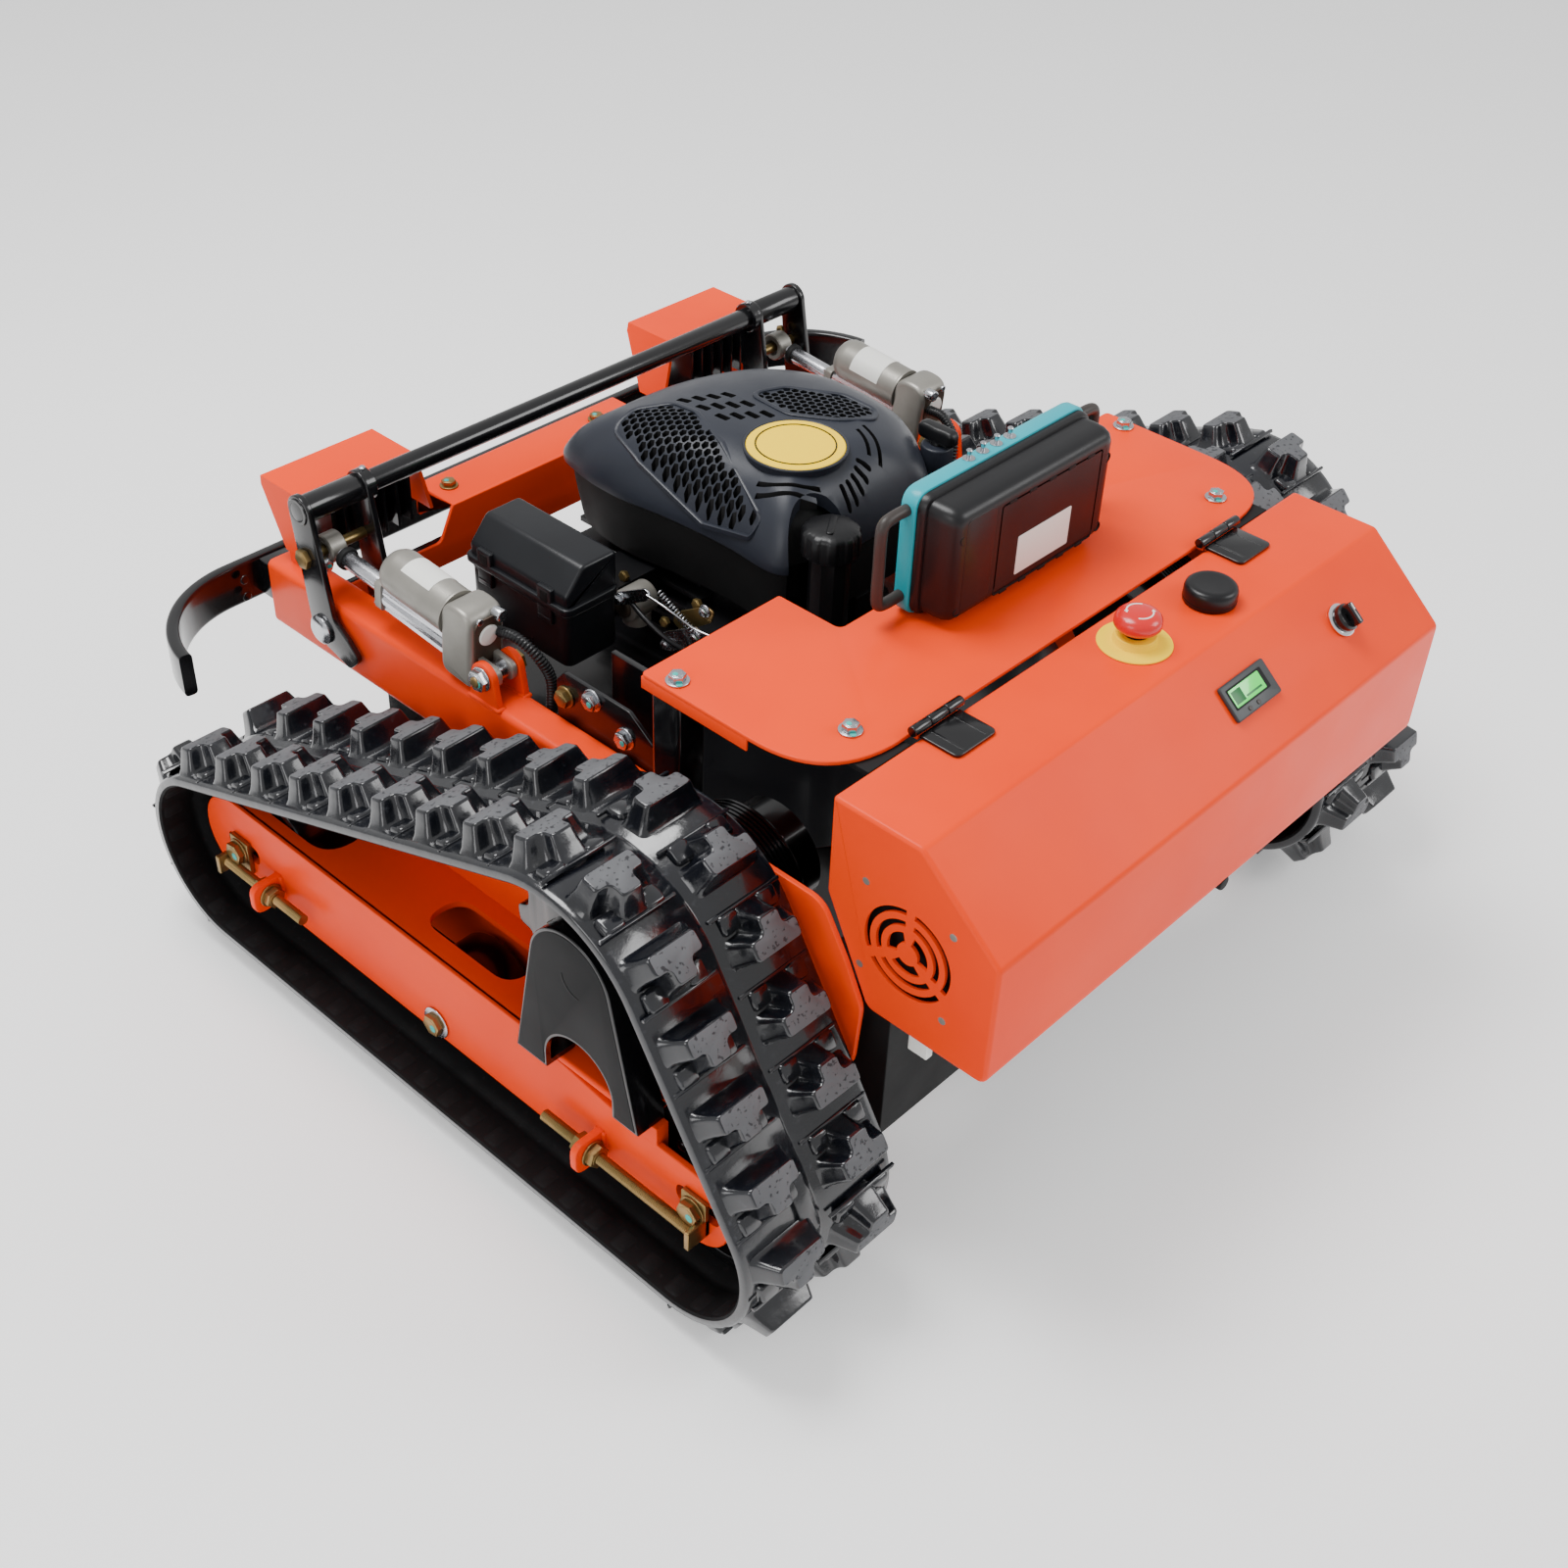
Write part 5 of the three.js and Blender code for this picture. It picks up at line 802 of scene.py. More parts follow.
def drive_sprocket(word, side):
    """Toothed drum: the tooth outline is r = 91.3 + 6 * tanh(3 sin 14a) round the shaft."""
    shape = Shape("sprocket_shell_" + word)
    y, z = DRIVE_AXLE
    angle = np.arange(336) * TAU / 336
    radius = 91.3 + 6 * np.tanh(3 * np.sin(14 * angle))
    teeth = np.stack([y + radius * np.cos(angle), z + radius * np.sin(angle)], axis=1)
    shape.slab(teeth, "x", side * (WHEEL_X - 21), side * (WHEEL_X + 21), "black", 1.2)
    shape.rod((side * 309.6, y, z), (side * WHEEL_X, y, z), 30, "black", 1.5, 48)
    shape.rod((side * WHEEL_X, y, z), (side * 444.7, y, z), 12, "steel", 1, 32)
    hub = [(0, 40), (4, 40), (6, 37), (6, 13), (0, 13)]
    shape.lathe((side * (WHEEL_X + 20), y, z), (side, 0, 0), hub, "black", 48, ring=True)
    for k in range(6):
        a = TAU * k / 6
        at = (side * (WHEEL_X + 20.8), y + 54 * math.cos(a), z + 54 * math.sin(a))
        shape.bolt(at, (side, 0, 0), 7, 5, "zinc", mark=False)
    shape.done("sprocket_" + word, "black", "drive_sprocket_" + word)


def drive_motor(word, side):
    """Hub motor: its flange, a can with eleven ribs, and a ring of small bolts behind it."""
    shape = Shape("motor_shell_" + word)
    y, z = DRIVE_AXLE
    face = 306.3
    flange = [(0, 8), (0, 64.5), (0.8, 66), (2.4, 66), (3, 65), (3, 8)]
    shape.lathe((side * face, y, z), (side, 0, 0), flange, "black", 72, ring=True)
    drum = [(-84, 8), (-84, 42), (-82, 45.5), (-50.5, 45.5), (-50.5, 58), (-48, 60)]
    rib = ((0, 60), (2.2, 60), (2.6, 57.5), (3.6, 57.5))
    ribs = [(-48 + 4 * k + along, radius) for k in range(11) for along, radius in rib]
    can = drum + ribs + [(-3.5, 60), (1, 60), (1, 8)]
    shape.lathe((side * face, y, z), (side, 0, 0), can, "black", 72, ring=True)
    for k in range(8):
        a = TAU * k / 8 + 0.2
        at = (side * (face - 50.5), y + 52 * math.cos(a), z + 52 * math.sin(a))
        shape.rod(at, (at[0] - side * 3, at[1], at[2]), 3, "steel", 0.5, 12)
    shape.done("chassis", "black", "drive_motor_" + word)


def slot_outline(y, z, length, height):
    """Slot with round ends."""
    return rounded(rectangle(y - length / 2, y + length / 2, z - height / 2, z + height / 2), height * 0.5, 6)


def track_frame(word, side):
    """Folded channel with a round nose and tail, its inner web rising to the drive."""
    outer, inner, sheet, top = FRAME.values()
    nose = circle((-306.5, 110.5), 45.5, 20, math.pi / 2, 1.5 * math.pi)
    tail = circle((275, 102), 37, 16, -math.pi / 2, math.pi / 2)
    web = np.concatenate([nose, tail, [(200, 139)], circle((90, 146), 10, 5, 0.8, math.pi / 2)])
    riser = rounded([(-200, top - sheet), (290, 102), (290, top), (205, 326), (90, 326), (-80, 262),
                     (-200, top)], [2, 10, 12, 30, 30, 60, 20], 6)
    shape = Shape("frame_shell_" + word)
    shape.slab(web, "x", side * (outer - sheet), side * outer, "orange", 1.2)
    shape.slab(web, "x", side * inner, side * (inner + sheet), "orange", 1.2)
    shape.slab(riser, "x", side * (inner + 0.01), side * (inner + sheet - 0.01), "orange", 1.2)
    flange = rounded([(inner + 0.02, top - sheet), (outer - 0.02, top - sheet), (outer - 0.02, top),
                      (inner + 0.02, top)], [0.5, 0.5, 5, 0.5], 4)
    shape.slab(flange * (side, 1), "y", -306.5, 214, "orange", 0.8)
    piece = shape.plain()
    pierce(piece, frame_openings(word, side).plain())
    settle(piece, "chassis", ["track_frame_" + word])
    frame_fittings(word, side)


def frame_openings(word, side):
    """Cutter for the frame's two windows, the slots of its axles and the holes of roller and drive."""
    outer, inner, _, top = FRAME.values()
    cuts = Shape("frame_cuts_" + word)
    for half, front, rear, corner in ((28, -354, -187, 27), (21, -68, 43, 20.5)):
        window = rounded(rectangle(WHEEL_X - half, WHEEL_X + half, front, rear), corner, 8) * (side, 1)
        cuts.slab(window, "z", top - 8, top + 2, "orange", 0)
    for key in ("front", "rear"):
        slot = slot_outline(*WHEELS[key][:2], 46, 18)
        cuts.slab(slot, "x", side * (inner - 2), side * (outer + 2), "orange", 0)
    cuts.rod((side * (inner - 2), *ROLLER_AXLE), (side * (outer + 2), *ROLLER_AXLE), 8.5, "orange", 0.1)
    cuts.rod((side * (inner - 3), *DRIVE_AXLE), (side * (inner + 9), *DRIVE_AXLE), 31.5, "orange", 0.1, 48)
    return cuts


def frame_fittings(word, side):
    """Pad in the channel's outer face, two square arms in weld beads, and the tensioners' lugs."""
    extra = Shape("frame_fittings_" + word)
    extra.block((side * 422, side * 434.9), (212, 236), (102, FRAME["top"]), "orange", 1)
    for face, y, z in ((303.3, -58, 241), (306.3, 225, 178)):
        square = rounded(rectangle(y, y + 36, z, z + 36), 4, 4)
        extra.slab(square, "x", side * face, side * 350, "orange", 0.6)
        bead = rounded(rectangle(y - 3, y + 39, z - 3, z + 39), 6, 4)
        extra.slab(bead, "x", side * 345.2, side * FRAME["inner"], "orange", 2.5)
    for y, z, _ in TENSIONERS.values():
        lug = rounded(rectangle(433, 465, z - 15, z + 15), [1, 10, 10, 1], 5)
        extra.slab(lug * (side, 1), "y", y, y + 7, "orange", 1)
        extra.block((side * 433, side * 438), (y - 3, y + 10), (z - 14, z + 14), "orange", 2.2)
    extra.done("chassis", "orange")


def tensioner(word, side, key):
    """Axle bolt in its block, with the nuts and the threaded rod that push it: radius 4.7 + 0.3 cos."""
    y, z, _ = WHEELS[key]
    lug_y, _, toward = TENSIONERS[key]
    rod_z = z - 13
    rod_x = side * 448.0
    shape = Shape(f"{key}_tensioner_shell_{word}")
    out = np.array([side, 0, 0])
    shape.rod((side * 340.7, y, z), (side * 447.3, y, z), 8, "zinc", 1)
    shape.bolt((side * 347.7, y, z), -out, 12, 7, "zinc")
    shape.bolt((side * 440.3, y, z), out, 11, 6, "zinc", washer=12.5)
    shape.block((side * 435.3, side * 440.3), (y - 13, y + 13), (rod_z - 9, z + 13), "zinc", 1)
    stop_y = y - toward * 13
    stop = sorted((stop_y, stop_y + toward * 5))
    shape.block((side * 435.3, side * 458), stop, (rod_z - 9.5, rod_z + 9.5), "zinc", 1)
    far = lug_y + (7 if toward > 0 else 0)
    end = far + toward * 48
    span = np.arange(min(stop_y, end), max(stop_y, end), 0.85)
    thread = np.stack([span - span[0], 4.7 + 0.3 * np.cos(math.pi * np.arange(len(span)))], axis=1)
    shape.lathe((rod_x, span[0], rod_z), (0, 1, 0), thread, "zinc", 24)
    near = lug_y + (0 if toward > 0 else 7)
    for face, way in ((far + toward * 0.3, toward), (near - toward * 0.3, -toward)):
        shape.bolt((rod_x, face, rod_z), (0, way, 0), 10, 7, "zinc", washer=11.5, mark=False)
    shape.done("chassis", "zinc", f"{key}_tensioner_{word}")


def roller_bolt(word, side):
    """Bolt of the middle roller, headed on both sides."""
    shape = Shape("roller_bolt_shell_" + word)
    shape.rod((side * 341, *ROLLER_AXLE), (side * 443, *ROLLER_AXLE), 8, "zinc", 1)
    shape.bolt((side * 347.7, *ROLLER_AXLE), (-side, 0, 0), 12, 7, "zinc", mark=False)
    shape.rod((side * 435.3, *ROLLER_AXLE), (side * 437.2, *ROLLER_AXLE), 15, "steel", 0.7, 36)
    shape.bolt((side * 437, *ROLLER_AXLE), (side, 0, 0), 10.5, 5.8, "zinc")
    shape.done("chassis", "zinc", "roller_bolt_" + word)


ARCH = (167, 171)


def guard_outline(inset):
    """Upright outline of the guard: straight sides leaning in to a round crown."""
    crown = circle((161, 269), 44 - inset, 40, 0.2, math.pi - 0.2)
    return np.concatenate([[(95.0 + inset, 156.3 + inset), (231.0 - inset, 156.3 + inset)], crown])


def drive_guard(word, side):
    """Plate guard over the sprocket: domed outline with its rim turned inward, and an arch cut out."""
    outer = 450.0
    outline = guard_outline(0)
    shape = Shape("guard_shell_" + word)
    shape.slab(outline, "x", side * 420, side * outer, "black", 1.5)
    piece = shape.plain()
    cuts = Shape("guard_cuts_" + word)
    cuts.slab(guard_outline(5), "x", side * 417, side * 445, "black", 0)
    pierce(piece, cuts.plain())
    cuts = Shape("guard_arch_" + word)
    arch = np.concatenate([circle(ARCH, 37, 28, 0, math.pi), [(130.0, 152.0), (204.0, 152.0)]])
    cuts.slab(arch, "x", side * 417, side * 453, "black", 0)
    pierce(piece, cuts.plain())
    settle(piece, "chassis", ["drive_guard_" + word])
    guard_face(word, side)


def guard_face(word, side):
    """Matte plate on the guard inside its rim, the shaft's boss and a thin dark arc beside it."""
    face = Shape("guard_face_" + word)
    skin = guard_outline(2.5)
    skin = np.concatenate([skin[1:], skin[:1], [(128.0, 158.8), (128.0, 171.0)],
                           circle(ARCH, 39, 28, 0, math.pi)[::-1], [(206.0, 158.8)]])
    face.slab(skin, "x", side * 449.2, side * 450.4, "guard", 0.3)
    boss = [(0, 13.5), (0, 23), (1, 24), (15, 24), (15, 13.5)]
    face.lathe((side * 431, *DRIVE_AXLE), (side, 0, 0), boss, "black", 48, ring=True)
    mark = np.concatenate([circle((169, 273), 16.5, 16, 3.2, 4.8),
                           circle((170.4, 274.2), 16.5, 16, 3.2, 4.8)[::-1]])
    face.slab(mark, "x", side * 450.2, side * 450.7, "deep", 0.1)
    face.done("chassis", "black")


# Side beams, lift and bumper

BEAM_X = 285.5
PIVOT = np.array([-104.0, 329.0])
TIP = np.array([-326.0, 348.0])
LEVER_AXLE = (-313.6, 280)
LIFT_BAR = (-328.7, 392.8)
ARM_PIN = (-238.6, 280)
PIPE = (-372, 262)
HINGE_X = 183.8
ACROSS = np.array([1, 0, 0])
SCREW = (TIP - PIVOT) / np.linalg.norm(TIP - PIVOT)
SCREW_LENGTH = float(np.linalg.norm(TIP - PIVOT))
ALONG = np.array([0, *SCREW])
ABOVE = np.array([0, SCREW[1], -SCREW[0]])
MOTOR_HEIGHT = 29


def on_screw(along, above):
    """Points in Y and Z from distances along and above the actuator's screw."""
    along, above = np.asarray(along, float), np.asarray(above, float)
    return np.stack([PIVOT[0] + along * SCREW[0] + above * SCREW[1],
                     PIVOT[1] + along * SCREW[1] - above * SCREW[0]], axis=-1)


def side_beam(word, side):
    """Square tube with round corners and a closed nose, its motor plate and the post that rises from it."""
    shape = Shape("beam_shell_" + word)
    section = rounded(rectangle(268, 303, 239, 305), 7, 6) * (side, 1)
    shape.slab(section, "y", -406, 92, "orange", 2)
    plate = rounded([(60, 211), (91, 178), (312.8, 178), (318, 250), (300, 286), (274.1, 328), (93.5, 328),
                     (60, 298)], [14, 14, 20, 26, 18, 22, 14, 14], 5)
    shape.slab(plate, "x", side * 301, side * 306, "orange", 0.9)
    shape.block((side * 262.3, side * 292.8), (84, 114), (303, 419.7), "black", 2, 5)
    piece = shape.plain()
    cuts = Shape("beam_cuts_" + word)
    cuts.rod((side * 260, *DRIVE_AXLE), (side * 310, *DRIVE_AXLE), 60.5, "orange", 0.1, 72)
    pierce(piece, cuts.plain())
    settle(piece, "chassis", ["side_beam_" + word])
    beam_fittings(word, side)


def beam_fittings(word, side):
    """Ears with the actuator's pin, the levers' axle with domed caps, a stub and the post's bracket."""
    fittings = Shape("beam_fittings_" + word)
    for x in (268.2, 296.8):
        ear = np.concatenate([[(-122, 303.0), (-86.0, 303.0)], circle(PIVOT, 14, 24, 0, math.pi)])
        fittings.slab(ear, "x", side * x, side * (x + 6), "orange", 0.8)
        fittings.block((side * (x - 1.5), side * (x + 7.5)), (-124, -84), (302, 306.5), "orange", 2.2)
    fittings.rod((side * 263, *PIVOT), (side * 312, *PIVOT), 5, "zinc", 1)
    fittings.bolt((side * 302.8, *PIVOT), (side, 0, 0), 10, 6, "steel", washer=11)
    fittings.bolt((side * 268.2, *PIVOT), (-side, 0, 0), 9.5, 6, "zinc", mark=False)
    dome = [(-0.3, 13.4), (1.2, 14), (3, 13.6), (4.7, 11.5), (5.8, 7), (6, 0.6)]
    for x, way in ((312.6, 1), (237.4, -1)):
        fittings.lathe((side * x, *LEVER_AXLE), (side * way, 0, 0), dome, "steel", 40)
    fittings.rod((side * 238, *LEVER_AXLE), (side * 313, *LEVER_AXLE), 8, "steel", 0.5)
    fittings.block((side * 254, side * 266), (-75, -61), (281, 292.7), "black", 1.5)
    fittings.rod((side * 261, -68, 284), (side * 261, -68, 293.6), 7.2, "black", 1, 6)
    bracket = rounded([(-52, 284), (62, 284), (62, 330), (34, 350), (-42, 350), (-52, 338)], 6, 4)
    fittings.slab(bracket, "x", side * 264.4, side * 268.1, "black", 0.8)
    for y, z, finish in ((-41, 326, "zinc"), (-8, 340, "steel"), (30, 322, "steel")):
        fittings.bolt((side * 268, y, z), (side, 0, 0), 8, 5.5, finish, washer=10, mark=finish == "steel")
    fittings.done("chassis", "orange")


def lever_outline(foot_y, foot_z):
    """Side of a lever: a round head at the bar, past the pivot to its foot."""
    head = circle(LIFT_BAR, 15, 20, 0, math.pi)
    corners = [(-328.6, 272.5), (-311.6, 263), (foot_y, foot_z - 15), (foot_y + 15, foot_z),
               (foot_y, foot_z + 15), (-296.6, 295)]
    soft = rounded(np.concatenate([[head[-1]], corners, [head[0]]]), [0.1, 6, 10, 7, 7, 7, 14, 0.1], 4)
    return np.concatenate([head, soft[5:-5]])


def lift_bar():
    """Cross bar with its sleeves and collars, four levers, tip pins and arm pins."""
    shape = Shape("lift_shell")
    sleeve = [(0, 9), (0, 12), (0.8, 12.5), (66, 12.5), (66.8, 11.8), (66.8, 9)]
    collar = [(0, 9), (0, 14), (1, 15), (8, 15), (9, 14), (9, 9)]
    shape.rod((-313.8, *LIFT_BAR), (313.8, *LIFT_BAR), 10, "black", 1.5, 40)
    for _, s in SIDES:
        shape.lathe((s * 247, *LIFT_BAR), (s, 0, 0), sleeve, "black", 40, ring=True)
        shape.lathe((s * 238, *LIFT_BAR), (s, 0, 0), collar, "black", 40, ring=True)
        shape.bolt((s * 242.5, LIFT_BAR[0], 407.4), (0, 0, 1), 3.4, 2.4, "steel", mark=False)
        for x, foot in ((244, ARM_PIN), (306.3, (-279.6, 268))):
            shape.slab(lever_outline(*foot), "x", s * x, s * (x + 6), "black", 1)
        shape.rod((s * 245, *TIP), (s * 315.5, *TIP), 5, "zinc", 1)
        shape.bolt((s * 312.4, *TIP), (s, 0, 0), 9.5, 5.5, "zinc", mark=False)
        shape.bolt((s * 299, -318, 341), (s * 0.35, 0.93, 0), 6.5, 7, "steel")
        shape.bolt((s * 296, -336, 357), (s * 0.5, 0.8, 0.3), 5.5, 6, "zinc", mark=False)
        shape.rod((s * 232, *ARM_PIN), (s * 247, *ARM_PIN), 5.3, "steel", 1)
    shape.done("lift_bar", "black", "lift_bar")


def at_screw(side, a, n=0.0, out=0.0):
    """Point a along and n above an actuator's screw, and out across it."""
    return np.array([side * BEAM_X + out, *on_screw(a, n)])


def ring_at_screw(side, a, n, flat):
    """Flat outline stood square to the screw, round such a point."""
    return at_screw(side, a, n) + flat[:, :1] * ACROSS + flat[:, 1:] * ABOVE


def actuator_motor(shape, side):
    """Gearbox in side outline, and the round motor can above the screw with its seam and blank label."""
    gear = on_screw([14, 52, 52, 14], [-21, -21, 52, 52])
    x = side * BEAM_X
    shape.slab(rounded(gear, [5, 12, 20, 16], 6), "x", x - 18.9, x + 18.9, "silver", 5, steps=5)
    can = [(0, 20), (0.5, 20.8), (70, 21), (76, 20.2), (80.5, 17.5), (83.5, 13.5), (84.2, 8)]
    shape.lathe(at_screw(side, 51.5, MOTOR_HEIGHT), ALONG, can, "silver", 56)
    seam = [(0, 17), (0, 21.0), (1.4, 21.3), (2.8, 21.0), (2.8, 17)]
    shape.lathe(at_screw(side, 50.5, MOTOR_HEIGHT), ALONG, seam, "silver", 56, ring=True)
    start = 0.9 if side > 0 else 0.2
    label = np.concatenate([circle((0, 0), 21.25, 14, start, start + 2),
                            circle((0, 0), 20.25, 14, start, start + 2)[::-1]])
    rings = [ring_at_screw(side, a, MOTOR_HEIGHT, label) for a in (72, 72.4, 108, 108.4)]
    shape.loft(np.array(rings), "label")


def actuator_tube(shape, side):
    """Drawn tube round the screw, a rounded square with eight grooves, and its end cap with four screws."""
    angle = np.arange(32) * TAU / 32
    grooved = 13.3 - 1.6 * (np.arange(32) % 4 == 1)
    radius = grooved / np.maximum(np.abs(np.cos(angle)), np.abs(np.sin(angle))) ** 0.55
    tube = np.clip(radius[:, None] * np.stack([np.cos(angle), np.sin(angle)], axis=1), -13.4, 13.4)
    shape.loft(np.array([ring_at_screw(side, a, 0, tube) for a in (46, 137)]), "extrusion")
    cap = rounded(rectangle(-13.9, 13.9, -13.9, 13.9), 4, 5)
    stages = ((136, 0.97), (136.4, 1), (144.4, 1), (146, 0.93), (146, 0.62), (144, 0.62))
    shape.loft(np.array([ring_at_screw(side, a, 0, share * cap) for a, share in stages]), "silver")
    for u in (-10.5, 10.5):
        for n in (-10.5, 10.5):
            shape.rod(at_screw(side, 145, n, u), at_screw(side, 147.6, n, u), 2.3, "steel", 0.4, 12)


def actuator_back(shape, side):
    """Brown rear face of the gearbox with its bolts and blank disc, the clevis and the cable's spout."""
    for n in (-14.5, 46):
        for u in (-9, 9):
            shape.rod(at_screw(side, 13.6, n, u), at_screw(side, 11.4, n, u), 3.2, "steel", 0.5, 16)
    face = rounded(rectangle(-14.2, 14.2, -17, 46), 10, 6)
    stages = ((14.5, 1), (13.2, 1), (12.7, 0.96))
    rings = [ring_at_screw(side, a, 0, face * (share, 1)) for a, share in stages]
    shape.loft(np.array(rings), "brown_cast")
    disc = [(-0.5, 9.6), (0.8, 9.8), (1.9, 9), (2.3, 7.4), (2.3, 0.5)]
    shape.lathe(at_screw(side, 13, MOTOR_HEIGHT), -ALONG, disc, "label", 36)
    fork = rounded(rectangle(-12, 13.5, -9.5, 9.5), [9, 1, 1, 9], 5)
    for u in (-10.8, 5.3):
        x = side * BEAM_X + u
        shape.slab(on_screw(fork[:, 0], fork[:, 1]), "x", x, x + 5.5, "silver", 0.8)
    bush = [(0, 5.4), (0, 8.6), (21.4, 8.6), (21.4, 5.4)]
    shape.lathe(at_screw(side, 0, 0, -10.7 * side), (side, 0, 0), bush, "steel", 32, ring=True)
    spout = (at_screw(side, 17, 46, -side * 10), at_screw(side, 6.5, 46.5, -side * 10.5))
    shape.rod(*spout, 5.6, "steel", 1.4, 24)


def actuator_body(word, side):
    """Cast motor housing over a drawn tube, with its rear face and clevis."""
    shape = Shape("actuator_shell_" + word)
    actuator_motor(shape, side)
    actuator_tube(shape, side)
    actuator_back(shape, side)
    shape.done("chassis", "silver", "actuator_body_" + word)


def actuator_rod(word, side):
    """Bright rod with a collar and a cross-bored eye."""
    shape = Shape("rod_shell_" + word)
    shape.rod(at_screw(side, 112), at_screw(side, 206), 8, "extrusion", 1, 40)
    shape.rod(at_screw(side, 197), at_screw(side, 203), 10.5, "deep", 1, 40)
    eye = [(0, 8.2), (0, 12.6), (1.2, 13.8), (15.8, 13.8), (17, 12.6), (17, 8.2)]
    tip = at_screw(side, SCREW_LENGTH, out=-8.5 * side)
    shape.lathe(tip, (side, 0, 0), eye, "silver", 48, ring=True)
    shape.done("actuator_rod_" + word, "steel", "actuator_rod_" + word)


SLEEVE_ROUTE = ((276.0, -120.2, 359.1), (272.8, -98.2, 360.1), (267.0, -80.2, 347.1), (260.0, -74.2, 325.1),
                (261.0, -68.0, 293.0))


def cable_sleeve(word, side):
    """Ribbed sleeve: radius 4.5 + 0.65 cos of the way along, one rib every 3, on the smooth route."""
    way = np.array(SLEEVE_ROUTE) * (side, 1, 1)
    start = on_screw(12.5, 29)
    way[0, 1:] = start
    way[1, 1:] = start + (22, 1)
    way[2, 1:] = start + (40, -12)
    way[3, 1:] = start + (46, -34)
    rough = flowing(way, 60)
    steps = np.concatenate([[0], np.cumsum(np.linalg.norm(np.diff(rough, axis=0), axis=1))])
    length = steps[-1]
    stations = np.linspace(0, length, int(length / 0.75))
    path = np.stack([np.interp(stations, steps, rough[:, k]) for k in range(3)], axis=1)
    shape = Shape("cable_sleeve_" + word)
    shape.tube(path, 4.5 + 0.65 * np.cos(TAU * stations / 3.0), "plastic", 16)
    piece = shape.done("chassis", "plastic", "actuator_cable_" + word, sharp=80)
    marks = path[:: max(1, len(path) // 30)]
    marks = np.concatenate([marks, path[-1:]]) if not np.allclose(marks[-1], path[-1]) else marks


def front_bumper():
    """Bar bent back at both ends: its thin section is carried along the bend. Two mounts, four bolts."""
    shape = Shape("bumper_shell")
    bend = circle((331, -323), 106, 28, -math.pi / 2, -0.13)
    line = np.concatenate([[(0.0, -429.0), (160.0, -429.0)], bend])
    line = np.concatenate([line[:0:-1] * (-1, 1), line])
    tangent = np.gradient(line, axis=0)
    tangent /= np.linalg.norm(tangent, axis=1)[:, None]
    normal = np.stack([tangent[:, 1], -tangent[:, 0]], axis=1)
    section = rounded(rectangle(-5.95, 5.95, 258.05, 299.95), [4.5, 4.5, 4.5, 4.5], 5)
    xy = line[:, None] + section[None, :, :1] * normal[:, None]
    z = np.broadcast_to(section[None, :, 1:], (*xy.shape[:2], 1))
    shape.loft(np.concatenate([xy, z], axis=-1), "black")
    for _, s in SIDES:
        shape.block((s * 270.5, s * 300.5), (-424, -406.3), (260, 298), "black", 1.5, 3)
        for z in (270, 288):
            shape.rod((s * 322, -416.9, z), (s * 322, -415.2, z), 4.5, "black", 0.8, 24)
    shape.done("chassis", "black", "front_bumper")


def work_lamp(word, side):
    """Lamp case, edges rounded, with two rows of round reflectors in a raised frame on its front."""
    soften("work_lamp_" + word, "chassis", "black", 1.0)
    shape = Shape("lamp_glass_" + word)
    near, front, top = 180.0, -391.0, 376.7
    cup = [(0, 8.6), (0.9, 9), (1.0, 7.8), (0.2, 5), (0.1, 3), (0.6, 2.6), (0.8, 0.4)]
    for column in range(4):
        for row in range(2):
            at = (side * (near + 15 + column * 19.5), front - 4.1, top - 18 - row * 20)
            shape.lathe(at, (0, -1, 0), cup, "chrome", 24)
    outline = rounded(rectangle(near + 4.5, near + 83.5, top - 51.5, top - 4.5), 5, 4) * (side, 1)
    rim = rounded(rectangle(near + 8, near + 80, top - 48, top - 8), 4, 4) * (side, 1)
    ring = np.stack([outline, outline, rim, rim])
    height = np.array([-4.0, -5.2, -5.2, -4.0])[:, None] + front
    shape.loft(on_axis(ring, "y", np.broadcast_to(height, ring.shape[:2])), "black", closed=True)
    shape.done("chassis", "black")


def lamp_hood(word):
    """Hood of folded sheet, its edges rounded."""
    soften("lamp_hood_" + word, "chassis", "orange", 1.3, 3)


def front_panel():
    """Panel between the lamps with its two bolts, and the black cross pipe in front of it."""
    shape = Shape("panel_shell")
    face = rounded([(-267.7, 253), (267.7, 253), (267.7, 279), (145, 279), (128, 313), (-128, 313),
                    (-145, 279), (-267.7, 279)], [4, 4, 4, 8, 5, 5, 8, 4], 4)
    shape.slab(face, "y", -358, -354, "orange", 0.8)
    lip = rounded([(-412, 279), (-408, 279), (-408, 309), (-354.1, 309), (-354.1, 312.9), (-412, 312.9)],
                  [0.6, 0.6, 2, 0.6, 0.6, 5], 4)
    shape.slab(lip, "x", -127.9, 127.9, "orange", 0.8)
    for _, s in SIDES:
        shape.block((s * 263.7, s * 267.6), (-372, -354.1), (253.1, 278.9), "orange", 0.8)
    for x, y in ((108, -385), (-83, -385)):
        shape.bolt((x, y, 312.9), (0, 0, 1), 7, 5, "zinc", washer=9)
    for _, s in SIDES:
        shape.rod((s * 134, *PIPE), (s * 267.6, *PIPE), 9, "black", 1.5, 32)
    shape.rod((-140, *PIPE), (140, *PIPE), 9, "black", 1.5, 32)
    shape.done("chassis", "orange", "front_panel")


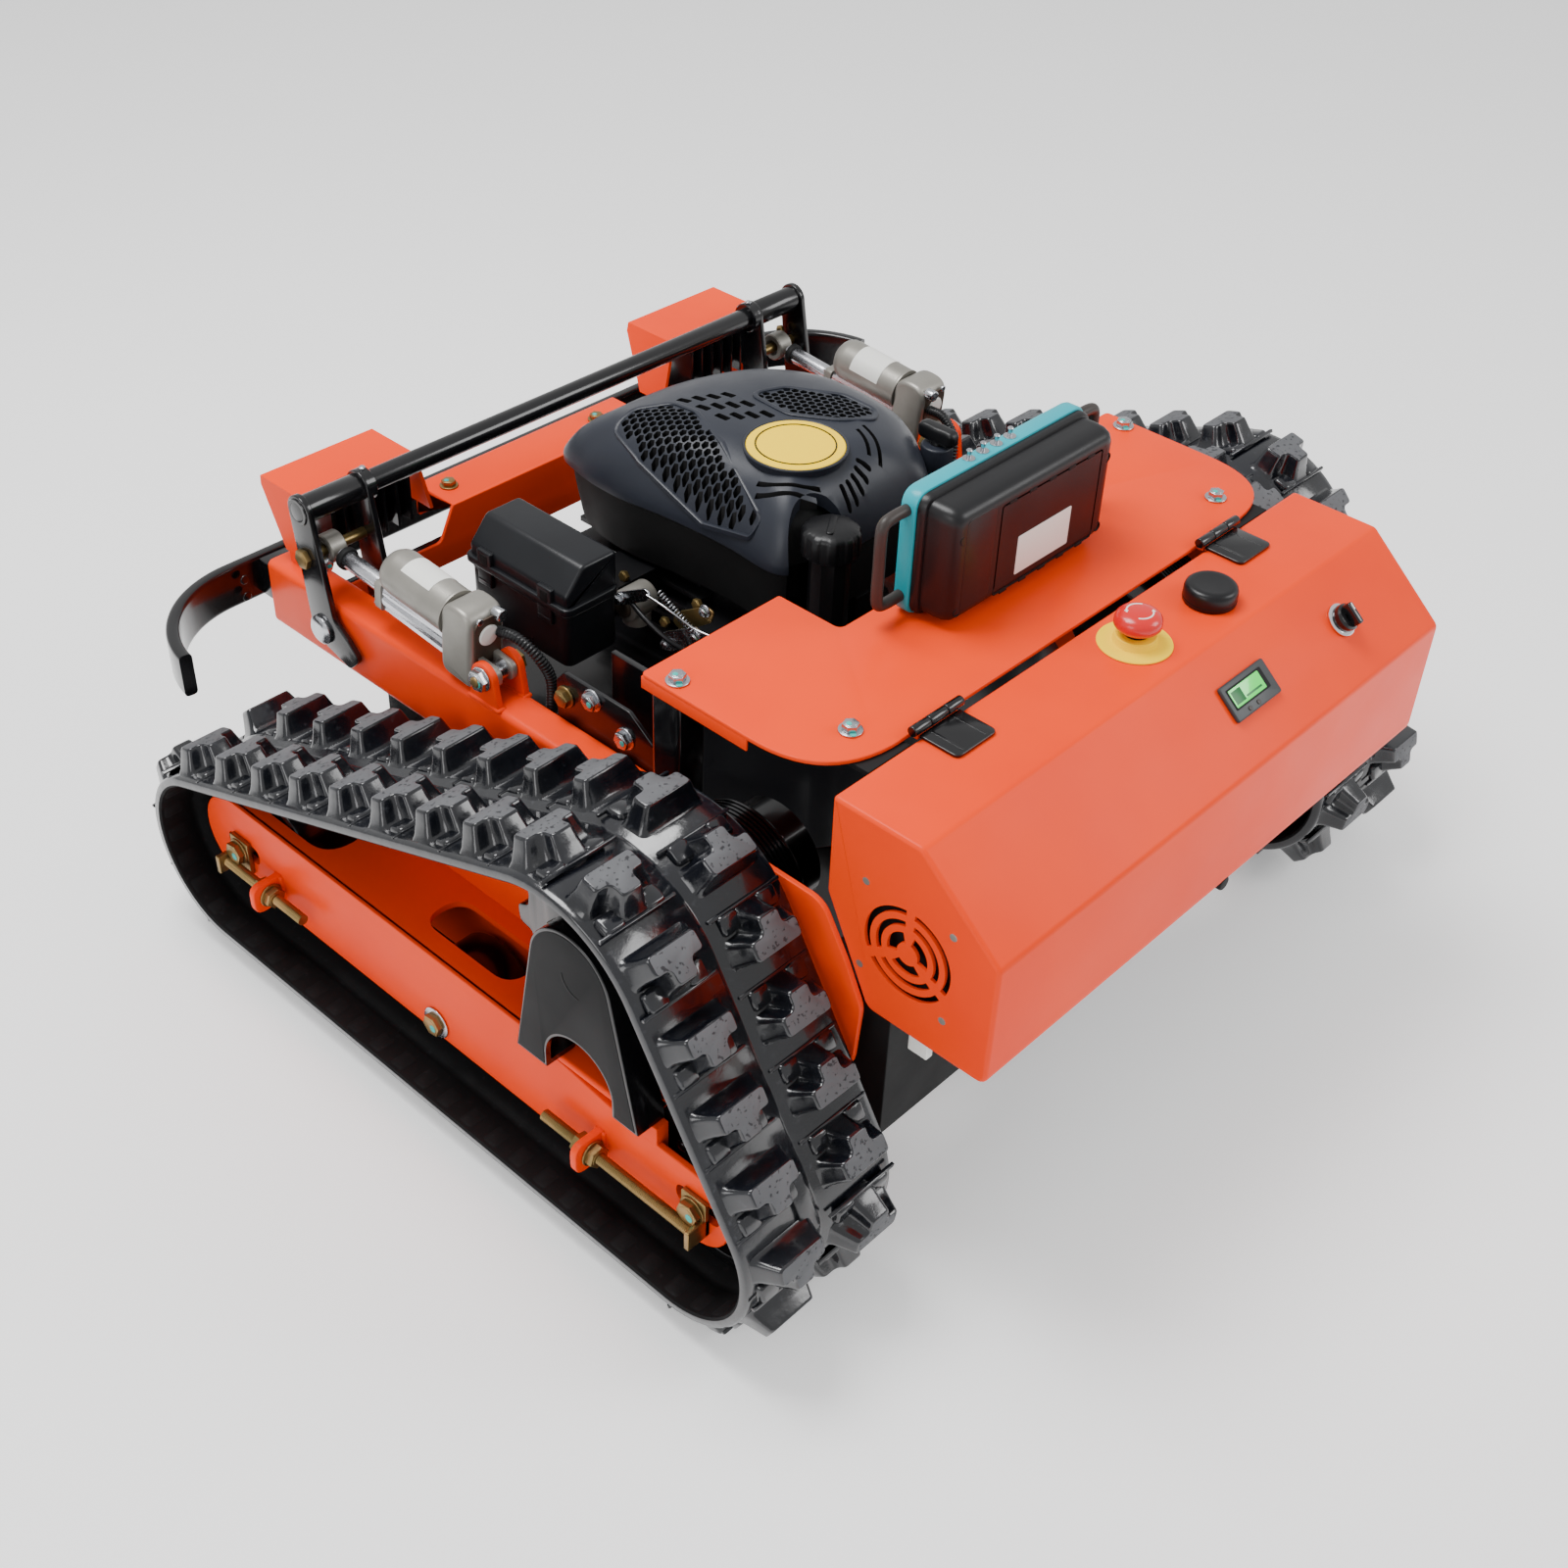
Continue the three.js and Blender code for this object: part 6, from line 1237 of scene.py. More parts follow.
def top_plate():
    """Notched plate with rounded rear corners, folded flanges and four flanged bolts."""
    shape = Shape("top_shell")
    half, front, rear = 295.3, 76.6, 266.0
    corners = [(-144.5, front), (-144.5, 141.3), (144.5, 141.3), (144.5, front), (half, front), (half, rear),
               (-half, rear), (-half, front)]
    outline = rounded(corners, [3, 7, 7, 3, 5, 78, 78, 5], 14)
    shape.slab(outline, "z", 420, 424, "orange", 1.1)
    for _, s in SIDES:
        shape.block((s * 293.3, s * 295.2), (front + 0.1, 186), (410, 421), "orange", 0.6)
        for x, y in ((283.3, 103.6), (236.7, 233.7)):
            shape.bolt((s * x, y, 424), (0, 0, 1), 6.8, 5.6, "steel", washer=9.5, turn=0.35)
            shape.rod((s * x + 4, y + 6, 425.2), (s * x + 4, y + 6, 426.2), 2.6, "teal_mark", 0.3, 12)
        shape.block((s * HINGE_X - 23, s * HINGE_X + 23), (255, 272), (420.1, 423.9), "orange", 0.8)
    shape.done("chassis", "orange", "top_plate")


# Deck and engine

SHAFT = (0, -37)
OIL_FILLER = (36, 35)
CORD_HOLE = (-158, -10)


def mower_deck():
    """Deck of pressed sheet, edges rounded, with the hem along its rim."""
    soften("mower_deck", "deck", "black", 1.6, 3)
    shape = Shape("deck_hem")
    rim = np.concatenate([[(-258.0, -296.0), (258.0, -296.0)], circle(SHAFT, 258, 60, 0, math.pi)])
    stages = [(75.2, 3.6), (78.5, 3.9), (81.5, 3.6), (81.5, -1.0), (75.2, -1.0)]
    rings = np.array([on_axis(rim + step * outward(rim), "z", z) for z, step in stages])
    shape.loft(rings, "black", closed=True)
    shape.done("deck", "black")


def mower_blade():
    """Bar blade: its width tapers to the ends, the trailing edge turned up in a wing."""
    shape = Shape("blade_shell")
    way = np.linspace(-1, 1, 41)
    y = SHAFT[1] + 242 * way
    twist = np.sign(way) * np.clip(np.abs(way) * 1.6 - 0.7, 0, 1)
    section = np.array([(-26, 0.6), (-22, 5), (22, 5), (26, 4), (26, 0.6), (-26, 0.2)])
    x = section[None, :, 0] * (1 - 0.08 * np.abs(way[:, None]))
    trailing = np.clip(-np.sign(twist[:, None]) * section[None, :, 0] / 26, 0, 1)
    z = 96 + section[None, :, 1] + trailing * np.abs(twist[:, None]) * 9
    grid = np.stack([x, np.broadcast_to(y[:, None], x.shape), z], axis=-1)
    shape.loft(grid, "steel")
    shape.rod((*SHAFT, 94), (*SHAFT, 122), 28, "black", 2, 48)
    shape.rod((*SHAFT, 100), (*SHAFT, 226.7), 14, "steel", 1, 32)
    shape.bolt((*SHAFT, 96.2), (0, 0, -1), 12, 2, "steel", mark=False)
    shape.done("blade", "steel", "mower_blade")


def spring(shape, start, end, radius, wire, turns, finish):
    """Coil: a circle of the wire's radius carried on start + share (end - start) + radius (cos, sin)."""
    start, end = np.asarray(start, float), np.asarray(end, float)
    first, second = across(end - start)
    share = np.linspace(0, 1, turns * 12)[:, None]
    angle = share * TAU * turns
    path = start + share * (end - start) + radius * (np.cos(angle) * first + np.sin(angle) * second)
    shape.tube(path, wire, finish, 8)


def engine_block():
    """Crankcase and finned head under the cowl: the CAD node with rounded edges, and the throttle side
    dressed with its carburettor, levers, link rods, springs and screws."""
    soften("engine_block", "deck", "plastic", 1.4, 2)
    shape = Shape("throttle_gear")
    shape.rod((98, -60, 322), (128, -60, 322), 15, "silver", 2, 32)
    shape.rod((124, -60, 322), (131, -60, 322), 10, "brown_cast", 1, 28)
    shape.rod((112, -60, 300), (112, -60, 312), 13, "silver", 1.5, 32)
    shape.bolt((112, -60, 300), (0, 0, -1), 5, 4, "zinc", mark=False)
    lever = rounded([(-64, 330), (-52, 330), (-26, 346), (-20, 356), (-28, 358), (-60, 340)], 3, 4)
    shape.slab(lever, "x", 131, 133, "steel", 0.5)
    arm = rounded([(-20, 300), (-8, 296), (26, 322), (30, 334), (20, 336), (-18, 312)], 4, 4)
    shape.slab(arm, "x", 118, 120.5, "steel", 0.5)
    shape.slab(arm + (4, 18), "x", 108, 110, "zinc", 0.5)
    spring(shape, (121, -22, 352), (121, 24, 330), 3.4, 0.6, 16, "steel")
    spring(shape, (112, -14, 306), (112, 34, 314), 3.0, 0.6, 15, "steel")
    link = [(134, -24, 354), (132, 0, 350), (124, 22, 338), (120, 40, 336)]
    shape.tube(flowing(link), 1.1, "steel", 10)
    hose = [(128, -56, 336), (134, -30, 330), (130, 0, 316), (116, 26, 300), (108, 40, 280)]
    shape.tube(flowing(hose), 2.4, "plastic", 12)
    for at in ((133, -58, 334), (120.5, -12, 303), (120.5, 24, 328), (110, 24, 350)):
        shape.bolt(at, (1, 0, 0), 4.6, 3.6, "steel", washer=6, mark=False)
    for at in ((100, -86, 330), (100, -34, 306), (100, 6, 344)):
        shape.bolt(at, (1, 0, 0.2), 5.2, 5, "zinc", mark=False)
    forward_and_down = (0, -62, -12)
    shape.points = [points + forward_and_down for points in shape.points]
    shape.done("deck", "plastic")


COWL = {"x0": -186.0, "x1": 84.0, "y0": -270.0, "y1": 26.0}
COWL_MIDDLE = np.array([-20.0, -55.0])
COWL_CREASE = 33
# Faces of the cowl below this height are painted near-black as shade
SKIRT_TOP = 379.2
DISC = (-7.0, -47.0)
# The rim's corners, as shares of the cowl's width and length
COWL_RIM_SHARES = np.array([
    [0.922, 0.01], [0.985, 0.132], [1, 0.301], [0.97, 0.503], [0.956, 0.726], [0.963, 0.932], [0.874, 0.986],
    [0.67, 1], [0.467, 1], [0.281, 0.98], [0.133, 0.861], [0.03, 0.709], [0, 0.507], [0.03, 0.304],
    [0.17, 0.128], [0.411, 0.027], [0.689, 0],
])
# Rings of the cowl from its foot up, as rows (share of the rim's size, height)
COWL_SKIRT = ((0.908, 320.0), (0.922, 330.0), (0.95, 362.0), (0.959, 376.0), (0.998, 379.6))
COWL_CROWN = ((1.0, 384.0), (0.995, 388.0), (0.972, 396.0), (0.935, 406.5), (0.87, 419.0), (0.78, 430.0),
              (0.68, 438.3), (0.56, 444.0), (0.44, 447.8), (0.3, 449.4), (0.16, 449.9), (0.05, 450.0))


def cowl_rim():
    """Smooth closed rim through the cowl's outline shares."""
    points = np.stack([COWL["x0"] + COWL_RIM_SHARES[:, 0] * (COWL["x1"] - COWL["x0"]),
                       COWL["y0"] + COWL_RIM_SHARES[:, 1] * (COWL["y1"] - COWL["y0"])], axis=1)
    curve = catmull_rom(np.concatenate([points[-1:], points, points[:2]]), 7)
    return np.clip(curve, (COWL["x0"], COWL["y0"]), (COWL["x1"], COWL["y1"]))


def cowl_ring(share, z):
    """The cowl's rim drawn towards its middle by a share, at a height."""
    return on_axis(COWL_MIDDLE + share * (cowl_rim() - COWL_MIDDLE), "z", z)


def cowl_height(x, y):
    """Height of the cowl's skin over a point, from how far out it lies between the crown's rings."""
    rim = cowl_rim() - COWL_MIDDLE
    angle = np.arctan2(rim[:, 1], rim[:, 0])
    order = np.argsort(angle)
    here = np.array([x, y]) - COWL_MIDDLE
    reach = np.linalg.norm(rim, axis=1)
    edge = np.interp(np.arctan2(here[1], here[0]), angle[order], reach[order], period=TAU)
    shares, heights = np.array(COWL_CROWN[::-1]).T
    return float(np.interp(np.linalg.norm(here) / edge, shares, heights))


def cowl_hole(cuts, outline, place, depth=16):
    """Prism of an outline through the cowl's skin, placed by the skin's height over a point."""
    z = cowl_height(*place)
    cuts.slab(outline, "z", z - depth, z + 14, "deep", 0)


def honeycomb(shape, outline, size, wall):
    """Six-sided holes in rows inside an outline, each a deep prism; half holes at the edge are left out."""
    outline = np.array(outline)
    low, high = outline.min(0), outline.max(0)
    step_x, step_y = size * math.sqrt(3), size * 1.5
    for row in range(int((high[1] - low[1]) / step_y) + 1):
        for column in range(int((high[0] - low[0]) / step_x) + 1):
            x = low[0] + step_x * (column + 0.5 * (row % 2))
            y = low[1] + step_y * row
            if inside(outline, x, y, size * 0.8):
                cowl_hole(shape, circle((x, y), size - wall, 6, math.pi / 6), (x, y), 18)


def inside(outline, x, y, margin):
    """Whether a point lies in a closed outline, at least margin away from every side."""
    a, b = outline, np.roll(outline, -1, axis=0)
    crossing = ((a[:, 1] > y) != (b[:, 1] > y)) & (
        x < (b[:, 0] - a[:, 0]) * (y - a[:, 1]) / (b[:, 1] - a[:, 1] + 1e-9) + a[:, 0])
    edge = b - a
    t = np.clip(((x - a[:, 0]) * edge[:, 0] + (y - a[:, 1]) * edge[:, 1]) / np.sum(edge ** 2, axis=1), 0, 1)
    distance = np.hypot(a[:, 0] + t * edge[:, 0] - x, a[:, 1] + t * edge[:, 1] - y)
    return bool(crossing.sum() % 2 and distance.min() > margin)


LEAF = rounded([(34, -204), (60, -205), (71, -160), (72, -80), (70, -24), (62, -22), (31, -98), (11, -150),
                (8, -182)], [14, 14, 30, 30, 5, 5, 40, 24, 14], 5)
SIDE_LEAF = rounded([(-46, -142), (-80, -128), (-113, -86), (-117, -50), (-98, -37), (-68, -50), (-42, -88)],
                    [14, 16, 20, 12, 12, 24, 20], 5)


def ribbon(shape, line, half, low, high, finish):
    """Raised line: a narrow round-topped strip laid along a path on the cowl's skin."""
    line = np.asarray(line, float)
    z = np.array([cowl_height(*p) for p in line])
    tangent = np.gradient(line, axis=0)
    tangent /= np.maximum(np.linalg.norm(tangent, axis=1)[:, None], 1e-6)
    normal = np.stack([-tangent[:, 1], tangent[:, 0]], axis=1)
    section = np.array([(-half, low), (-half, high * 0.6), (-half * 0.6, high), (half * 0.6, high),
                        (half, high * 0.6), (half, low)])
    xy = line[:, None] + section[None, :, :1] * normal[:, None]
    height = z[:, None, None] + section[None, :, 1:]
    shape.loft(np.concatenate([xy, height], axis=-1), finish)


def arc_line(radius, start, end):
    """Arc round the disc's centre between two angles in degrees."""
    return circle(DISC, radius, 16, math.radians(start), math.radians(end))


def cowl_openings():
    """Cutter for the two honeycombs, the arcs, dashes and spokes beside them, and the two round holes."""
    cuts = Shape("cowl_slots")
    honeycomb(cuts, LEAF, 4.5, 0.8)
    honeycomb(cuts, SIDE_LEAF, 4.5, 0.8)
    for radius, start, end in ((62, 136, 166), (72, 133, 170), (52, 6, 66), (60, 10, 60)):
        line = arc_line(radius, start, end)
        slot = np.concatenate([line, arc_line(radius + 3.6, start, end)[::-1]])
        cowl_hole(cuts, slot, line[8])
    for row in range(3):
        for column in range(4):
            x, y = -2.0 - 10.5 * column + 2.2 * row, -178 + 8 * column + 26 * row
            dash = rounded(rectangle(x - 3.4, x + 3.4, y - 7.5, y + 7.5), 1.6, 3)
            cowl_hole(cuts, dash, (x, y))
    for lean in (90, 99, 108, 117, 126):
        spoke = np.array([math.cos(math.radians(lean)), math.sin(math.radians(lean))])
        a, b = DISC + 52 * spoke, DISC + 66 * spoke
        off = np.array([-spoke[1], spoke[0]]) * 2.4
        slot = rounded(np.array([a - off, b - off, b + off, a + off]), 2.3, 4)
        cowl_hole(cuts, slot, (a + b) / 2)
    cuts.rod((*OIL_FILLER, 300), (*OIL_FILLER, 460), 36, "cowl", 0.1, 64)
    cuts.rod((*CORD_HOLE, 310), (*CORD_HOLE, 430), 6.5, "deep", 0.1, 24)
    return cuts


def cowl_trim():
    """Raised lines round the honeycombs, and the yellow disc with its rim and a dark line."""
    trim = Shape("cowl_trim")
    for outline in (LEAF, SIDE_LEAF):
        ribbon(trim, np.concatenate([outline, outline[:2]]), 2.4, -3.0, 1.6, "cowl")
    top = max(cowl_height(*DISC), 448)
    rim = [(-4, 44.5), (2.2, 46), (3.1, 45.5), (3.4, 44.6), (2.9, 43.6), (-4, 43.6)]
    trim.lathe((*DISC, top - 3), (0, 0, 1), rim, "cowl", 96, ring=True)
    face = [(-3, 43.2), (2.7, 43.2), (3.3, 42.6), (3.6, 30), (3.7, 0.5)]
    trim.lathe((*DISC, top - 3), (0, 0, 1), face, "yellow", 96)
    line = [(0, 35.5), (0.62, 35.5), (0.62, 34.2), (0, 34.2)]
    trim.lathe((*DISC, top + 0.3), (0, 0, 1), line, "deep", 96, ring=True)
    trim.done("deck", "cowl")


def cowl_shade_liner():
    """Dark body under the cowl's skin, seen through its openings: painted shade inside the cowl."""
    liner = Shape("cowl_shade_liner")
    inner = ((0.86, 379.0), (0.77, 406.0), (0.58, 425.3), (0.34, 434.8), (0.06, 437.0))
    liner.loft(np.array([cowl_ring(share, z) for share, z in inner]), "deep")
    liner.done("deck", "cowl")


def engine_cowl():
    """Rounded cowl: rings of its rim drawn towards its middle, hollow and pierced, its skirt painted
    near-black as shade.
    """
    shape = Shape("cowl_shell")
    shape.loft(np.array([cowl_ring(share, z) for share, z in COWL_SKIRT + COWL_CROWN]), "cowl")
    shape.rod((*CORD_HOLE, 380), (*CORD_HOLE, 408.5), 15, "cowl", 2, 40)
    piece = shape.plain(COWL_CREASE)
    cuts = Shape("cowl_cuts")
    hollow = ((0.87, 316.0), (0.94, 371.0), (0.915, 386.0), (0.825, 413.0), (0.635, 432.8), (0.395, 442.3),
              (0.115, 444.5))
    cuts.loft(np.array([cowl_ring(share, z) for share, z in hollow]), "deep")
    pierce(piece, cuts.plain(), COWL_CREASE)
    pierce(piece, cowl_openings().plain(), COWL_CREASE)
    # The skirt's faces below SKIRT_TOP take the near-black finish: painted shade on the cowl's undercut
    # flank.
    piece.data.materials.append(FINISH["deep"])
    for face in piece.data.polygons:
        if face.center.z < SKIRT_TOP * MM:
            face.material_index = len(piece.data.materials) - 1
    settle(piece, "deck", ["engine_cowl"])
    cowl_trim()
    cowl_shade_liner()


def air_filter():
    """Air box: lower case, lip, sloped lid with a rounded top, a groove round it and two clips."""
    shape = Shape("air_box_shell")
    lower = rounded(rectangle(146, 205, -235, -109), 9, 6)
    shape.slab(lower, "z", 287, 343, "filter", 2)
    lip = rounded(rectangle(146, 209, -239, -105), 9, 6)
    shape.slab(lip, "z", 341.2, 348.8, "filter", 1.6)
    groove = lower + 0.8 * outward(lower)
    shape.slab(groove, "z", 336.5, 339.0, "filter", 0.8)
    lid = rounded([(146, 345), (205, 345), (205, 359), (185, 382), (146, 382)], [1, 1, 8, 9, 5], 6)
    shape.slab(lid, "y", -235, -109, "filter", 4, steps=4)
    ridge = rounded([(150, 365), (186, 365), (181, 381.9), (150, 381.9)], [1, 3, 5, 3], 4)
    shape.slab(ridge, "y", -228, -190, "filter", 2.5)
    for y in (-212, -134):
        shape.block((203, 208.6), (y - 9, y + 9), (326, 361), "filter", 1.4)
        shape.block((207, 209.0), (y - 5, y + 5), (346, 358), "deep", 0.9)
        shape.rod((206.8, y - 8, 331), (206.8, y + 8, 331), 2.2, "filter", 0.6, 16)
    shape.rod((170, -172, 381), (170, -172, 381.95), 9, "filter", 0.4, 32)
    shape.done("deck", "plastic", "air_filter")


def oil_cap():
    """Ridged cap, radius 25.4 + 0.6 tanh(4 sin 10a), with a domed top and a low bar across it."""
    shape = Shape("oil_cap_shell")
    angle = np.arange(160) * TAU / 160
    wave = np.tanh(4 * np.sin(10 * angle))
    way = np.stack([np.cos(angle), np.sin(angle)], axis=1)
    stages = [(398.3, 23.4, 0), (399.3, 25.0, 0.2), (401.5, 25.4, 0.6), (418, 24.8, 0.7), (420.5, 23.4, 0.4),
              (422.6, 20, 0), (424.0, 12, 0), (424.4, 6, 0), (424.5, 1, 0)]
    rings = [on_axis(OIL_FILLER + (r + swell * wave)[:, None] * way, "z", z) for z, r, swell in stages]
    shape.loft(np.array(rings), "plastic")
    grip = rounded([(-15, -3.2), (15, -3.2), (15, 3.2), (-15, 3.2)], 3, 4)
    turn = np.array([[math.cos(0.6), math.sin(0.6)], [-math.sin(0.6), math.cos(0.6)]])
    shape.slab(grip @ turn + OIL_FILLER, "z", 422.5, 425.2, "plastic", 1.0)
    shape.done("oil_cap", "plastic", "oil_cap")


def starter_handle():
    """Moulded pull grip with finger swells, on its cord stem."""
    shape = Shape("grip_shell")
    way = np.linspace(0, 1, 24)
    swell = 1 + 0.06 * np.cos(way * TAU * 2)
    end = np.sqrt(np.clip(1 - (2 * way - 1) ** 8, 0.12, 1))
    section = rounded(rectangle(-7.5, 7.5, -8.5, 8.5), 5.5, 6)
    y = CORD_HOLE[1] - 21 + 42 * way
    x = CORD_HOLE[0] + section[None, :, 0] * (0.93 * swell * end)[:, None]
    z = 418.5 + section[None, :, 1] * (0.97 * end)[:, None]
    shape.loft(np.stack([x, np.broadcast_to(y[:, None], x.shape), z], axis=-1), "plastic")
    shape.rod((*CORD_HOLE, 376), (*CORD_HOLE, 412), 4.6, "plastic", 1, 20)
    foot = [(0, 4), (0, 6.5), (2, 6), (3.4, 4.8), (3.4, 4)]
    shape.lathe((*CORD_HOLE, 408.7), (0, 0, 1), foot, "plastic", 24, ring=True)
    shape.done("starter_handle", "plastic", "starter_handle")


# Rear box

HOUSE = {"half": 299.9, "y0": 273.5, "y1": 429.8, "y_top": 354.4, "top": 422.6, "z_back": 359.1,
         "bottom": 247.0, "foot_y": 318.0, "foot_z": 335.0}
VENT = (350.5, 323)
STOP = (-6, 312)
AERIAL = (-99.5, 318.5)
LID_TOP = 422.9
# Places on the sloping face: X, and the way down from its top bend
DIAL = (-193.8, 45.8)
METER = (-54.5, 46.5)
CHAMFER = np.array([HOUSE["y1"] - HOUSE["y_top"], HOUSE["z_back"] - HOUSE["top"]])
DOWN = CHAMFER / np.linalg.norm(CHAMFER)
OUT = np.array([-DOWN[1], DOWN[0]])
FACE_AXIS = np.array([0.0, OUT[0], OUT[1]])


def on_chamfer(x, along, out):
    """A point on the sloping face: x across, along it downward from the top bend, and out from it."""
    yz = np.array([HOUSE["y_top"], HOUSE["top"]]) + along * DOWN + out * OUT
    return np.array([x, *yz])


def chamfer_slab(shape, outline, low, high, finish, edge=0.8):
    """Plate on the sloping face: an outline in x and along, carried out from low to high."""
    outline = np.asarray(outline, float)
    drawn, heights = round_rims(low, high, edge, 3)
    flat = outline[None] - drawn[:, None, None] * outward(outline)[None]
    base = np.array([0, HOUSE["y_top"], HOUSE["top"]])
    rings = base + flat[..., :1] * ACROSS + flat[..., 1:] * np.array([0, *DOWN])
    shape.loft(rings + heights[:, None, None] * FACE_AXIS, finish)


def rear_housing():
    """Folded housing with round bends, hollow below, with round vents and holes for the controls. The
    bend radius at its top front edge is more than the rim's rounding, so that the corner can't fold."""
    shape = Shape("housing_shell")
    h = HOUSE
    corners = [(h["y0"], h["top"]), (h["y0"], h["foot_z"]), (h["foot_y"], h["bottom"]),
               (h["y1"], h["bottom"]), (h["y1"], h["z_back"]), (h["y_top"], h["top"])]
    outline = rounded(corners, [3.8, 12, 12, 10, 8, 8], 6)
    shape.slab(outline, "x", -HOUSE["half"], HOUSE["half"], "orange", 3.2, steps=4)
    piece = shape.plain()
    cuts = Shape("housing_cuts")
    inner = [(271.5, 419.6), (271.5, 245), (426.8, 245), (426.8, 357.6), (352.9, 419.6)]
    cuts.slab(rounded(inner, [0.5, 0.5, 0.5, 6, 6], 5), "x", -297, 297, "orange", 0)
    pierce(piece, cuts.plain())
    pierce(piece, housing_openings().plain())
    for face in piece.data.polygons:
        face.use_smooth = abs(face.normal.x) < 0.9999
    settle(piece, "lid", ["rear_housing"])
    housing_screws()
    vent_shade_sheets()


def housing_openings():
    """Cutter for the holes of the stop switch, the dial and the meter, and the vents of arcs in the sides."""
    cuts = Shape("housing_holes")
    cuts.rod((*STOP, 415), (*STOP, 428), 10, "orange", 0.1, 32)
    cuts.rod(on_chamfer(*DIAL, -8), on_chamfer(*DIAL, 5), 6.5, "orange", 0.1, 24)
    chamfer_slab(cuts, rectangle(-81.8, -27.2, 34, 59), -8, 5, "orange", 0)
    for _, s in SIDES:
        for low, high in ((9.5, 18.5), (24.0, 29.0), (34.5, 39.5)):
            for k in range(3):
                lean = 7.6 / (low + high)
                start, end = TAU * (0.25 + k / 3) + lean, TAU * (0.25 + (k + 1) / 3) - lean
                band = np.concatenate([circle(VENT, high, 18, start, end),
                                       circle(VENT, low, 18, start, end)[::-1]])
                cuts.slab(band, "x", s * 290, s * 305, "orange", 0)
    return cuts


def housing_screws():
    """Four flat domed screws in each side of the housing."""
    screws = Shape("housing_screws")
    dome = [(-1.2, 5.0), (-0.5, 5.0), (-0.1, 4.2), (0.08, 2.6), (0.1, 0.4)]
    for _, s in SIDES:
        for y, z in ((308.8, 365.8), (388, 364), (308.7, 286), (386.5, 282.6)):
            screws.lathe((s * HOUSE["half"], y, z), (s, 0, 0), dome, "silver", 24)
    screws.done("lid", "silver")


def vent_shade_sheets():
    """Dark sheet and collar behind each vent: painted shade for the hollow inside the housing."""
    liner = Shape("vent_shade_sheet")
    collar = [(-8, 45.9), (0.2, 45.9), (0.2, 43.6), (-8, 43.6)]
    for _, s in SIDES:
        liner.slab(circle(VENT, 46, 48), "x", s * 288.5, s * 290.0, "deep", 0.3)
        liner.lathe((s * 297, *VENT), (s, 0, 0), collar, "deep", 48, ring=True)
    liner.done("lid", "black")


def rear_tray():
    """Tray with softened edges, a rubber stub, a blank tag and two cable grommets in its front wall."""
    soften("rear_tray", "chassis", "deep", 1.6, 2)
    shape = Shape("tray_fittings")
    shape.rod((-7, 415, 248.0), (-7, 429.7, 248.0), 6.6, "deep", 1.6, 28)
    shape.block((284, 291.5), (353, 371), (224, 244), "label", 1.2)
    grommet = [(-0.6, 9), (1.0, 9), (1.4, 7.5), (1.2, 5.4), (-0.6, 5.2)]
    for x in (-120, 120):
        shape.lathe((x, 275, 380), (0, -1, 0), grommet, "plastic", 32)
    shape.done("chassis", "black")


def battery():
    """Battery: case with ribs on its sides, a lid step and two terminals with lead clamps."""
    shape = Shape("battery_shell")
    case = rounded(rectangle(-90.6, 90.6, 330.5, 407.5), 5, 4)
    shape.slab(case, "z", 257.3, 336, "cell", 2)
    shape.slab(rounded(rectangle(-91, 91, 330, 408), 5, 4), "z", 334, 363.3, "plastic", 2)
    for k in range(15):
        x = -84 + 12 * k
        for y in (330.4, 407.6):
            shape.rod((x, y, 262), (x, y, 332), 0.9, "cell", 0.4, 8)
    terminal = [(-1, 8), (1.2, 8), (1.6, 6.4), (7.4, 5.8), (8.2, 5), (8.3, 0.5)]
    clamp = [(0.2, 6.6), (0.2, 9.4), (3.6, 9.2), (3.6, 6.4)]
    for x, finish in ((75, "red"), (-75, "deep")):
        shape.lathe((x, 369, 363), (0, 0, 1), terminal, "steel", 32)
        shape.lathe((x, 369, 363.4), (0, 0, 1), clamp, finish, 32, ring=True)
    for k in range(6):
        shape.rod((-55 + 22 * k, 350, 362.5), (-55 + 22 * k, 350, 364.6), 7, "plastic", 0.7, 24)
    shape.done("chassis", "cell", "battery")


def lid_hinge(word, side):
    """Hinge of bent sheet: two leaves, two faint beads, and a barrel in three knuckles on its pin."""
    shape = Shape("hinge_shell_" + word)
    x = side * HINGE_X
    leaf = rounded(rectangle(x - 23, x + 23, 273.2, 309.3), [0.6, 0.6, 6, 6], 5)
    shape.slab(leaf, "z", LID_TOP, 425.5, "black", 0.7)
    front = rounded(rectangle(x - 23, x + 23, 262, 272), [3, 3, 0.6, 0.6], 4)
    shape.slab(front, "z", 424.3, 425.6, "black", 0.4)
    for u in (-13, 13):
        shape.block((x + u - 1.2, x + u + 1.2), (276, 306), (425.2, 425.75), "black", 0.2)
    barrel = (270, 428.9)
    for low, high in ((-28, -10), (-9.4, 9.4), (10, 28)):
        shape.rod((x + low, *barrel), (x + high, *barrel), 4.3, "black", 0.8, 28)
    shape.rod((x - 27.5, *barrel), (x + 27.5, *barrel), 2.2, "steel", 0.3, 16)
    shape.done("lid", "black", "lid_hinge_" + word)


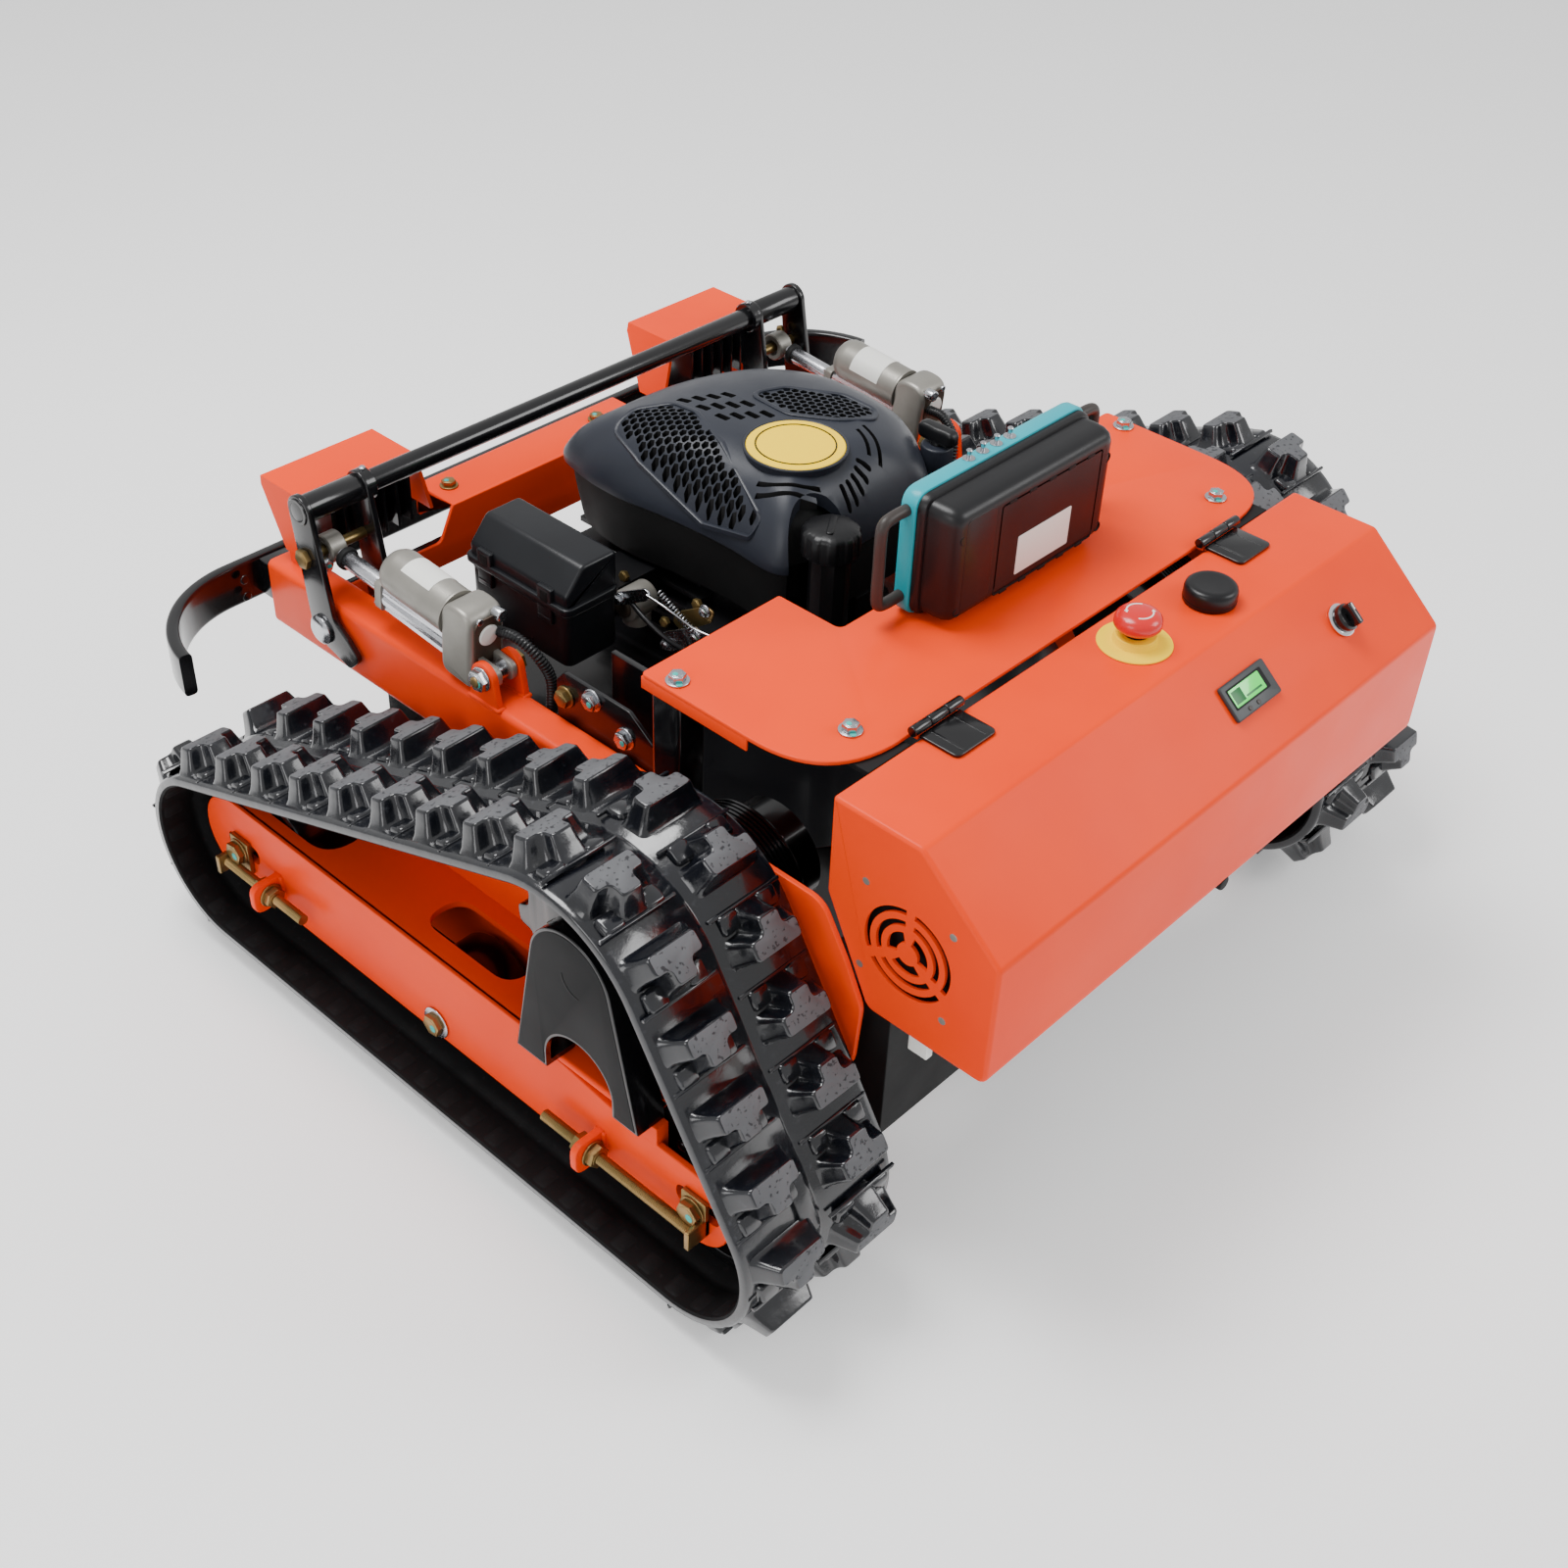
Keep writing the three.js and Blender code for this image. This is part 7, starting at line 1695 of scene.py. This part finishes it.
def stop_switch():
    """Yellow base ring with its collar, and the red mushroom head with two pale arcs."""
    base = Shape("stop_base_shell")
    plate = [(0, 10), (0, 29.6), (0.6, 30), (1.3, 29.7), (2.0, 28.4), (2.4, 18), (8.2, 17), (9, 16), (9, 10)]
    base.lathe((*STOP, LID_TOP), (0, 0, 1), plate, "yellow", 72, ring=True)
    base.done("lid", "yellow", "stop_base")
    knob = Shape("stop_head")
    z = 437.9
    head = [(0, 8), (0.1, 15.6), (0.8, 17.6), (2.6, 18.9), (6.8, 19), (9.6, 18.2), (12.0, 16.2), (13.8, 12.6),
            (14.8, 7.5), (15, 0.6)]
    knob.lathe((*STOP, z), (0, 0, 1), head, "red", 64)
    knob.rod((*STOP, z - 26), (*STOP, z + 1), 9, "plastic", 1, 32)
    for start in (0.5, 3.6):
        end = start + 1.9
        arc = circle(STOP, 10.4, 20, start, end)
        knob.tube(on_axis(arc, "z", z + 13.95), 0.75, "white", 8)
        tip = np.array([*arc[-1], z + 13.9])
        knob.rod(tip, tip + (0, 0, 0.8), 1.9, "white", 0.2, 3, end + 1.57)
    knob.done("stop_button", "red", "stop_button")


def aerial_cap():
    """Flat round aerial cap with a soft rim and a shallow dish on top."""
    shape = Shape("aerial_shell")
    cap = [(0, 20), (0.4, 21.6), (1.4, 22), (11, 21.8), (13.6, 21.0), (15.3, 19.2), (15.9, 17), (15.6, 14),
           (15.4, 0.6)]
    shape.lathe((*AERIAL, LID_TOP), (0, 0, 1), cap, "plastic", 72)
    line = [(0, 21.4), (0, 22.0), (0.9, 22.0), (0.9, 21.4)]
    shape.lathe((*AERIAL, LID_TOP + 3.5), (0, 0, 1), line, "deep", 72, ring=True)
    shape.done("lid", "plastic", "aerial_cap")


def meter_panel():
    """Meter with a grey bezel, a green window with darker bars and two small round keys."""
    shape = Shape("meter_shell")
    x, mid = METER
    bezel = rounded(rectangle(x - 30.5, x + 30.5, mid - 15.5, mid + 15.5), 2.5, 4)
    chamfer_slab(shape, bezel, 0.3, 3.8, "grey", 1.2)
    recess = rounded(rectangle(x - 22, x + 26, mid - 11, mid + 7), 1.2, 3)
    chamfer_slab(shape, recess, 3.6, 4.0, "deep", 0.1)
    window = rounded(rectangle(x - 17, x + 24, mid - 9.5, mid + 5.5), 0.8, 3)
    chamfer_slab(shape, window, 3.8, 4.25, "screen", 0.1)
    chamfer_slab(shape, rectangle(x + 10, x + 22.5, mid - 7.5, mid + 3.5), 4.1, 4.35, "dim_screen", 0.02)
    chamfer_slab(shape, rectangle(x - 13, x + 8, mid + 1.0, mid + 2.6), 4.1, 4.35, "dim_screen", 0.02)
    for key in ((x + 12, mid + 11.2), (x, mid + 11.2)):
        shape.rod(on_chamfer(*key, 3.5), on_chamfer(*key, 4.7), 2.0, "rail", 0.4, 16)
    body = rounded(rectangle(x - 27, x + 27, mid - 12.2, mid + 12.2), 2, 3)
    chamfer_slab(shape, body, -22, 1, "plastic", 1)
    shape.done("lid", "grey", "meter")


def dial():
    """Plated ring, and the black knob on its shaft with a finger ridge and white pointer."""
    ring = Shape("dial_ring_shell")
    plated = [(0, 6.5), (0, 14.2), (0.6, 14.5), (1.8, 14.3), (3, 12.4), (3, 6.5)]
    ring.lathe(on_chamfer(*DIAL, 0.3), FACE_AXIS, plated, "chrome", 56, ring=True)
    ring.done("lid", "chrome", "dial_ring")
    knob = Shape("dial_knob_shell")
    grip = [(0, 5), (0, 11.6), (1, 12), (5.6, 11.6), (7.2, 10), (7.4, 5)]
    knob.lathe(on_chamfer(*DIAL, 3.6), FACE_AXIS, grip, "black", 48, ring=True)
    knob.rod(on_chamfer(*DIAL, -20), on_chamfer(*DIAL, 9), 5, "steel", 1, 24)
    chamfer_slab(knob, rounded(rectangle(-196.8, -190.8, 36.0, 55.6), 2.4, 4), 6, 18.4, "black", 1.6)
    chamfer_slab(knob, rectangle(-194.3, -193.3, 37, 43), 18.2, 18.7, "white", 0.1)
    knob.done("dial_knob", "black", "dial_knob")


# Hand transmitter

REMOTE = {"x": -8.0, "half": 106.0, "z": 424.3, "height": 110.0}
STICK = (58, 55)


def remote_outline(inset, corner=15):
    """Outline of the transmitter seen from its front, drawn in by inset."""
    x0, x1 = REMOTE["x"] - REMOTE["half"] + inset, REMOTE["x"] + REMOTE["half"] - inset
    z0, z1 = REMOTE["z"] + inset, REMOTE["z"] + REMOTE["height"] - inset
    return rounded(rectangle(x0, x1, z0, z1), corner - inset * 0.6, 8)


def remote_back():
    """Black rear shell with a soft rim, a sunk battery door, four screws and a blank label."""
    shape = Shape("remote_back_shell")
    stages = [(176.3, 5), (188, 5), (195, 5.6), (200.5, 7.4), (203.6, 10.2), (204.8, 13.5), (205, 17)]
    rings = np.array([on_axis(remote_outline(inset), "y", y) for y, inset in stages])
    shape.loft(rings, "plastic")
    x, z = REMOTE["x"], REMOTE["z"]
    door = rounded(rectangle(x - 84, x + 46, z + 10, z + 92), 4, 5)
    frame_in = door - 1.6 * outward(door)
    ring = np.stack([door, door, frame_in, frame_in])
    depth = np.broadcast_to(np.array([204.2, 205.0, 205.0, 204.2])[:, None], ring.shape[:2])
    shape.loft(on_axis(ring, "y", depth), "deep", closed=True)
    for k in range(5):
        at = x - 72 + 25 * k
        for v in (8.6, 89.4):
            shape.slab(rectangle(at, at + 9, z + v, z + v + 3.2), "y", 204.3, 205.3, "deep", 0.2)
    shape.slab(rounded(rectangle(x - 49, x + 20, z + 19, z + 54), 1.5, 4), "y", 204.6, 205.35, "label", 0.15)
    shape.slab(rounded(rectangle(x + 52, x + 88, z + 14, z + 96), 6, 5), "y", 203.8, 205.25, "plastic", 0.7)
    screw = [(-2, 4.4), (-0.2, 4.4), (0, 3.6), (-1.4, 3), (-1.5, 0.4)]
    for u in (-92, 90):
        for v in (16, 80):
            shape.lathe((x + u, 205, z + v), (0, 1, 0), screw, "deep", 24)
    shape.done("transmitter", "plastic", "remote_back")


def remote_bezel():
    """Teal front shell with a dark rear rim, side rails, stick pots, toggles, a window and three keys."""
    shape = Shape("remote_bezel_shell")
    teal = [(152.0, 5.5), (152.3, 3.6), (153.6, 1.2), (156, 0.1), (166.5, 0.0), (168.2, 0.6), (168.8, 2.4)]
    dark = [(167.5, 2.6), (168.4, 1.9), (173, 1.9), (175.4, 2.8), (176.2, 4.6)]
    for stages, finish in ((teal, "teal"), (dark, "plastic")):
        rings = np.array([on_axis(remote_outline(inset), "y", y) for y, inset in stages])
        shape.loft(rings, finish)
    x, z = REMOTE["x"], REMOTE["z"]
    shape.slab(remote_outline(9, 14), "y", 151.6, 152.6, "plastic", 0.3)
    pot = [(0, 17), (3.4, 16.6), (4.8, 15), (5.2, 11), (4.6, 6), (4.0, 0.6)]
    for _, s in SIDES:
        x0, x1 = x + s * 104, x + s * 134
        rail = [(x0, z + 18), (x1 - s * 11, z + 18), (x1 - s * 2, z + 21), (x1, z + 31), (x1, z + 56),
                (x1, z + 81), (x1 - s * 2, z + 91), (x1 - s * 11, z + 94), (x0, z + 94)]
        shape.tube(on_axis(flowing(rail, 7), "y", 160.0), 4.9, "rail", 20)
        shape.lathe((x + s * STICK[0], 152.5, z + STICK[1]), (0, -1, 0), pot, "plastic", 48)
    nut = [(0, 5.4), (1.6, 5.2), (2.1, 3.4), (2.1, 0.5)]
    toggle = [(0, 1.7), (4, 2.0), (7.1, 2.5), (8, 1.9), (8.05, 0.4)]
    for k in range(4):
        at = x + 34 - 17 * k
        shape.lathe((at, 160, z + 109), (0, 0, 1), nut, "steel", 24)
        shape.lathe((at, 160, z + 110), (0, 0, 1), toggle, "steel", 20)
    shape.slab(rounded(rectangle(x - 22, x + 22, z + 42, z + 70), 3, 4), "y", 151.2, 151.9, "screen", 0.2)
    for at, finish in ((x - 14, "grey"), (x, "red"), (x + 14, "grey")):
        shape.rod((at, 152, z + 28), (at, 149.8, z + 28), 3.6, finish, 0.8, 20)
    shape.done("transmitter", "teal", "remote_bezel")


def joystick(word, side):
    """Stick: its foot, waist and dished cap, turned from one profile."""
    shape = Shape("stick_shell_" + word)
    x, z = REMOTE["x"] + side * STICK[0], REMOTE["z"] + STICK[1]
    stick = [(0, 1.3), (3, 4.4), (4.6, 4.2), (13, 3.4), (14.2, 5), (15.4, 8.6), (17, 9), (20, 8.6),
             (21, 7.4), (20.2, 4), (20, 0.4)]
    shape.lathe((x, 146.7, z), (0, -1, 0), stick, "plastic", 36)
    shape.done("joystick_" + word, "plastic", "joystick_" + word)


# Whole scene


def dress_plain_nodes():
    """Gives each CAD node that still shows the finish of its record slot."""
    slots = {row["node"]: row["material_slot"] for row in frame["record"]["subparts"]}
    for name, node in frame["nodes"].items():
        node.data.materials.clear()
        node.data.materials.append(FINISH[slots[name]])


def lay_floor():
    """Pale floor: one wide flat square under the machine, in metres."""
    corners = [(x, y, 0) for x, y in rectangle(-9, 9, -9, 9)]
    mesh = bpy.data.meshes.new("floor")
    mesh.from_pydata(corners, [], [(0, 1, 2, 3)])
    f = Finish("pale_floor", 0.85)
    f.worn(f.noise(3, 3), (0.93, 0.93, 0.93, 1), (0.9, 0.9, 0.9, 1))
    f.set(Emission_Color=(1, 1, 1, 1), Emission_Strength=0.3)
    mesh.materials.append(f.material)
    floor = bpy.data.objects.new("floor", mesh)
    bpy.context.scene.collection.objects.link(floor)


def dress_machine():
    """Every piece of the machine, side by side where it comes twice."""
    dress_plain_nodes()
    for word, side in SIDES:
        track_belt(word, side)
        track_wheels(word, side)
        drive_sprocket(word, side)
        drive_motor(word, side)
        track_frame(word, side)
        for key in TENSIONERS:
            tensioner(word, side, key)
        roller_bolt(word, side)
        drive_guard(word, side)
        side_beam(word, side)
        actuator_body(word, side)
        actuator_rod(word, side)
        cable_sleeve(word, side)
        work_lamp(word, side)
        lamp_hood(word)
        lid_hinge(word, side)
        joystick(word, side)
    for make in (lift_bar, front_bumper, front_panel, top_plate, mower_deck, mower_blade, engine_block,
                 engine_cowl, air_filter, oil_cap, starter_handle, rear_housing, rear_tray, battery,
                 stop_switch, aerial_cap, meter_panel, dial, remote_back, remote_bezel):
        make()


place_camera()
light_room()
lay_floor()
dress_machine()
